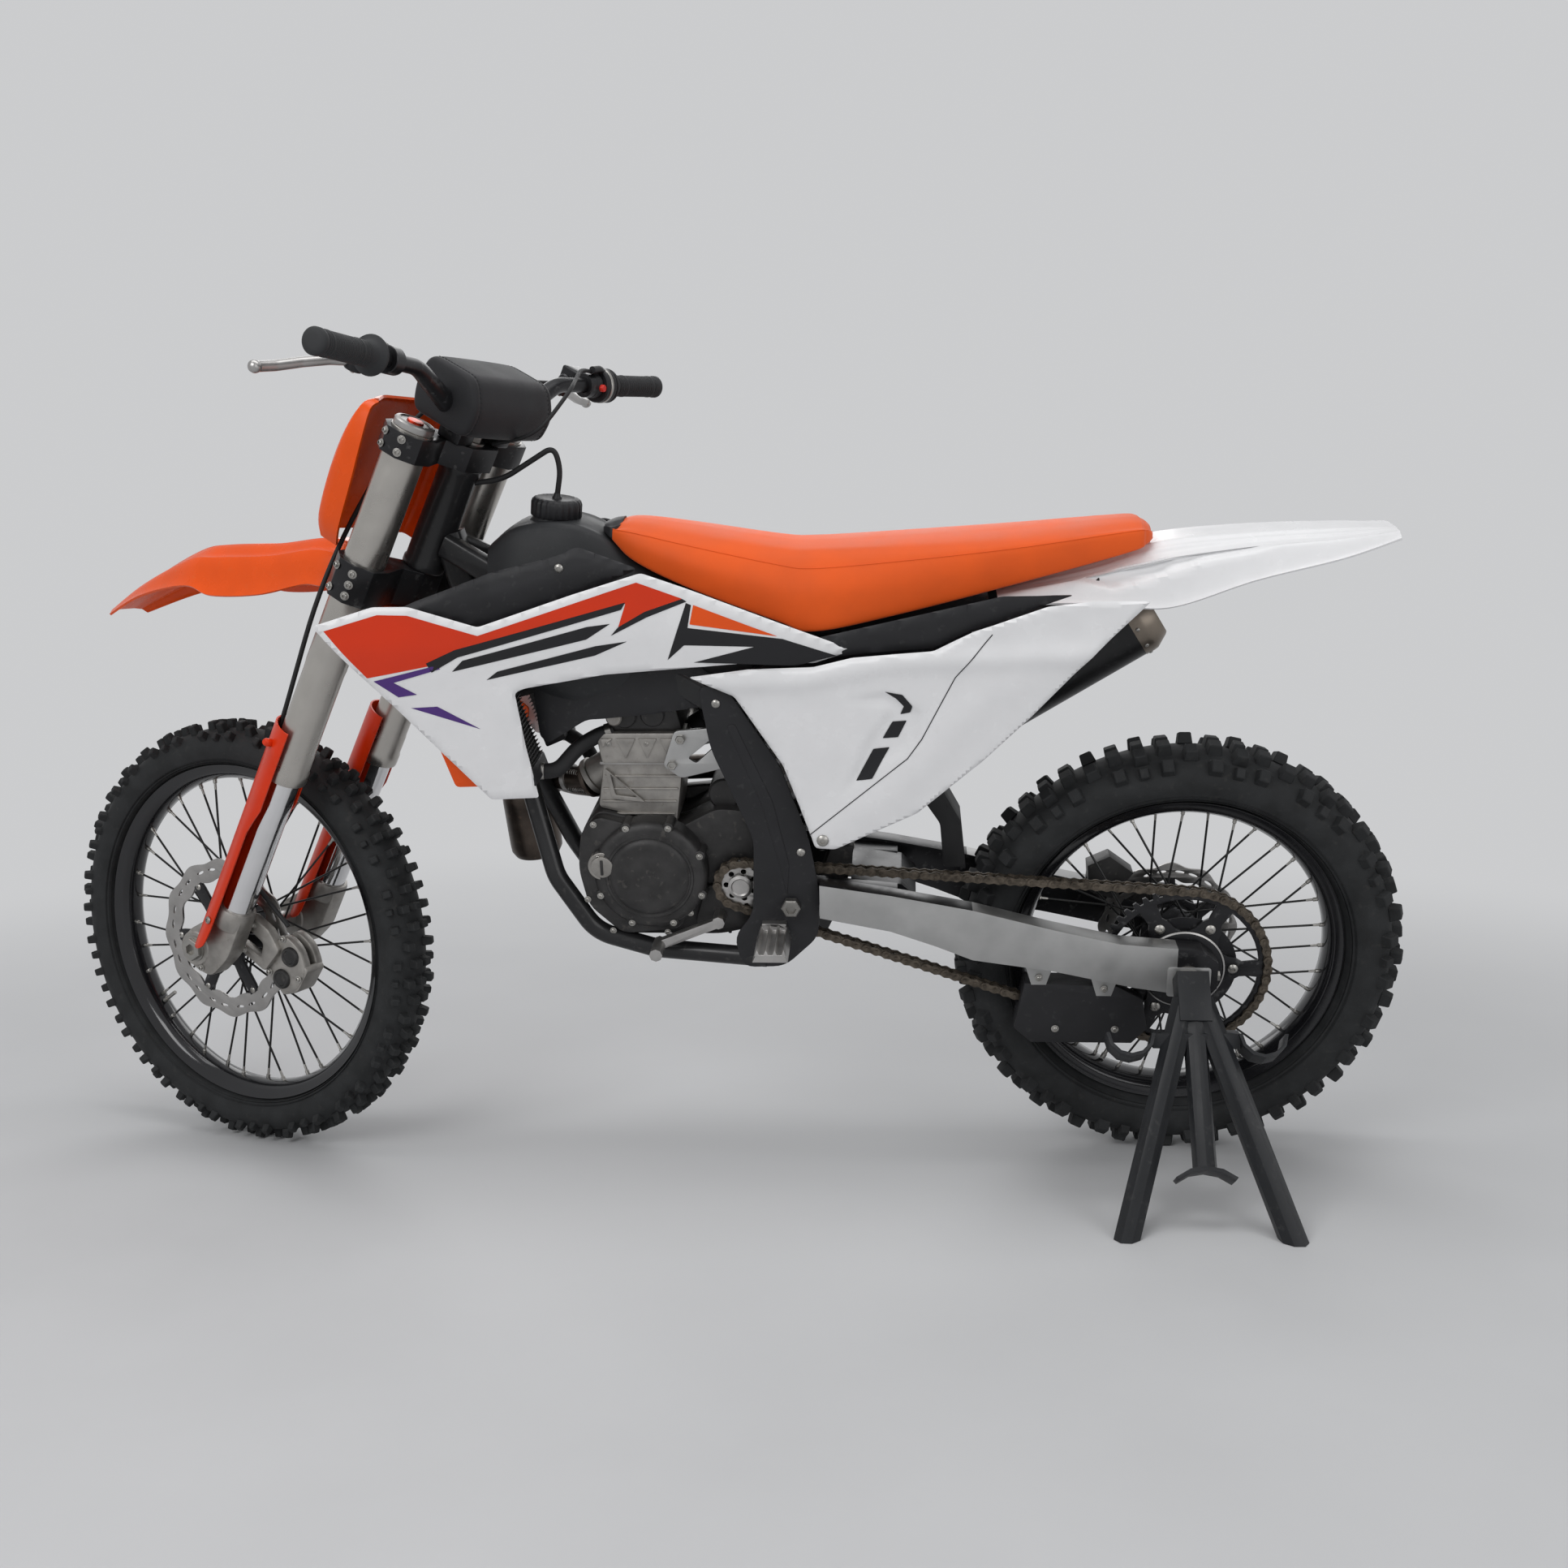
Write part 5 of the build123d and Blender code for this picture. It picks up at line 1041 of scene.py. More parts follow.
def panelSurface(plan):
    def surface(x, z):
        y = interpolate(plan, x)
        hollow = sidePanel["recess"]
        if insideOf((x, z), hollow):
            y -= 5.0 * smoothStep(0, 16, edgeDistance((x, z), hollow))
        crease = interpolate([(60, 905), (300, 800), (420, 660), (560, 560)], x)
        y += 5.0 * math.exp(-((z - crease) / 40) ** 2)
        y -= 7.0 * smoothStep(840, 790, z) * smoothStep(560, 720, x)
        y += 6.0 * math.exp(-((z - interpolate([(240, 850), (440, 838), (560, 812), (726, 800)],
            x)) / 16) ** 2)
        return y - 3.5
    return surface


def seamStrip(points, width):
    left, right = [], []
    for index, point in enumerate(points):
        here = Vector(point)
        along = (Vector(points[min(index + 1, len(points) - 1)])
            - Vector(points[max(index - 1, 0)])).normalized()
        across = Vector((-along.y, along.x)) * width / 2
        left.append(tuple(here + across))
        right.append(tuple(here - across))
    return left + right[::-1]


def buildSidePanels():
    for side, word, plan in ((1, "Left", panelPlans["left"]), (-1, "Right", panelPlans["right"])):
        surface = panelSurface(plan)
        sheets = [panelSheet("panelShell", sidePanel["outline"], surface, plasticWhite, side, 2.6, 5.5)]
        for slot in sidePanel["slots"]:
            sheets.append(panelSheet("panelSlot", slot, surface, decalBlack, side, 0, 5, 0, 1.5, 1.0))
        sheets.append(panelSheet("panelSeam", seamStrip(sidePanel["seam"], 1.3), surface, decalBlack, side, 0,
            5, 0, 0, 0.7))
        useAs(joined("sidePanel" + word, sheets, 40), "chassis", "side_panels")
        spot = (538, side * (surface(538, 572) + 0.3), 572)
        bolts("panelBolt" + word, "button", [(spot, (0, side, 0))], 9, bikePlace, "chassis", "side_panels")
        band = panelSheet("seatBand" + word, sidePanel["band"], lambda x, z: interpolate(plan, x) - 18,
            plasticBlack, side, 3, 12, 3, 4)
        use(band, "chassis", "airbox")


buildSidePanels()
print("panels ready")


# Fenders: crowned blades through stations (x, z, slope, half width, drop).
fenders = {"front": dict(rows=[(499, 356, -55, 40, 10), (438, 440, -50, 66, 24), (364, 528, -40, 80, 50),
    (316, 563, -31, 82, 72), (231, 610, -24, 76, 72), (150, 662, -14, 72, 66), (98, 670, 8, 70, 60),
    (66, 639.4, 40, 67, 30), (-40, 639.4, 0, 50, 20)], thick=3.5, ridge=4.0),
    "rear": dict(rows=[(290, 918, -6, 80, 10), (160, 950, -10, 94, 40), (66, 981, -8, 102, 76),
    (-60, 993, -2, 98, 50), (-180, 997, 0, 82, 28), (-264, 999, 0, 52, 9)], thick=3.2, ridge=3.0,
    groove=[(190, 940), (88, 962), (-1, 984), (-150, 1001), (-60, 976), (-1, 966), (88, 938), (130, 926)]),}


def buildFender(label, place, body, slot, material):
    size = fenders[label]
    groove = size.get("groove")
    rows = smoothRows(size["rows"], 16 if groove else 8)
    across = 85 if groove else 37
    grid = []
    for index, (x, z, slope, half, drop) in enumerate(rows):
        grid.append([])
        share = index / (len(rows) - 1)
        upX, upZ = -math.sin(math.radians(slope)), math.cos(math.radians(slope))
        for step in range(across):
            t = -1 + 2 * step / (across - 1)
            edge = abs(t)
            y = half * edge * (1 if t > 0 else -1)
            fall = -drop * (0.22 * smoothStep(0.3, 0.8, edge) + 0.78 * smoothStep(0.72, 1.02, edge))
            ridge = size["ridge"] * (smoothStep(0.42, 0.34, edge) - smoothStep(0.46, 0.52, edge)
                * smoothStep(0.72, 0.62, edge))
            ridge *= smoothStep(0.02, 0.2, share) * smoothStep(1.0, 0.8, share)
            rise = fall + ridge
            if groove and edge > 0.66 and insideOf((x + upX * rise, z + upZ * rise), groove):
                y -= math.copysign(16.0 * smoothStep(0, 7, edgeDistance((x + upX * rise, z + upZ * rise),
                    groove)), t)
            grid[-1].append((x + upX * rise, y, z + upZ * rise))
    useAs(sheetPiece(label + "Fender", grid, place, material, (0, 0, 1), size["thick"]), body, slot)


buildFender("front", steerPlace, "steering", "front_fender", plasticOrange)
buildFender("rear", bikePlace, "chassis", "rear_fender", plasticWhite)


# Number plate.
def buildPlate():
    rows = []
    for height, front, corner, back, half in ((690, 138, 120, 84, 96), (720, 144, 126, 82, 108),
            (790, 147, 129, 84, 114), (850, 146, 128, 92, 112), (892, 142, 124, 104, 100),
            (904, 134, 118, 106, 84)):
        row = []
        for step in range(33):
            t = -1 + 2 * step / 32
            edge = abs(t)
            y = half * math.copysign(min(1.0, 1.08 * math.sin(edge * math.pi / 2)), t) if t else 0.0
            x = front - (front - corner) * smoothStep(0.25, 0.62, edge) - (corner - back) * smoothStep(0.66,
                1.0, edge)
            row.append((x, y, height))
        rows.append(row)
    flat = [[c for point in row for c in point] for row in rows]
    grid = [[tuple(row[i:i + 3]) for i in range(0, len(row), 3)] for row in smoothRows(flat, 5)]
    plate = sheetPiece("plateShell", grid, steerPlace, plasticOrange, (1, 0, 0), 4)
    useAs(plate, "steering", "number_plate")


buildPlate()
print("fenders and plate ready")

# Chassis points given in the steering's own frame, straight ahead.
headAngle = math.radians(25.9)
headAhead = Vector((math.cos(headAngle), 0, math.sin(headAngle)))
headUp = Vector((-math.sin(headAngle), 0, math.cos(headAngle)))
headOrigin = Vector((1485, 0, frontRadius)) - headAhead * axleAhead


def headPoint(height, ahead=0.0, left=0.0):
    return headOrigin + headUp * height + headAhead * ahead + Vector((0, left, 0))


def alongPlace(place, start, end):
    along = (Vector(end) - Vector(start)).normalized()
    side = Vector((0, 1, 0)) if abs(along.y) < 0.9 else Vector((1, 0, 0))
    x = side.cross(along).normalized()
    turn = Matrix((x, along.cross(x), along)).transposed().to_4x4()
    return place @ Matrix.Translation(start) @ turn


def roundBar(name, start, end, profile, place, material, sides=32, angle=35):
    return turnedPiece(name, profile, alongPlace(place, start, end), material, sides, "z", angle=angle)


def slabPiece(name, outline, low, high, place, material, edge=1.5, corner=6.0, angle=40):
    return cutPlate(name, [roundedOutline(outline, corner, 4)], low, high, edge, place, material, angle)


def variedTube(name, points, radiusAt, place, material, sides=18, bend=60, steps=8):
    path = bentPath(points, bend, steps)
    thin = sweepRings(path, circleOf(1, sides))
    rings = [[point + (vert - point) * radiusAt(point) for vert in ring] for point, ring in zip(path, thin)]
    return ringPiece(name, rings, place, material)


# Fork.
fork = dict(offset=22.0, half=106.0, tube=30.0, leg=24.0, low=340.0, high=915.0)
redDial = finish("adjusterDial", (0.5, 0.045, 0.02), 0.3, 1.0, grain=(700, 0.02))


def centreOf(side):
    return Vector((fork["offset"], side * fork["half"], 0))


def buildFork():
    tubes, legs = [], []
    low, high, tube, x = (fork[word] for word in ("low", "high", "tube", "offset"))
    for side in (1, -1):
        foot = centreOf(side)

        def upright(name, profile, material, sides):
            return turnedPiece(name, profile, steerPlace, material, sides, "z", foot)

        tubes.append(upright("outerTube", [(24.3, low - 3), (25, low - 6), (30.6, low - 6), (31.2, low - 3),
            (31.2, low + 13), (29.9, low + 16), (29.9, low + 46), (29.2, low + 50), (29.2, low + 180),
            (tube, low + 190), (tube, high - 13), (28.4, high - 12)], tubeSilver, 56))
        tubes.append(upright("tubeCap", [(26, high - 14), (28.6, high - 11), (28.6, high - 4), (27, high - 2),
            (23, high - 1), (21.5, high - 3), (14, high - 3)], steelPlain, 48))
        tubes.append(upright("tubeDial", [(12, high - 4), (12, high - 1), (11, high), (4, high)],
            redDial if side > 0 else boltSteel, 32))
        legs.append(upright("chromeLeg", [(fork["leg"], 70), (fork["leg"], low + 2)], chromeTube, 40))
        outline = [(x - 27, 96), (x - 27, 20), (x - 10, -26), (x + 24, -31), (x + 59, -20), (x + 62, 16),
            (x + 30, 62), (x + 27, 96)]
        legs.append(slabPiece("legLug", outline, foot.y - 17, foot.y + 17, steerPlace, castSilver, 4, 12))
        legs.append(upright("legFoot", [(23, 62), (28, 66), (30, 74), (30, 92), (28, 98), (24.2, 99)],
            castSilver, 40))
        profile = [(13.4, -19), (26, -19), (28, -17), (28, 17), (26, 19), (13.4, 19), (13.4, -19)]
        legs.append(turnedPiece("axleBoss", profile, steerPlace, castSilver, 40, "y", (x + 35, foot.y, 0)))
    useAs(joined("forkTubes", tubes), "steering", "fork_tubes")
    useAs(joined("forkLegs", legs), "steering", "fork_legs")
    spots = mirrored(fork["half"] + 17.3, ((x + 12, -22), (x + 50, -14)))
    bolts("lugBolts", "bolt", spots, 5.5, steerPlace, "steering", "fork_legs")


guard = dict(radius=41.0, wave=1.6, rim=1.5, wall=2.6, across=29)


def buildGuards():
    shells = []
    for side in (1, -1):
        centre = centreOf(side)
        heights = [10, 14, 20, 28, 38, 50, 64, 90, 130, 170, 210, 240, 262, 285, 310, 332, 350, 370, 385, 393,
            398, 402, 406, 411, 416, 419]
        limits = [(10, 30), (16, 18), (30, 8), (60, 5), (250, 4), (330, -30), (398, -31), (400, -12),
            (420, -12)]
        across = guard["across"]
        grid = []
        for z in heights:
            spread = min(100, math.degrees(math.acos(max(-1, min(0.999, interpolate(limits, z) / 41.5)))))
            grid.append([])
            for step in range(across):
                t = -1 + 2 * step / (across - 1)
                angle = math.radians(t * spread)
                radius = guard["radius"] + guard["wave"] * math.cos(3 * angle) * smoothStep(60, 140, z)
                radius -= guard["rim"] * smoothStep(0.86, 1.0, abs(t))
                grid[-1].append(centre + Vector((radius * math.cos(angle), radius * math.sin(angle), z)))
        shells.append(sheetPiece("guardShell", grid, steerPlace, guardOrange, (1, 0, 0), guard["wall"]))
        if side > 0:
            nib = centre + Vector((42 * math.cos(1.1), 42 * math.sin(1.1), 388))
            shells.append(roundBar("guardNib", nib - Vector((0, 6, 0)), nib + Vector((6, 16, 4)),
                [(5, 0), (6, 1), (6, 12), (4, 15), (0.4, 15)], steerPlace, guardOrange, 20))
    useAs(joined("forkGuards", shells, 45), "steering", "fork_guards")
    spots = []
    for side in (1, -1):
        for z, tilt in ((26, 12), (74, 70)):
            turn = math.radians(tilt * side)
            facing = (math.cos(turn), math.sin(turn), 0)
            spots.append((centreOf(side) + Vector(facing) * 41.6 + Vector((0, 0, z)), facing))
    bolts("guardBolts", "button", spots, 6.0, steerPlace, "steering", "fork_guards")


buildFork()
buildGuards()


# Clamps, bar and controls.
bar = dict(half=405.0, tip=(-20.0, 1022.0), elbow=(4.0, 168.0, 997.0), seat=948.0, setback=4.0, grip=128.0,
    end=11.1, middle=14.3)


def barTip(side):
    return Vector((bar["tip"][0], side * bar["half"], bar["tip"][1]))


def barElbow(side):
    return Vector((bar["elbow"][0], side * bar["elbow"][1], bar["elbow"][2]))


def inwardOf(side):
    return (barElbow(side) - barTip(side)).normalized()


def buildClamps():
    softCopy("upper_clamp", "upperClamp", anodBlack, 2.0, 3)
    softCopy("lower_clamp", "lowerClamp", anodBlack, 2.5, 3)
    lower, upper = [], []
    for side in (1, -1):
        for turn in (112, 68):
            facing = Vector((math.cos(math.radians(turn)), side * math.sin(math.radians(turn)), 0))
            for z in (652, 669, 686):
                if turn == 112 or z != 669:
                    lower.append((centreOf(side) + facing * 38.6 + Vector((0, 0, z)), facing))
            for z in (873, 892):
                upper.append((centreOf(side) + facing * 38.6 + Vector((0, 0, z)), facing))
    bolts("lowerClampBolts", "bolt", lower, 6.5, steerPlace, "steering", "lower_clamp")
    bolts("upperClampBolts", "bolt", upper, 6.0, steerPlace, "steering", "upper_clamp")
    nut = [turnedPiece("stemNutFlange", [(0.5, 899), (19, 899), (20, 900), (20, 903), (18, 904), (0.5, 904)],
        steerPlace, boltSteel, 36, "z"), turnedPiece("stemNut", [(0.5, 903), (15.5, 903), (16, 904),
        (16, 911), (14.5, 912.5), (9, 912.5), (8.5, 909), (0.5, 909)], steerPlace, boltSteel, 6, "z")]
    use(joined("stemNutPiece", nut), "steering", "upper_clamp")


def buildBar():
    points = [barTip(1), barElbow(1), (-bar["setback"], 78, bar["seat"]), (-bar["setback"], -78, bar["seat"]),
        barElbow(-1), barTip(-1)]

    def radiusAt(point):
        return bar["end"] + (bar["middle"] - bar["end"]) * smoothStep(190, 100, abs(point.y))

    pieces = [variedTube("barTube", points, radiusAt, steerPlace, anodBlack, 22, 70, 10)]
    foot, top, seat = 900, bar["seat"] + bar["middle"] + 9, bar["seat"]
    back = -bar["setback"]
    for side in (1, -1):
        low, high = side * 44 - 16.5, side * 44 + 16.5
        lower = [(back - 19, foot), (back + 19, foot), (back + 21.5, seat - 1), (back - 21.5, seat - 1)]
        upper = [(back - 21.5, seat + 1), (back + 21.5, seat + 1), (back + 16, top), (back - 16, top)]
        pieces.append(slabPiece("barHolder", lower, low, high, steerPlace, anodBlack, 2, 4))
        pieces.append(slabPiece("barCap", upper, low, high, steerPlace, anodBlack, 2, 5))
    useAs(joined("handleBar", pieces), "steering", "handlebar")
    spots = [((back + x, side * 44 + y, top - 0.4), (0, 0, 1)) for side in (1, -1) for x in (-11, 11)
        for y in (-10, 10)]
    bolts("barBolts", "bolt", spots, 5.5, steerPlace, "steering", "handlebar")


def buildGrips():
    pieces = []
    length, rings = bar["grip"], 26
    step = (length - 32) / rings
    profile = [(0.5, -1.5), (9, -1.5), (15, -0.5), (17.2, 2), (17.2, 8), (15.6, 10)]
    for ring in range(rings):
        z = 12 + (length - 32) * ring / rings
        profile += [(15.4, z), (16.4, z + step * 0.2), (16.4, z + step * 0.7), (15.4, z + step * 0.86)]
    profile += [(16.2, length - 18), (17, length - 12), (20, length - 7), (25.5, length - 5),
        (26.2, length - 3), (25.5, length - 1), (15, length), (11.3, length)]
    for side in (1, -1):
        tip, inward = barTip(side), inwardOf(side)
        pieces.append(roundBar("grip", tip, tip + inward * length, profile, steerPlace, gripRubber, 36, 50))
        for z in (20, 86):
            band = [(16.3, z), (16.9, z + 0.6), (16.9, z + 3.2), (16.3, z + 3.8)]
            pieces.append(roundBar("gripBand", tip, tip + inward, band, steerPlace, gripRubber, 36))
    useAs(joined("gripPair", pieces, 50), "steering", "grips")


def buildPad():
    low, high = 922.0, 1006.0
    outline = [(-52, low), (46, low), (56, low + 40), (48, high), (-34, high), (-58, high - 40)]
    section = roundedOutline(outline, 17, 5)
    middle = Vector((sum(p[0] for p in section) / len(section), sum(p[1] for p in section) / len(section)))
    stations = [(-96.5, 0.8), (-95.5, 0.9), (-92, 0.965), (-86, 0.985), (-84, 0.955), (-82, 0.985),
        (-70, 0.995), (-45, 1.0), (0, 1.0)]
    stations += [(-y, s) for y, s in reversed(stations[:-1])]
    rings = []
    for y, scale in stations:
        bulge = 1 + 0.015 * math.cos(y / 96 * math.pi / 2)
        rings.append([(middle.x + (x - middle.x) * scale * bulge, y,
            middle.y + (z - middle.y) * scale * bulge) for x, z in section])
    pad = ringPiece("padForm", rings, steerPlace, padCloth, 60)
    smooth = pad.modifiers.new("smooth", "SUBSURF")
    smooth.levels = smooth.render_levels = 1
    settle(pad, 60)
    useAs(pad, "steering", "bar_pad")
    stitches = []
    for y in (-84, 84):
        for (x, z), (nx, nz) in zip(section, section[1:] + section[:1]):
            run = Vector((nx - x, 0, nz - z))
            pieces = max(1, int(run.length / 5))
            for piece in range(pieces):
                t = (piece + 0.5) / pieces
                out = Vector((x + (nx - x) * t - middle.x, 0, z + (nz - z) * t - middle.y)) * 0.985
                spot = Vector((middle.x, y + (2.4 if y < 0 else -2.4), middle.y)) + out
                stitches.append((spot - run.normalized() * 1.4, run, (0, 1, 0), (0.5, 0.5, 2.8)))
    use(repeatItem("padStitches", items["pin"], stitches, steerPlace, gripRubber), "steering", "bar_pad")


def buildLever(side, name, slot, blade, extra):
    tip, inward = barTip(side), inwardOf(side)
    perch = tip + inward * (bar["grip"] + 42)
    knuckle = perch + Vector((44, side * 6, -24))
    reach = tip + Vector((92, side * -26, -74))
    middle = knuckle + (reach - knuckle) * 0.22 + Vector((10, 0, 0))
    pieces = [roundBar("perchClamp", perch - inward * 11, perch + inward * 11,
        [(11.4, 0), (17.5, 0), (18.5, 1), (18.5, 21), (17.5, 22), (11.4, 22), (11.4, 0)], steerPlace,
        anodBlack)]
    arm = [perch + Vector((12, 0, -6)), perch + Vector((30, side * 2, -18)), knuckle + Vector((4, 0, 0))]
    pieces.append(tubePiece("perchArm", arm, 8, steerPlace, anodBlack, 16, 12, section=boxOf(16, 15, 4)))
    pieces.append(turnedPiece("perchBoss", [(0.5, -11), (11, -11), (12, -10), (12, 10), (11, 11), (0.5, 11)],
        steerPlace, anodBlack, 28, "z", tuple(knuckle)))
    if extra:
        start, end = perch + Vector((31, -22 * side, -9)), perch + Vector((26, 30 * side, -9))
        pieces.append(roundBar("cylinderBody", start, end, [(0.5, 0), (9, 0), (11, 2), (11, 18), (13, 20),
            (13, 46), (11, 50), (0.5, 52)], steerPlace, anodBlack))
        spot = perch + Vector((30, 8 * side, 4))
        pieces.append(slabPiece("fluidBox", [(spot.x - 14, spot.z - 12), (spot.x + 14, spot.z - 12),
            (spot.x + 15, spot.z + 9), (spot.x - 15, spot.z + 9)], spot.y - 22, spot.y + 22, steerPlace,
            anodBlack, 2, 4))
    useAs(joined(name + "Perch", pieces), "steering", slot)
    path = [knuckle - Vector((4, 0, 0)), knuckle + Vector((8, side * 3, -2)), middle,
        middle.lerp(reach, 0.35) + Vector((4, 0, -2)), middle.lerp(reach, 0.7) + Vector((3, 0, -3)), reach]
    bent = bentPath(path, 40, 6)
    rings = sweepRings(bent, lambda t: [(u * (1.35 - 0.35 * t), v * (1.15 + 0.1 * t)) for u,
        v in boxOf(13, 10.5, 4, 3)])
    lever = ringPiece("blade", rings, steerPlace, blade)
    ball = roundBar("leverBall", reach - Vector((0, side * 8, 0)), reach + Vector((0, side * 8, 0)),
        [(0.5, 0), (4, 0.6), (7, 3), (8.2, 7), (8.2, 9), (7, 13), (4, 15.4), (0.5, 16)], steerPlace, blade,
        24)
    use(joined(name + "Blade", [lever, ball]), "steering", slot)
    spots = [(knuckle + Vector((0, 0, 11)), (0, 0, 1)), (knuckle - Vector((0, 0, 11)), (0, 0, -1)),
        (perch + Vector((14, 0, 14)), (0.7, 0, 0.7)), (perch + Vector((16, 0, -13)), (0.7, 0, -0.7))]
    bolts(name + "Bolts", "bolt", spots, 4.5, steerPlace, "steering", slot)


def buildThrottle():
    tip, inward = barTip(-1), inwardOf(-1)
    start = tip + inward * bar["grip"]
    drum = [(11.4, 0), (24, 0), (26, 2), (26, 22), (24, 24), (11.4, 24), (11.4, 0)]
    ring = [(25.8, 9), (26.6, 10), (26.6, 14), (25.8, 15)]
    guide = start + inward * 12 + Vector((2, 0, 20))
    route = [guide, guide + inward * 20 + Vector((-4, 0, 8)), guide + inward * 42 + Vector((-8, 0, 8))]
    switch = start + inward * 33
    box = [(11.4, 0), (18, 0), (19, 1), (19, 13), (18, 14), (11.4, 14), (11.4, 0)]
    pieces = [roundBar("throttleDrum", start, start + inward * 24, drum, steerPlace, plasticBlack, 40),
        roundBar("throttleRing", start, start + inward * 24, ring, steerPlace, boltSteel, 40),
        tubePiece("cableGuide", route, 5.5, steerPlace, plasticBlack, 14, 20),
        roundBar("switchBody", switch - inward * 7, switch + inward * 7, box, steerPlace, plasticBlack)]
    use(joined("throttleHousing", pieces), "steering", "brake_control")
    button = roundBar("stopButton", switch + Vector((-18, 0, 4)), switch + Vector((-26, 0, 7)),
        [(5.5, 0), (5.5, 5), (4.8, 6.2), (0.4, 6.4)], steerPlace, buttonRed, 24)
    use(button, "steering", "brake_control")


buildClamps()
buildBar()
buildGrips()
buildPad()
buildLever(1, "clutch", "clutch_control", steelPlain, False)
buildLever(-1, "brake", "brake_control", steelPlain, True)
buildThrottle()
print("steering ready")


# Front caliper, axle, hoses.
def buildFrontBrake():
    def slab(name, outline, low, high, edge, corner):
        return slabPiece(name, outline, low, high, steerPlace, castSilver, edge, corner)

    body = [(-86, 84), (-52, 88), (-38, 50), (-50, 8), (-88, -4), (-112, 16), (-116, 56)]
    bridge = [(-117, 58), (-113, 14), (-90, -6), (-78, 0), (-102, 20), (-106, 62)]
    arm = [(-62, 62), (-30, 82), (12, 86), (12, 62), (-30, 56), (-34, 34), (12, 34), (12, 20), (-50, 16)]
    pieces = [slab("caliperOuter", body, 60, 78, 5, 16), slab("caliperInner", body, 34, 50, 4, 16),
        slab("caliperBridge", bridge, 36, 76, 3, 7), slab("caliperArm", arm, 68, 86, 3, 6)]
    for z in (62, 20):
        profile = [(0.5, 82), (10, 82), (11, 83.4), (13.5, 83.4), (15.5, 81), (16, 77), (16, 70)]
        pieces.append(turnedPiece("piston", profile, steerPlace, castDark, 36, "y", (-80, 0, z)))
    useAs(joined("frontCaliper", pieces), "steering", "front_caliper")
    spots = [((-56, 78.2, 80), (0, 1, 0)), ((-54, 78.2, 16), (0, 1, 0)), ((-108, 78.2, 38), (0, 1, 0)),
        ((-2, 86.2, 74), (0, 1, 0)), ((-2, 86.2, 27), (0, 1, 0))]
    bolts("caliperBolts", "bolt", spots, 6.0, steerPlace, "steering", "front_caliper")
    reach = 128

    def turned(name, profile, material, sides):
        return turnedPiece(name, profile, steerPlace, material, sides, "y", (axleAhead, 0, 0))

    axle = [turned("spindle", [(9, -reach), (12.4, -reach), (13, -reach + 1), (13, reach - 1), (12.4, reach),
        (9, reach), (9, -reach)], steelPlain, 40), turned("axleNut",
        [(12, reach - 2), (17.4, reach - 1.5), (18, reach), (18, reach + 4.5), (17.2, reach + 6),
        (9.5, reach + 6), (9.5, reach - 2)], boltSteel, 6), turned("axleWasher",
        [(12, reach - 4), (20, reach - 4), (20, reach - 1), (12, reach - 1)], boltSteel, 36)]
    for side in (1, -1):
        profile = [(13, 39), (17, 39), (17, 66), (15.5, 68), (15.5, 88), (13, 88)]
        axle.append(turned("axleSpacer", [(radius, side * y) for radius, y in profile], steelPlain, 36))
    useAs(joined("frontAxle", axle), "steering", "front_axle")


def buildHoses():
    front, inside = (centreOf(1) + Vector((*polar(fork["tube"] + 5, turn), 0)) for turn in (8, -70))
    tip, inward = barTip(-1), inwardOf(-1)
    start = tip + inward * 188 + Vector((34, 0, -14))
    points = [start, (100, -96, 955), (110, 0, 880), (86, 100, 660), (front.x, front.y, 400),
        (front.x, front.y - 1, 190), (inside.x, inside.y - 4, 124), (-50, 68, 98)]
    hose = tubePiece("brakeHosePiece", points, 3.5, steerPlace, rubberPlain, 14, 900, 10)
    useAs(hose, "steering", "brake_hose")
    start = tip + inward * 152 + Vector((2, 0, 18))
    points = [start, start + inward * 60 + Vector((-10, 0, 12)), (-84, -62, 1022), (-82, -26, 950),
        (-22, -22, 906)]
    cable = tubePiece("throttleCablePiece", points, 3.0, steerPlace, rubberPlain, 14, 900, 10)
    useAs(cable, "steering", "throttle_cable")
    cap = Vector((921, 0, 1050))
    points = [cap, cap + Vector((-8, 0, 40)), headPoint(944, -112), headPoint(868, -62), headPoint(846, -27)]
    vent = tubePiece("tankVent", points, 4.0, bikePlace, rubberPlain, 16, 900, 10)
    useAs(vent, "chassis", "breather")


buildFrontBrake()
buildHoses()


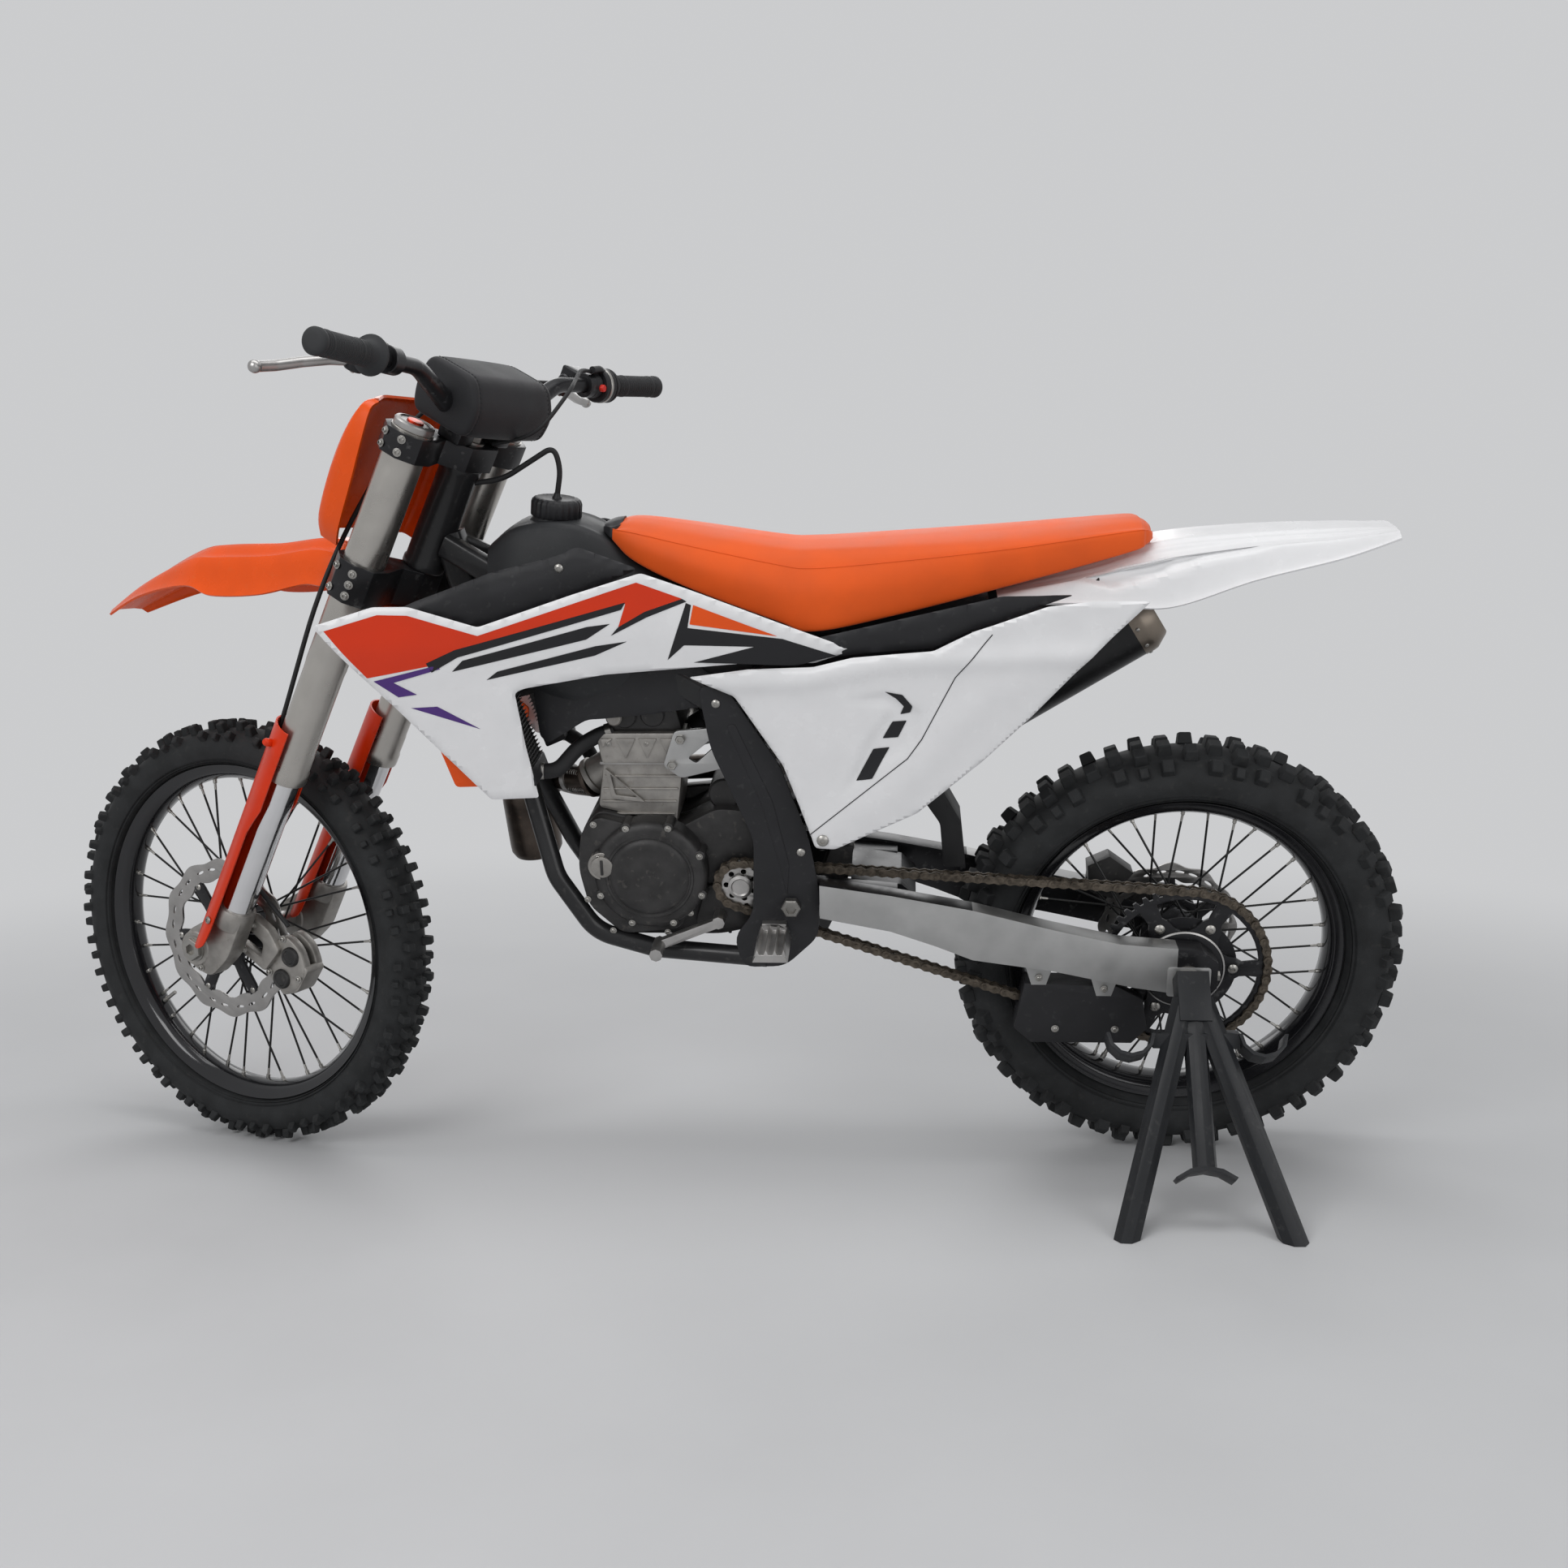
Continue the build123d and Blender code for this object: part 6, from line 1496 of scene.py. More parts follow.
# Frame.
def buildFrame():
    neck, split = headPoint(762, -18), Vector((1002, 0, 640))
    low, high = headPoint(698.3), headPoint(863.7)
    size = (high - low).length
    pieces = [roundBar("headTube", low, high, [(15.6, 0), (30.2, 0), (31, 1), (31, 9), (29, 12),
        (29, size - 12), (31, size - 9), (31, size - 1), (30.2, size), (15.6, size), (15.6, 0)], bikePlace,
        paintBlack, 40)]
    pieces.append(tubePiece("downTube", [neck, split + (neck - split).normalized() * -20], 20, bikePlace,
        paintBlack, section=boxOf(40, 42, 9, 4), hint=Vector((1, 0, 0))))
    middle = 96.0
    for side in (1, -1):
        cradle = [split + Vector((0, side * 14, 20)), Vector((948, side * 74, 486)),
            Vector((892, side * 74, 394)), Vector((800, side * 74, 366)), Vector((628, side * middle, 362))]
        pieces.append(tubePiece("cradle", cradle, 14.6, bikePlace, paintBlack, 22, 70, 10))
        top = Vector((680, side * (middle - 6), 760))
        start = headPoint(748, -22, side * 16)
        waist = start.lerp(top, 0.35) + Vector((0, side * 8, 0))
        pieces.append(tubePiece("spar", [start, waist, top], 13, bikePlace, paintBlack, bend=200,
            section=boxOf(25, 36, 7, 4)))
        plate = [(694, 776), (660, 772), (562, 505), (560, 425), (594, 357), (650, 349), (654, 385),
            (618, 425), (620, 515), (702, 730)]
        pieces.append(slabPiece("pivotPlate", plate, *sorted((side * 90, side * 102)), bikePlace, paintBlack,
            3, 14))
        pieces.append(tubePiece("coolerTab", [(1026, side * 14, 745), (990, side * 62, 745)], 5, bikePlace,
            paintBlack, section=boxOf(16, 8, 2), hint=Vector((1, 0, 0))))
    pieces.append(tubePiece("cradleTie", [(628, -92, 363), (628, 92, 363)], 12, bikePlace, paintBlack, 24))
    for x, z in ((606, 566), (650, 716)):
        pieces.append(tubePiece("crossTube", [(x, -92, z), (x, 92, z)], 11, bikePlace, paintBlack, 24))
    useAs(joined("frameTubes", pieces), "chassis", "frame")
    softCopy("subframe", "seatFrame", paintBlack, 2.0, 2)
    guards = []
    for side in (1, -1):
        outline = [(716, 796), (676, 796), (600, 676), (560, 560), (546, 480), (548, 402), (600, 352),
            (664, 350), (676, 400), (646, 440), (642, 560), (700, 700)]
        guards.append(slabPiece("sideGuard", outline, *sorted((side * 102.3, side * 106.3)), bikePlace,
            plasticBlack, 1.6, 18))
        rib = [(664, 740), (612, 620), (590, 520), (594, 470), (604, 520), (628, 616), (676, 736)]
        guards.append(slabPiece("sideGuardRib", rib, *sorted((side * 106, side * 107.6)), bikePlace,
            plasticBlack, 0.8, 6))
    useAs(joined("sideGuards", guards), "chassis", "frame_guards")
    spots = mirrored(106.4, ((690, 770), (612, 380), (572, 540)))
    bolts("guardPlateBolts", "button", spots, 6.5, bikePlace, "chassis", "frame_guards")
    bolts("pivotNuts", "hexNut", mirrored(110.5, ((588, 455),)), 15, bikePlace, "chassis", "swingarm")


buildFrame()
print("frame ready")


# Engine.
def buildEngine():
    def slab(name, outline, low, high, edge, corner):
        return slabPiece(name, outline, low, high, bikePlace, castDark, edge, corner)

    def cover(name, profile, x, z, sides=64, material=castDark):
        return turnedPiece(name, profile, bikePlace, material, sides, "y", (x, 0, z))

    left = 62.0
    case = [(905, 560), (880, 590), (760, 560), (700, 592), (640, 586), (622, 540), (618, 430), (640, 398),
        (700, 384), (850, 384), (905, 440), (915, 500)]
    leftWall = [(905, 560), (880, 588), (770, 558), (722, 486), (760, 402), (850, 393), (900, 440),
        (912, 500)]
    rightWall = [(900, 540), (860, 570), (680, 590), (625, 540), (625, 430), (660, 400), (850, 395),
        (905, 450)]
    pieces = [slab("caseHalfLeft", case, 0.6, left, 4, 14), slab("caseHalfRight", case, -left, -0.6, 4, 14),
        slab("caseShoulder", leftWall, left - 2, left + 22, 5, 16),
        slab("rightShoulder", rightWall, -left - 24, -left + 2, 5, 18),
        cover("leftCover", [(0.5, 105.6), (40, 105.6), (52, 105), (57, 103.4), (60, 100.6), (74, 99.4),
        (81, 97), (85, 92), (86, 86), (86, 60)], 801, 496), cover("leftCoverRim",
        [(61, 99.5), (63, 101.8), (66, 101.8), (68, 99)], 801, 496)]
    lugs = [(801 + x, 496 + z) for x, z in (polar(83, 22 + 45 * index) for index in range(8))]
    pieces += [cover("coverLug", [(0.5, 97), (6.5, 97), (8, 95.5), (8.5, 62)], *lug, 20) for lug in lugs]
    pieces.append(cover("clutchCover", [(0.5, -105.6), (50, -105.6), (60, -104.6), (64, -101), (76, -99),
        (81, -94), (82, -60)], 706, 492))
    pieces.append(cover("pumpCover", [(0.5, -91.6), (30, -91.6), (36, -90), (40, -84), (54, -80), (55, -60)],
        832, 470, 48))
    for x in range(650, 831, 36):
        pieces.append(slab("sumpRib", [(x, 400), (x + 5, 400), (x + 5, 380), (x, 380)], -50, 50, 1, 1.5))
    starter = [(0.5, 0), (22, 0), (25, 3), (25, 67), (22, 70), (0.5, 70)]
    pieces.append(roundBar("starterBody", (690, 40, 606), (690, -30, 606), starter, bikePlace, castDark, 32))
    pieces.append(slab("shiftHousing", [(720, 470), (650, 466), (630, 430), (642, 404), (700, 396),
        (740, 404)], 60, 70, 2, 10))
    useAs(joined("engineCases", pieces), "chassis", "engine")
    spots = [((x, 97.2, z), (0, 1, 0)) for x, z in lugs]
    spots += [((x, 84.4, z), (0, 1, 0)) for x, z in ((884, 574), (770, 550), (744, 430), (900, 452),
        (864, 400), (780, 398))]
    spots += [((x, left + 0.3, z), (0, 1, 0)) for x, z in ((632, 560), (640, 470), (650, 404))]
    for count, radius, start, turn, middle, y in ((7, 73, 0, 51, (706, 492), -99.6),
            (5, 47, 20, 72, (832, 470), -83)):
        for index in range(count):
            x, z = polar(radius, start + turn * index)
            spots.append(((middle[0] + x, y, middle[1] + z), (0, -1, 0)))
    bolts("engineBolts", "bolt", spots, 5.2, bikePlace, "chassis", "engine")
    cap = [cover("oilCapRim", [(10, 99), (21, 99), (22, 98), (22, 82)], 872, 512, 36, castSilver),
        cover("oilCapFace", [(0.5, 103), (14, 103), (16.5, 102), (17, 99), (17, 84)], 872, 512, 36,
        castSilver), slab("oilCapSlot", [(869.8, 500), (874.2, 500), (874.2, 524), (869.8, 524)], 102, 104.4,
        0.5, 1)]
    use(joined("oilCap", cap), "chassis", "engine")


def buildHead():
    def slab(name, outline, low, high, edge, corner, material=castSilver):
        return slabPiece(name, outline, low, high, bikePlace, material, edge, corner)

    def turned(name, profile, material, sides, x, z):
        return turnedPiece(name, profile, bikePlace, material, sides, "y", (x, 0, z))

    casting = [(868, 664), (874, 700), (862, 712), (742, 712), (738, 700), (744, 664)]
    camCover = [(860, 712), (850, 752), (838, 760), (770, 762), (756, 752), (746, 712)]
    pieces = [slab("barrel", [(880, 590), (868, 664), (748, 664), (762, 562)], -55, 55, 4, 8),
        slab("headCasting", casting, -65.5, 65.5, 3, 5), slab("headGasket",
        [(872, 662), (872, 666), (746, 666), (746, 662)], -62, 62, 0.4, 1, steelPlain),
        slab("camCover", camCover, -57, 57, 5, 8, castDark)]
    for shape in ([(866, 690), (868, 704), (850, 704)], [(832, 672), (846, 704), (816, 704)],
            [(800, 672), (812, 704), (784, 704)], [(768, 672), (780, 704), (752, 704)]):
        pieces.append(slab("headRib", shape, 64, 68.5, 1, 2))
    for z in (580, 600, 620, 640):
        back, front = 762 - (z - 590) * 0.16, 876 - (z - 590) * 0.16
        pieces.append(slab("barrelFin", [(back, z), (front, z), (front, z + 3), (back, z + 3)], -58, 58, 1,
            1))
    web = [(866, 656), (858, 606), (806, 600)]
    inner = [(858, 646), (852, 613), (820, 609)]
    pieces.append(cutPlate("barrelWeb", [roundedOutline(web, 5), roundedOutline(inner, 3)], 55, 61, 1.2,
        bikePlace, castSilver))
    port = [(0.5, 0), (27, 0), (27, 38), (30, 39), (30, 47), (27, 48), (19, 48)]
    pieces.append(roundBar("exhaustPort", (862, -10, 640), (904, -14, 613), port, bikePlace, castSilver, 36))
    plug = [(0.5, 62), (16, 62), (18, 60), (18, 54)]
    pieces += [turned("waterElbow", [(0.5, 70), (10, 70), (12, 68), (12, 60)], castSilver, 24, 846, 736),
        turned("camPlug", plug, castDark, 32, 790, 738), turned("camPlugTwo", plug, castDark, 32, 832, 736)]
    useAs(joined("cylinderHead", pieces), "chassis", "cylinder_head")
    spots = [((x, 65.8, 696), (0, 1, 0)) for x in (760, 800, 858)] + [((x, 57.3, 748), (0, 1, 0))
        for x in (768, 810, 846)]
    spots += [((x, -65.8, 696), (0, -1, 0)) for x in (760, 800, 858)]
    spots += [((x, y, 763), (0, 0, 1)) for x in (776, 836) for y in (-46, 0, 46)]
    bolts("headBolts", "bolt", spots, 5.5, bikePlace, "chassis", "cylinder_head")
    boot = [(24, 0), (27, 2), (27, 10), (22, 14), (22, 34), (30, 38), (30, 62), (26, 66), (26, 100)]
    body = [(0.5, 0), (12, 0), (14, 3), (14, 60), (12, 64), (0.5, 64)]
    inlet = [roundBar("inletBoot", (744, 0, 690), (660, 0, 748), boot, bikePlace, rubberPlain, 36),
        roundBar("throttleBody", (704, 34, 716), (704, -30, 716), body, bikePlace, castDark, 28)]
    use(joined("inlet", inlet), "chassis", "cylinder_head")
    outline = [(757, 718), (684, 724), (644, 732), (638, 706), (681, 661), (750, 644), (776, 664)]
    outlines = [roundedOutline(outline, 7), roundedOutline([(738, 676), (704, 704), (698, 694), (726, 668)],
        4)]
    hangers = [cutPlate("hanger", outlines, low, high, 1.5, bikePlace, armSilver) for low,
        high in ((66.3, 74.3), (-74.3, -66.3))]
    useAs(joined("headHangers", hangers), "chassis", "head_hangers")
    spots = mirrored(74.4, ((762, 666), (748, 706), (652, 714)))
    bolts("hangerBolts", "hexNut", spots, 7.5, bikePlace, "chassis", "head_hangers")


silencer = dict(halfWide=52.0, halfHigh=42.0, sides=48, rivets=10)


def buildExhaust():
    points = [(904, -14, 612), (948, -40, 603), (972, -84, 590), (955, -112, 570), (905, -116, 562),
        (820, -100, 598), (720, -72, 612), (605, -68, 622), (545, -86, 620), (432, -96, 612)]
    flange = [(19, 0), (29, 0), (30, 1), (30, 6), (29, 7), (19.6, 7)]
    size = 124
    chamber = [(0.5, 0), (22, 1), (36, 6), (41, 15), (41.6, 26)]
    chamber += [(radius, size - along) for radius, along in reversed(chamber)]
    pieces = [tubePiece("header", points, 19.4, bikePlace, exhaustSteel, 32, 60, 9),
        roundBar("flange", (900, -13, 614), (914, -17, 608), flange, bikePlace, exhaustSteel, 36),
        roundBar("chamber", (1014, -94, 450), (1024, -92, 574), chamber, bikePlace, exhaustSteel, 48),
        tubePiece("chamberNeck", [(968, -100, 584), (1020, -92, 552)], 19, bikePlace, exhaustSteel, 28)]
    front = Vector((935, -33, 606))
    for at, on in ((front, front + (front - Vector((900, -13, 614))).normalized() * 10),
            ((610, -68, 622), (600, -69, 622))):
        pieces.append(roundBar("jointRing", at, on, [(19, 0), (22.5, 1), (22.5, 9), (19, 10)], bikePlace,
            steelPlain, 36))
    useAs(joined("exhaustPipe", pieces), "chassis", "exhaust_pipe")
    springs = []
    for height in (14, -14):
        start, end = Vector((908, 4, 612 + height)), Vector((944, -24, 606 + height))
        axis = end - start
        side = axis.cross(Vector((0, 0, 1))).normalized()
        up = side.cross(axis).normalized()
        path = []
        for step in range(91):
            t, a = step / 90, 2 * math.pi * 9 * step / 90
            path.append(start + axis * t + side * 3.4 * math.cos(a) + up * 3.4 * math.sin(a))
        springs.append(ringPiece("clampSpring", sweepRings(path, circleOf(0.8, 6)), bikePlace, boltSteel))
    use(joined("clampSprings", springs), "chassis", "exhaust_pipe")
    start, end = Vector((431, -96, 612.5)), Vector((44, -96, 852))
    size = (end - start).length
    place = alongPlace(bikePlace, start, end)
    body = [(0, 0.52, 0.48), (16, 0.54, 0.5), (22, 0.62, 0.6), (70, 0.97, 0.98), (78, 1, 1), (84, 1, 1),
            (86, 0.985, 0.985), (size - 42, 0.985, 0.985)]
    tail = [(size - 42, 1, 1), (size - 28, 1, 1), (size - 22, 0.985, 0.985), (size - 3, 0.76, 0.76),
        (size, 0.7, 0.7), (size - 2, 0.6, 0.6), (size - 4, 0.42, 0.36), (size - 1, 0.42, 0.36),
        (size - 1, 0.36, 0.3), (size - 26, 0.36, 0.3)]
    wide, high = silencer["halfWide"], silencer["halfHigh"]
    shells = []
    for name, rows, material in (("silencerBody", body, exhaustBlack), ("silencerTail", tail, capBronze)):
        rings = [[(wide * sx * x, high * sy * y, along) for x, y in circleOf(1, silencer["sides"])] for along,
            sx, sy in rows]
        shells.append(ringPiece(name, rings, place, material))
    useAs(joined("silencerPiece", shells), "chassis", "silencer")
    spots = []
    for x, y in polarRing(1, silencer["rivets"], 180 / silencer["rivets"]):
        spots += [((wide * x, high * y, along), (x / wide, y / high, 0)) for along in (80, size - 35)]
    bolts("silencerRivets", "button", spots, 3.2, place, "chassis", "silencer")


def buildCoolers():
    pieces = []
    a, b, c, d = (Vector(p) for p in ((1042, 850), (1010, 864), (948, 660), (980, 646)))
    for side in (1, -1):
        low, high = sorted((side * 62, side * 148))
        for along, deep in ((0.0, 0.12), (0.88, 1.0)):
            ring = [a.lerp(d, along), b.lerp(c, along), b.lerp(c, deep), a.lerp(d, deep)]
            pieces.append(slabPiece("coolerTank", [tuple(p) for p in ring], low, high, bikePlace,
                plasticBlack, 2, 4))
        for fin in range(27):
            t = 0.13 + 0.74 * fin / 26
            p, q = a.lerp(d, t), b.lerp(c, t)
            verts = [(x.x, y, x.y - drop) for drop in (0, 1) for x,
                y in ((p, low + 3), (q, low + 3), (q, high - 3), (p, high - 3))]
            faces = [(0, 1, 2, 3), (4, 7, 6, 5), (0, 4, 5, 1), (1, 5, 6, 2), (2, 6, 7, 3), (3, 7, 4, 0)]
            pieces.append(addPiece("coolerFin", verts, faces, bikePlace, coreGrey))
        p, q, r, s = a.lerp(d, 0.1), b.lerp(c, 0.1), a.lerp(d, 0.9), b.lerp(c, 0.9)
        tube = [tuple(p.lerp(q, 0.1)), tuple(p.lerp(q, 0.9)), tuple(r.lerp(s, 0.9)), tuple(r.lerp(s, 0.1))]
        for row in range(7):
            y = low + 8 + (high - low - 16) * row / 6
            pieces.append(slabPiece("coolerTube", tube, y - 1, y + 1, bikePlace, coreGrey, 0.3, 0.5))
    useAs(joined("coolers", pieces), "chassis", "radiators")


exhaustBlack = finish("silencerBlack", (0.016, 0.016, 0.017), 0.36, 0.5, grain=(900, 0.15),
    scuff=(0.2, 0.08, 0.08, 0.08))
buildEngine()
buildHead()
buildExhaust()
buildCoolers()
print("engine ready")


# Tank and seat.
def loftRows(name, rows, ringOf, place, material, steps=5, angle=50):
    rings = [ringOf(*row) for row in smoothRows(rows, steps)]
    return ringPiece(name, rings, place, material, angle), rings


def mirroredRing(x, half):  # half a section, from its foot up to its crown, and the other half
    path = [tuple(p) for p in smoothRows([list(p) for p in half], 4)]
    return [Vector((x, y, z)) for y, z in path] + [Vector((x, -y, z)) for y, z in reversed(path[:-1])]


def tankRing(x, low, high, foot, top):
    tall, dome = high - low, 8.0
    return mirroredRing(x, [(foot * 0.86, low), (foot, low + tall * 0.12), (foot, low + tall * 0.35),
        (top + (foot - top) * 0.3, high - tall * 0.3), (top * 0.86, high - dome),
        (top * 0.5, high - dome * 0.2), (0.001, high)])


def seatRing(x, low, high, foot, top):
    tall = high - low
    return mirroredRing(x, [(foot - 7, low), (foot - 1.5, low + 1.5), (foot, low + tall * 0.18),
        (foot - 1, low + tall * 0.5), (top + (foot - top) * 0.42, high - tall * 0.22),
        (top * 0.88, high - 6.5), (top * 0.5, high - 1.8), (0.001, high)])


def buildTank():
    rows = [(1020, 880, 985, 58, 44), (975, 800, 1016, 98, 58), (905, 770, 1022, 112, 64),
        (850, 772, 1002, 108, 60), (790, 776, 955, 92, 56), (640, 800, 872, 70, 50)]
    shell, _ = loftRows("tankShell", rows, tankRing, bikePlace, tankBlack, 6)
    foot, top = Vector((927, 0, 1000)), Vector((921, 0, 1050))
    neck = roundBar("fillerNeck", foot, top, [(39, 0), (38, 14), (35, 18), (33, 20), (33, 24)], bikePlace,
        tankBlack, 48)
    count = 24
    section = [polar(radius, 360 * (tooth + share) / count) for tooth in range(count) for radius,
        share in ((35.2, 0.1), (36.8, 0.3), (36.8, 0.6), (35.2, 0.8))]
    rows = [(23, 0.97), (24, 1.0), (42, 1.0), (46, 0.96), (48.5, 0.88), (49.5, 0.74), (48.5, 0.6),
        (48.5, 0.02)]
    cap = ringPiece("fuelCap", [[(x * share, y * share, z) for x, y in section] for z, share in rows],
        alongPlace(bikePlace, foot, top), plasticBlack, 40)
    nipple = roundBar("ventNipple", foot + (top - foot) * 0.9, top + (top - foot) * 0.12,
        [(7, 0), (7, 5), (5, 7), (4.4, 11)], bikePlace, plasticBlack, 20)
    pieces = [shell, neck, cap, nipple]
    useAs(joined("fuelTank", pieces, 45), "chassis", "fuel_tank")


stitching = dict(pitch=7.0, start=2.0, thread=0.4, length=3.6, seam=0.7)


def buildSeat():
    rows = [(846, 1004, 1014, 30, 26), (832, 990, 1016, 48, 40), (800, 966, 1019, 66, 52),
        (722, 932, 1008, 84, 60), (600, 888, 988, 96, 66), (548, 873, 985, 98, 68), (436, 894, 990, 94, 72),
        (270, 934, 1000, 84, 74), (112, 974, 1013, 68, 60), (84, 983, 1009, 54, 46), (74, 988, 1002, 40, 30)]

    seat, rings = loftRows("seatForm", rows, seatRing, bikePlace, seatCloth, 7, 60)
    useAs(seat, "chassis", "seat")
    stitches, piping = [], []
    for at in (16, -17):
        line = []
        for ring in rings[6:-6]:
            spot = ring[at]
            centre = Vector((spot.x, 0, (ring[0].z + ring[len(ring) // 2].z) / 2))
            line.append(spot + (spot - centre).normalized() * 0.1)
        rest = 0.0
        for start, end in zip(line, line[1:]):
            run = end - start
            along = -rest
            while along + stitching["pitch"] <= run.length:
                along += stitching["pitch"]
                spot = start + run.normalized() * along - run.normalized() * stitching["start"]
                stitches.append((spot, run, (0, 0, 1), (stitching["thread"], stitching["thread"],
                    stitching["length"])))
            rest = run.length - along
        piping.append(ringPiece("seatSeam", sweepRings(line, circleOf(stitching["seam"], 8)), bikePlace,
            seatCloth))
    use(joined("seatSeams", piping), "chassis", "seat")
    use(repeatItem("seatStitches", items["pin"], stitches, bikePlace, seatThread), "chassis", "seat")
    tip = [(852, 1002, 1013, 22, 18), (846, 1000, 1016, 34, 28), (836, 994, 1019, 44, 38),
        (824, 988, 1021, 30, 24)]
    patch, _ = loftRows("seatTipForm", tip, seatRing, bikePlace, plasticBlack, 4, 50)
    use(patch, "chassis", "seat")


def buildUnderTank():
    outline = [(958, 806), (722, 826), (690, 800), (704, 760), (790, 750), (880, 744), (940, 706), (952, 716)]
    for side, word in ((1, "Left"), (-1, "Right")):
        skirt = panelSheet("tankSkirt" + word, outline, lambda x, z: 104 - 0.1 * abs(x - 860), plasticBlack,
            side, 3, 12, 3, 10)
        use(skirt, "chassis", "fuel_tank")
    hoses = [[(962, 96, 664), (930, 92, 662), (902, 60, 690), (872, 54, 706), (850, 50, 712)],
        [(990, 84, 838), (950, 76, 826), (900, 60, 790), (870, 58, 760), (848, 56, 738)],
        [(962, -96, 664), (920, -88, 640), (890, -70, 560), (868, -82, 500)]]
    pieces, clips = [], []
    for route in hoses:
        pieces.append(tubePiece("coolantHose", route, 11.5, bikePlace, rubberPlain, 20, 200, 8))
        for start, on in ((route[0], route[1]), (route[-1], route[-2])):
            start = Vector(start)
            along = (Vector(on) - start).normalized()
            clips.append(roundBar("hoseClip", start + along * 4, start + along * 14,
                [(11.4, 0), (12.8, 0.4), (12.8, 8.6), (11.4, 9)], bikePlace, boltSteel, 24))
    use(joined("coolantHoses", pieces + clips), "chassis", "radiators")
    profile = [(0.5, 0), (12, 0), (13, 2), (13, 34), (9, 40), (0.5, 42)]
    lead = [(806, 52, 780), (796, 60, 792), (760, 66, 790), (724, 60, 770)]
    cap = [roundBar("plugCap", (806, 40, 742), (806, 52, 786), profile, bikePlace, rubberPlain, 24),
           tubePiece("plugLead", lead, 3.6, bikePlace, rubberPlain, 12, 60, 8)]
    use(joined("plugLeadPiece", cap), "chassis", "cylinder_head")


buildTank()
buildSeat()
buildUnderTank()


# Rear: airbox, arm, shock, brakes, controls, stand.
def buildRear():
    softCopy("airbox", "airboxShell", plasticBlack, 4.0, 3)
    softCopy("mud_flap", "mudFlapSheet", rubberPlain, 2.5, 2)
    flange = [(436, 720), (424, 722), (356, 600), (334, 560), (327, 487), (360, 487), (366, 558), (398, 606),
        (412, 650)]
    edges = [slabPiece("flapEdge", flange, low, low + 5, bikePlace, rubberPlain, 1.2, 6) for low in (-36, 31)]
    use(joined("mudFlapEdges", edges), "chassis", "mud_flap")
    arm = softCopy("swingarm", "swingArm", armSilver, 2.6, 3)
    arm.data.materials.append(anodBlack)
    facing = (bikePlace.to_3x3() @ Vector((1, 0, 0))).normalized()
    edge = bikePlace @ Vector((16, 0, rearRadius))
    toBike, sideways = bikePlace.inverted(), (bikePlace.to_3x3() @ Vector((0, 1, 0))).normalized()
    work = bmesh.new()
    work.from_mesh(arm.data)
    bmesh.ops.bisect_plane(work, geom=work.verts[:] + work.edges[:] + work.faces[:], plane_co=edge,
        plane_no=facing)
    for face in work.faces:
        centre = face.calc_center_median()
        ahead, across = (centre - edge).dot(facing), (toBike @ centre).y
        # Faces toward the middle, the cross member and the block ahead of it take the black finish as painted
        # shade behind the chain; the axle block and the chain slider are black parts.
        inner = abs(across) < 70 or face.normal.dot(sideways) * across < -0.6 * abs(across)
        inner = inner or (ahead > 0.4 and across > -60 and (toBike @ centre).z > 455)
        if ahead < 0 or inner or (ahead > 0.33 and face.normal.z > 0.7):
            face.material_index = 1  # axle block and chain slider are black parts; inner walls, cross member and front block are painted shade
    work.to_mesh(arm.data)
    work.free()
    for node, name, material, width, segments in (("chain_guide", "chainGuide", plasticBlack, 2.0, 2),
            ("linkage", "linkRocker", castDark, 4.0, 3), ("rear_caliper", "rearCaliper", castDark, 2.5, 2),
            ("foot_controls", "footControls", steelPlain, 2.0, 2),
            ("footpegs", "footPegs", steelPlain, 1.0, 2), ("stand", "plugStand", standPaint, 2.0, 2)):
        softCopy(node, name, material, width, segments)
    z = rearRadius

    def turned(name, profile, material, sides, side=1):
        profile = [(radius, side * y) for radius, y in profile]
        return turnedPiece(name, profile, bikePlace, material, sides, "y", (0, 0, z))

    pieces = [turned("rearSpindle", [(8, -138), (12, -138), (12.5, -137), (12.5, 137), (12, 138), (8, 138),
        (8, -138)], steelPlain, 40)]
    for side in (1, -1):
        pieces += [turned("rearNut", [(12, 124), (22, 124), (23, 125), (23, 133), (21.5, 134.5), (12, 134.5),
            (12, 124)], boltSteel, 6, side), turned("rearWasher",
            [(12, 122), (25, 122), (26, 123), (26, 125.5), (12, 125.5)], boltSteel, 40, side),
            turned("rearSpacer", [(12.5, 43), (17, 43), (17, 86), (12.5, 91)], steelPlain, 36, side),
            slabPiece("axleBlock", [(-34, z - 24), (30, z - 24), (30, z + 24), (-34, z + 24)],
            *sorted((side * 124, side * 126)), bikePlace, armSilver, 0.8, 6),
            roundBar("adjuster", (-50, side * 108, z + 2), (-28, side * 108, z + 2),
            [(0.5, 0), (8, 0), (8, 7), (5, 7.5), (5, 22)], bikePlace, boltSteel, 6)]
    useAs(joined("rearAxle", pieces), "chassis", "rear_axle")
    face = [(30, 84.4), (56, 84.4), (60, 83), (61, 80.2), (58, 80), (30, 80), (30, 84.4)]
    ring = [(59.6, 80.4), (62.6, 81), (62.6, 83.4), (60.2, 84.6), (59.6, 80.4)]
    hubCover = [turnedPiece("hubCover", face, rearPlace, anodBlack, 56),
        turnedPiece("hubCoverRing", ring, rearPlace, steelPlain, 56)]
    use(joined("hubCoverPiece", hubCover), "rear_wheel", "rear_sprocket")
    spots = [((x, 104.6, z), (0, 1, 0)) for x, z in ((217, 336), (119, 318), (190, 250), (100, 250))]
    bolts("guideBolts", "bolt", spots, 6.0, bikePlace, "chassis", "chain_guide")


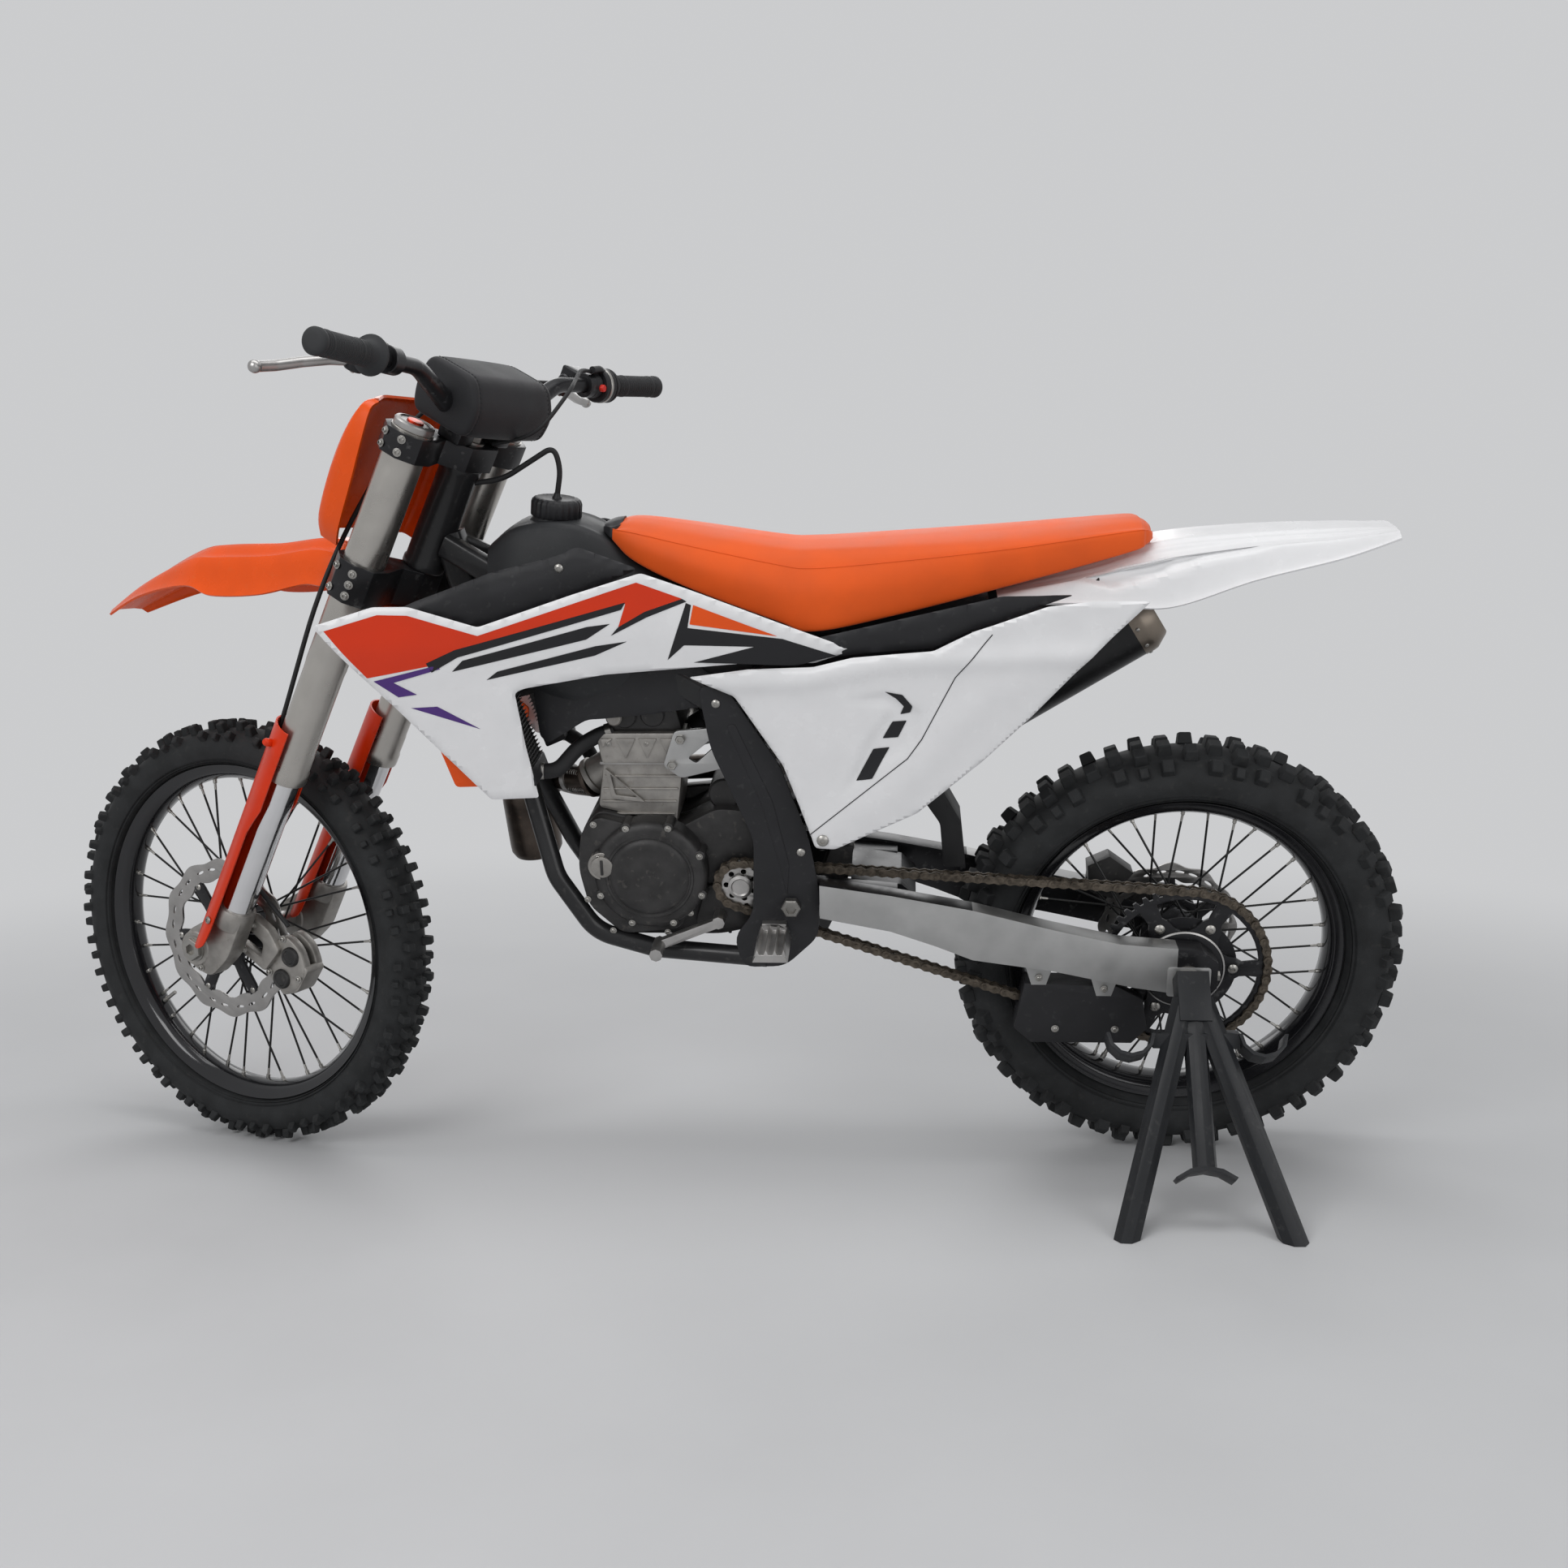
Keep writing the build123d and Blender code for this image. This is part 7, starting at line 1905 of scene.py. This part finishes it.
def buildShock():
    low, high = Vector((510, 0, 500)), Vector((650, 0, 716))
    size = (high - low).length
    pieces = [roundBar("damper", low, high, [(0.5, -6), (14, -4), (17, 0), (17, 22), (9, 24), (9, 70),
        (24, 74), (24, size - 24), (18, size - 20), (17, size), (0.5, size + 4)], bikePlace, castSilver, 40)]
    for along in (26, size - 34):
        pieces.append(roundBar("springSeat", low, high, [(9, along), (34, along), (35, along + 2),
            (34, along + 6), (9, along + 6)], bikePlace, anodBlack, 40))
    useAs(joined("shockBody", pieces), "chassis", "shock")
    place = alongPlace(Matrix.Identity(4), low, high)
    turns = 6.5
    path = []
    for step in range(int(turns * 20) + 1):
        a = 2 * math.pi * step / 20
        path.append(place @ Vector((29 * math.cos(a), 29 * math.sin(a),
            36 + (size - 74) * step / (turns * 20))))
    spring = ringPiece("shockSpring", sweepRings(path, circleOf(5.4, 12)), bikePlace, springWhite, 60)
    use(spring, "chassis", "shock")


buildRear()
buildShock()
print("rear ready")


# Floor, light and camera.
stage = dict(floorSize=30.0, colour=(0.6, 0.605, 0.615), worldLight=0.55, key=54, fill=24, back=28, top=37,
    fadeFrom=1.3, fadeTo=3.4)


def seenRay(nodes, link):  # 1 for a camera, glossy or transmission ray
    path = addNode(nodes, "LightPath")
    first, second = addNode(nodes, "Math"), addNode(nodes, "Math")
    first.operation = second.operation = "MAXIMUM"
    link(path.outputs["Is Camera Ray"], first.inputs[0])
    link(path.outputs["Is Glossy Ray"], first.inputs[1])
    link(first.outputs[0], second.inputs[0])
    link(path.outputs["Is Transmission Ray"], second.inputs[1])
    return second.outputs[0]


def floorFinish():  # far off, the floor runs into the backdrop
    material = finish("paleFloor", stage["colour"], 0.6, grain=(80, 0.02), blotch=(3, 0.02))
    nodes, link = material.node_tree.nodes, material.node_tree.links.new
    out = next(node for node in nodes if node.type == "OUTPUT_MATERIAL")
    lit = out.inputs["Surface"].links[0].from_socket
    glow = addNode(nodes, "Emission", Color=(*stage["colour"], 1))
    reach = addNode(nodes, "VectorMath")
    reach.operation = "LENGTH"
    link(addNode(nodes, "TexCoord").outputs["Object"], reach.inputs[0])
    fade = addNode(nodes, "MapRange", From_Min=stage["fadeFrom"], From_Max=stage["fadeTo"])
    fade.interpolation_type = "SMOOTHSTEP"
    link(reach.outputs["Value"], fade.inputs["Value"])
    share = addNode(nodes, "Math")
    share.operation = "MULTIPLY"
    link(fade.outputs["Result"], share.inputs[0])
    link(seenRay(nodes, link), share.inputs[1])
    mix = addNode(nodes, "MixShader")
    link(share.outputs[0], mix.inputs["Fac"])
    link(lit, mix.inputs[1])
    link(glow.outputs[0], mix.inputs[2])
    link(mix.outputs[0], out.inputs["Surface"])
    return material


def buildStage():
    half = stage["floorSize"] / 2
    corners = [(-half, -half, 0), (half, -half, 0), (half, half, 0), (-half, half, 0)]
    floor = newObject("floor", newMesh("floor", corners, [(0, 1, 2, 3)]))
    floor.location.z = -0.0006
    floor.data.materials.append(floorFinish())
    world = bpy.data.worlds.new("studio")
    scene.world = world
    world.use_nodes = True
    nodes, link = world.node_tree.nodes, world.node_tree.links.new
    back = nodes["Background"]
    back.inputs["Color"].default_value = (*stage["colour"], 1)
    seen = addNode(nodes, "MapRange", To_Min=stage["worldLight"], To_Max=1.0)
    link(seenRay(nodes, link), seen.inputs["Value"])
    link(seen.outputs["Result"], back.inputs["Strength"])
    for word, where, aimHeight, size in (("key", (1.6, 3.0, 2.6), 0.5, (2.2, 1.6)),
            ("fill", (-2.6, 2.4, 1.6), 0.5, (2.0, 2.0)), ("top", (0, 0.2, 3.4), 0.4, (3.4, 1.4)),
            ("back", (0.4, -3.2, 2.4), 0.6, (3.0, 1.6))):
        data = bpy.data.lights.new(word + "Lamp", "AREA")
        data.shape, data.size, data.size_y = "RECTANGLE", *size
        data.energy = stage[word]
        light = newObject(word + "Lamp", data)
        light.location = where
        light.rotation_euler = (Vector((0, 0, aimHeight)) - Vector(where)).to_track_quat("-Z", "Y").to_euler()


buildStage()


view = dict(where=(-0.30933, 2.29965, 0.89455), yaw=0.0671778, pitch=0.1210109, roll=-0.0080092, lens=37.06,
    shift=-0.00543)


def buildCamera():
    yaw, pitch, roll = view["yaw"], view["pitch"], view["roll"]
    flat = Vector((math.sin(yaw), -math.cos(yaw), 0))
    right = Vector((-math.cos(yaw), -math.sin(yaw), 0))
    up = Vector((0, 0, 1))
    ahead = flat * math.cos(pitch) - up * math.sin(pitch)
    above = up * math.cos(pitch) + flat * math.sin(pitch)
    across = right * math.cos(roll) + above * math.sin(roll)
    above = above * math.cos(roll) - right * math.sin(roll)
    turn = Matrix((across, above, -ahead)).transposed().to_4x4()
    data = bpy.data.cameras.new("camera")
    data.sensor_width, data.lens, data.shift_x = 36, view["lens"], view["shift"]
    data.clip_start, data.clip_end = 0.05, 50
    camera = newObject("camera", data)
    camera.matrix_world = Matrix.Translation(view["where"]) @ turn
    scene.camera = camera
    scene.view_settings.view_transform = "Standard"


buildCamera()

for item in items.values():
    bpy.data.objects.remove(item)
print("done")
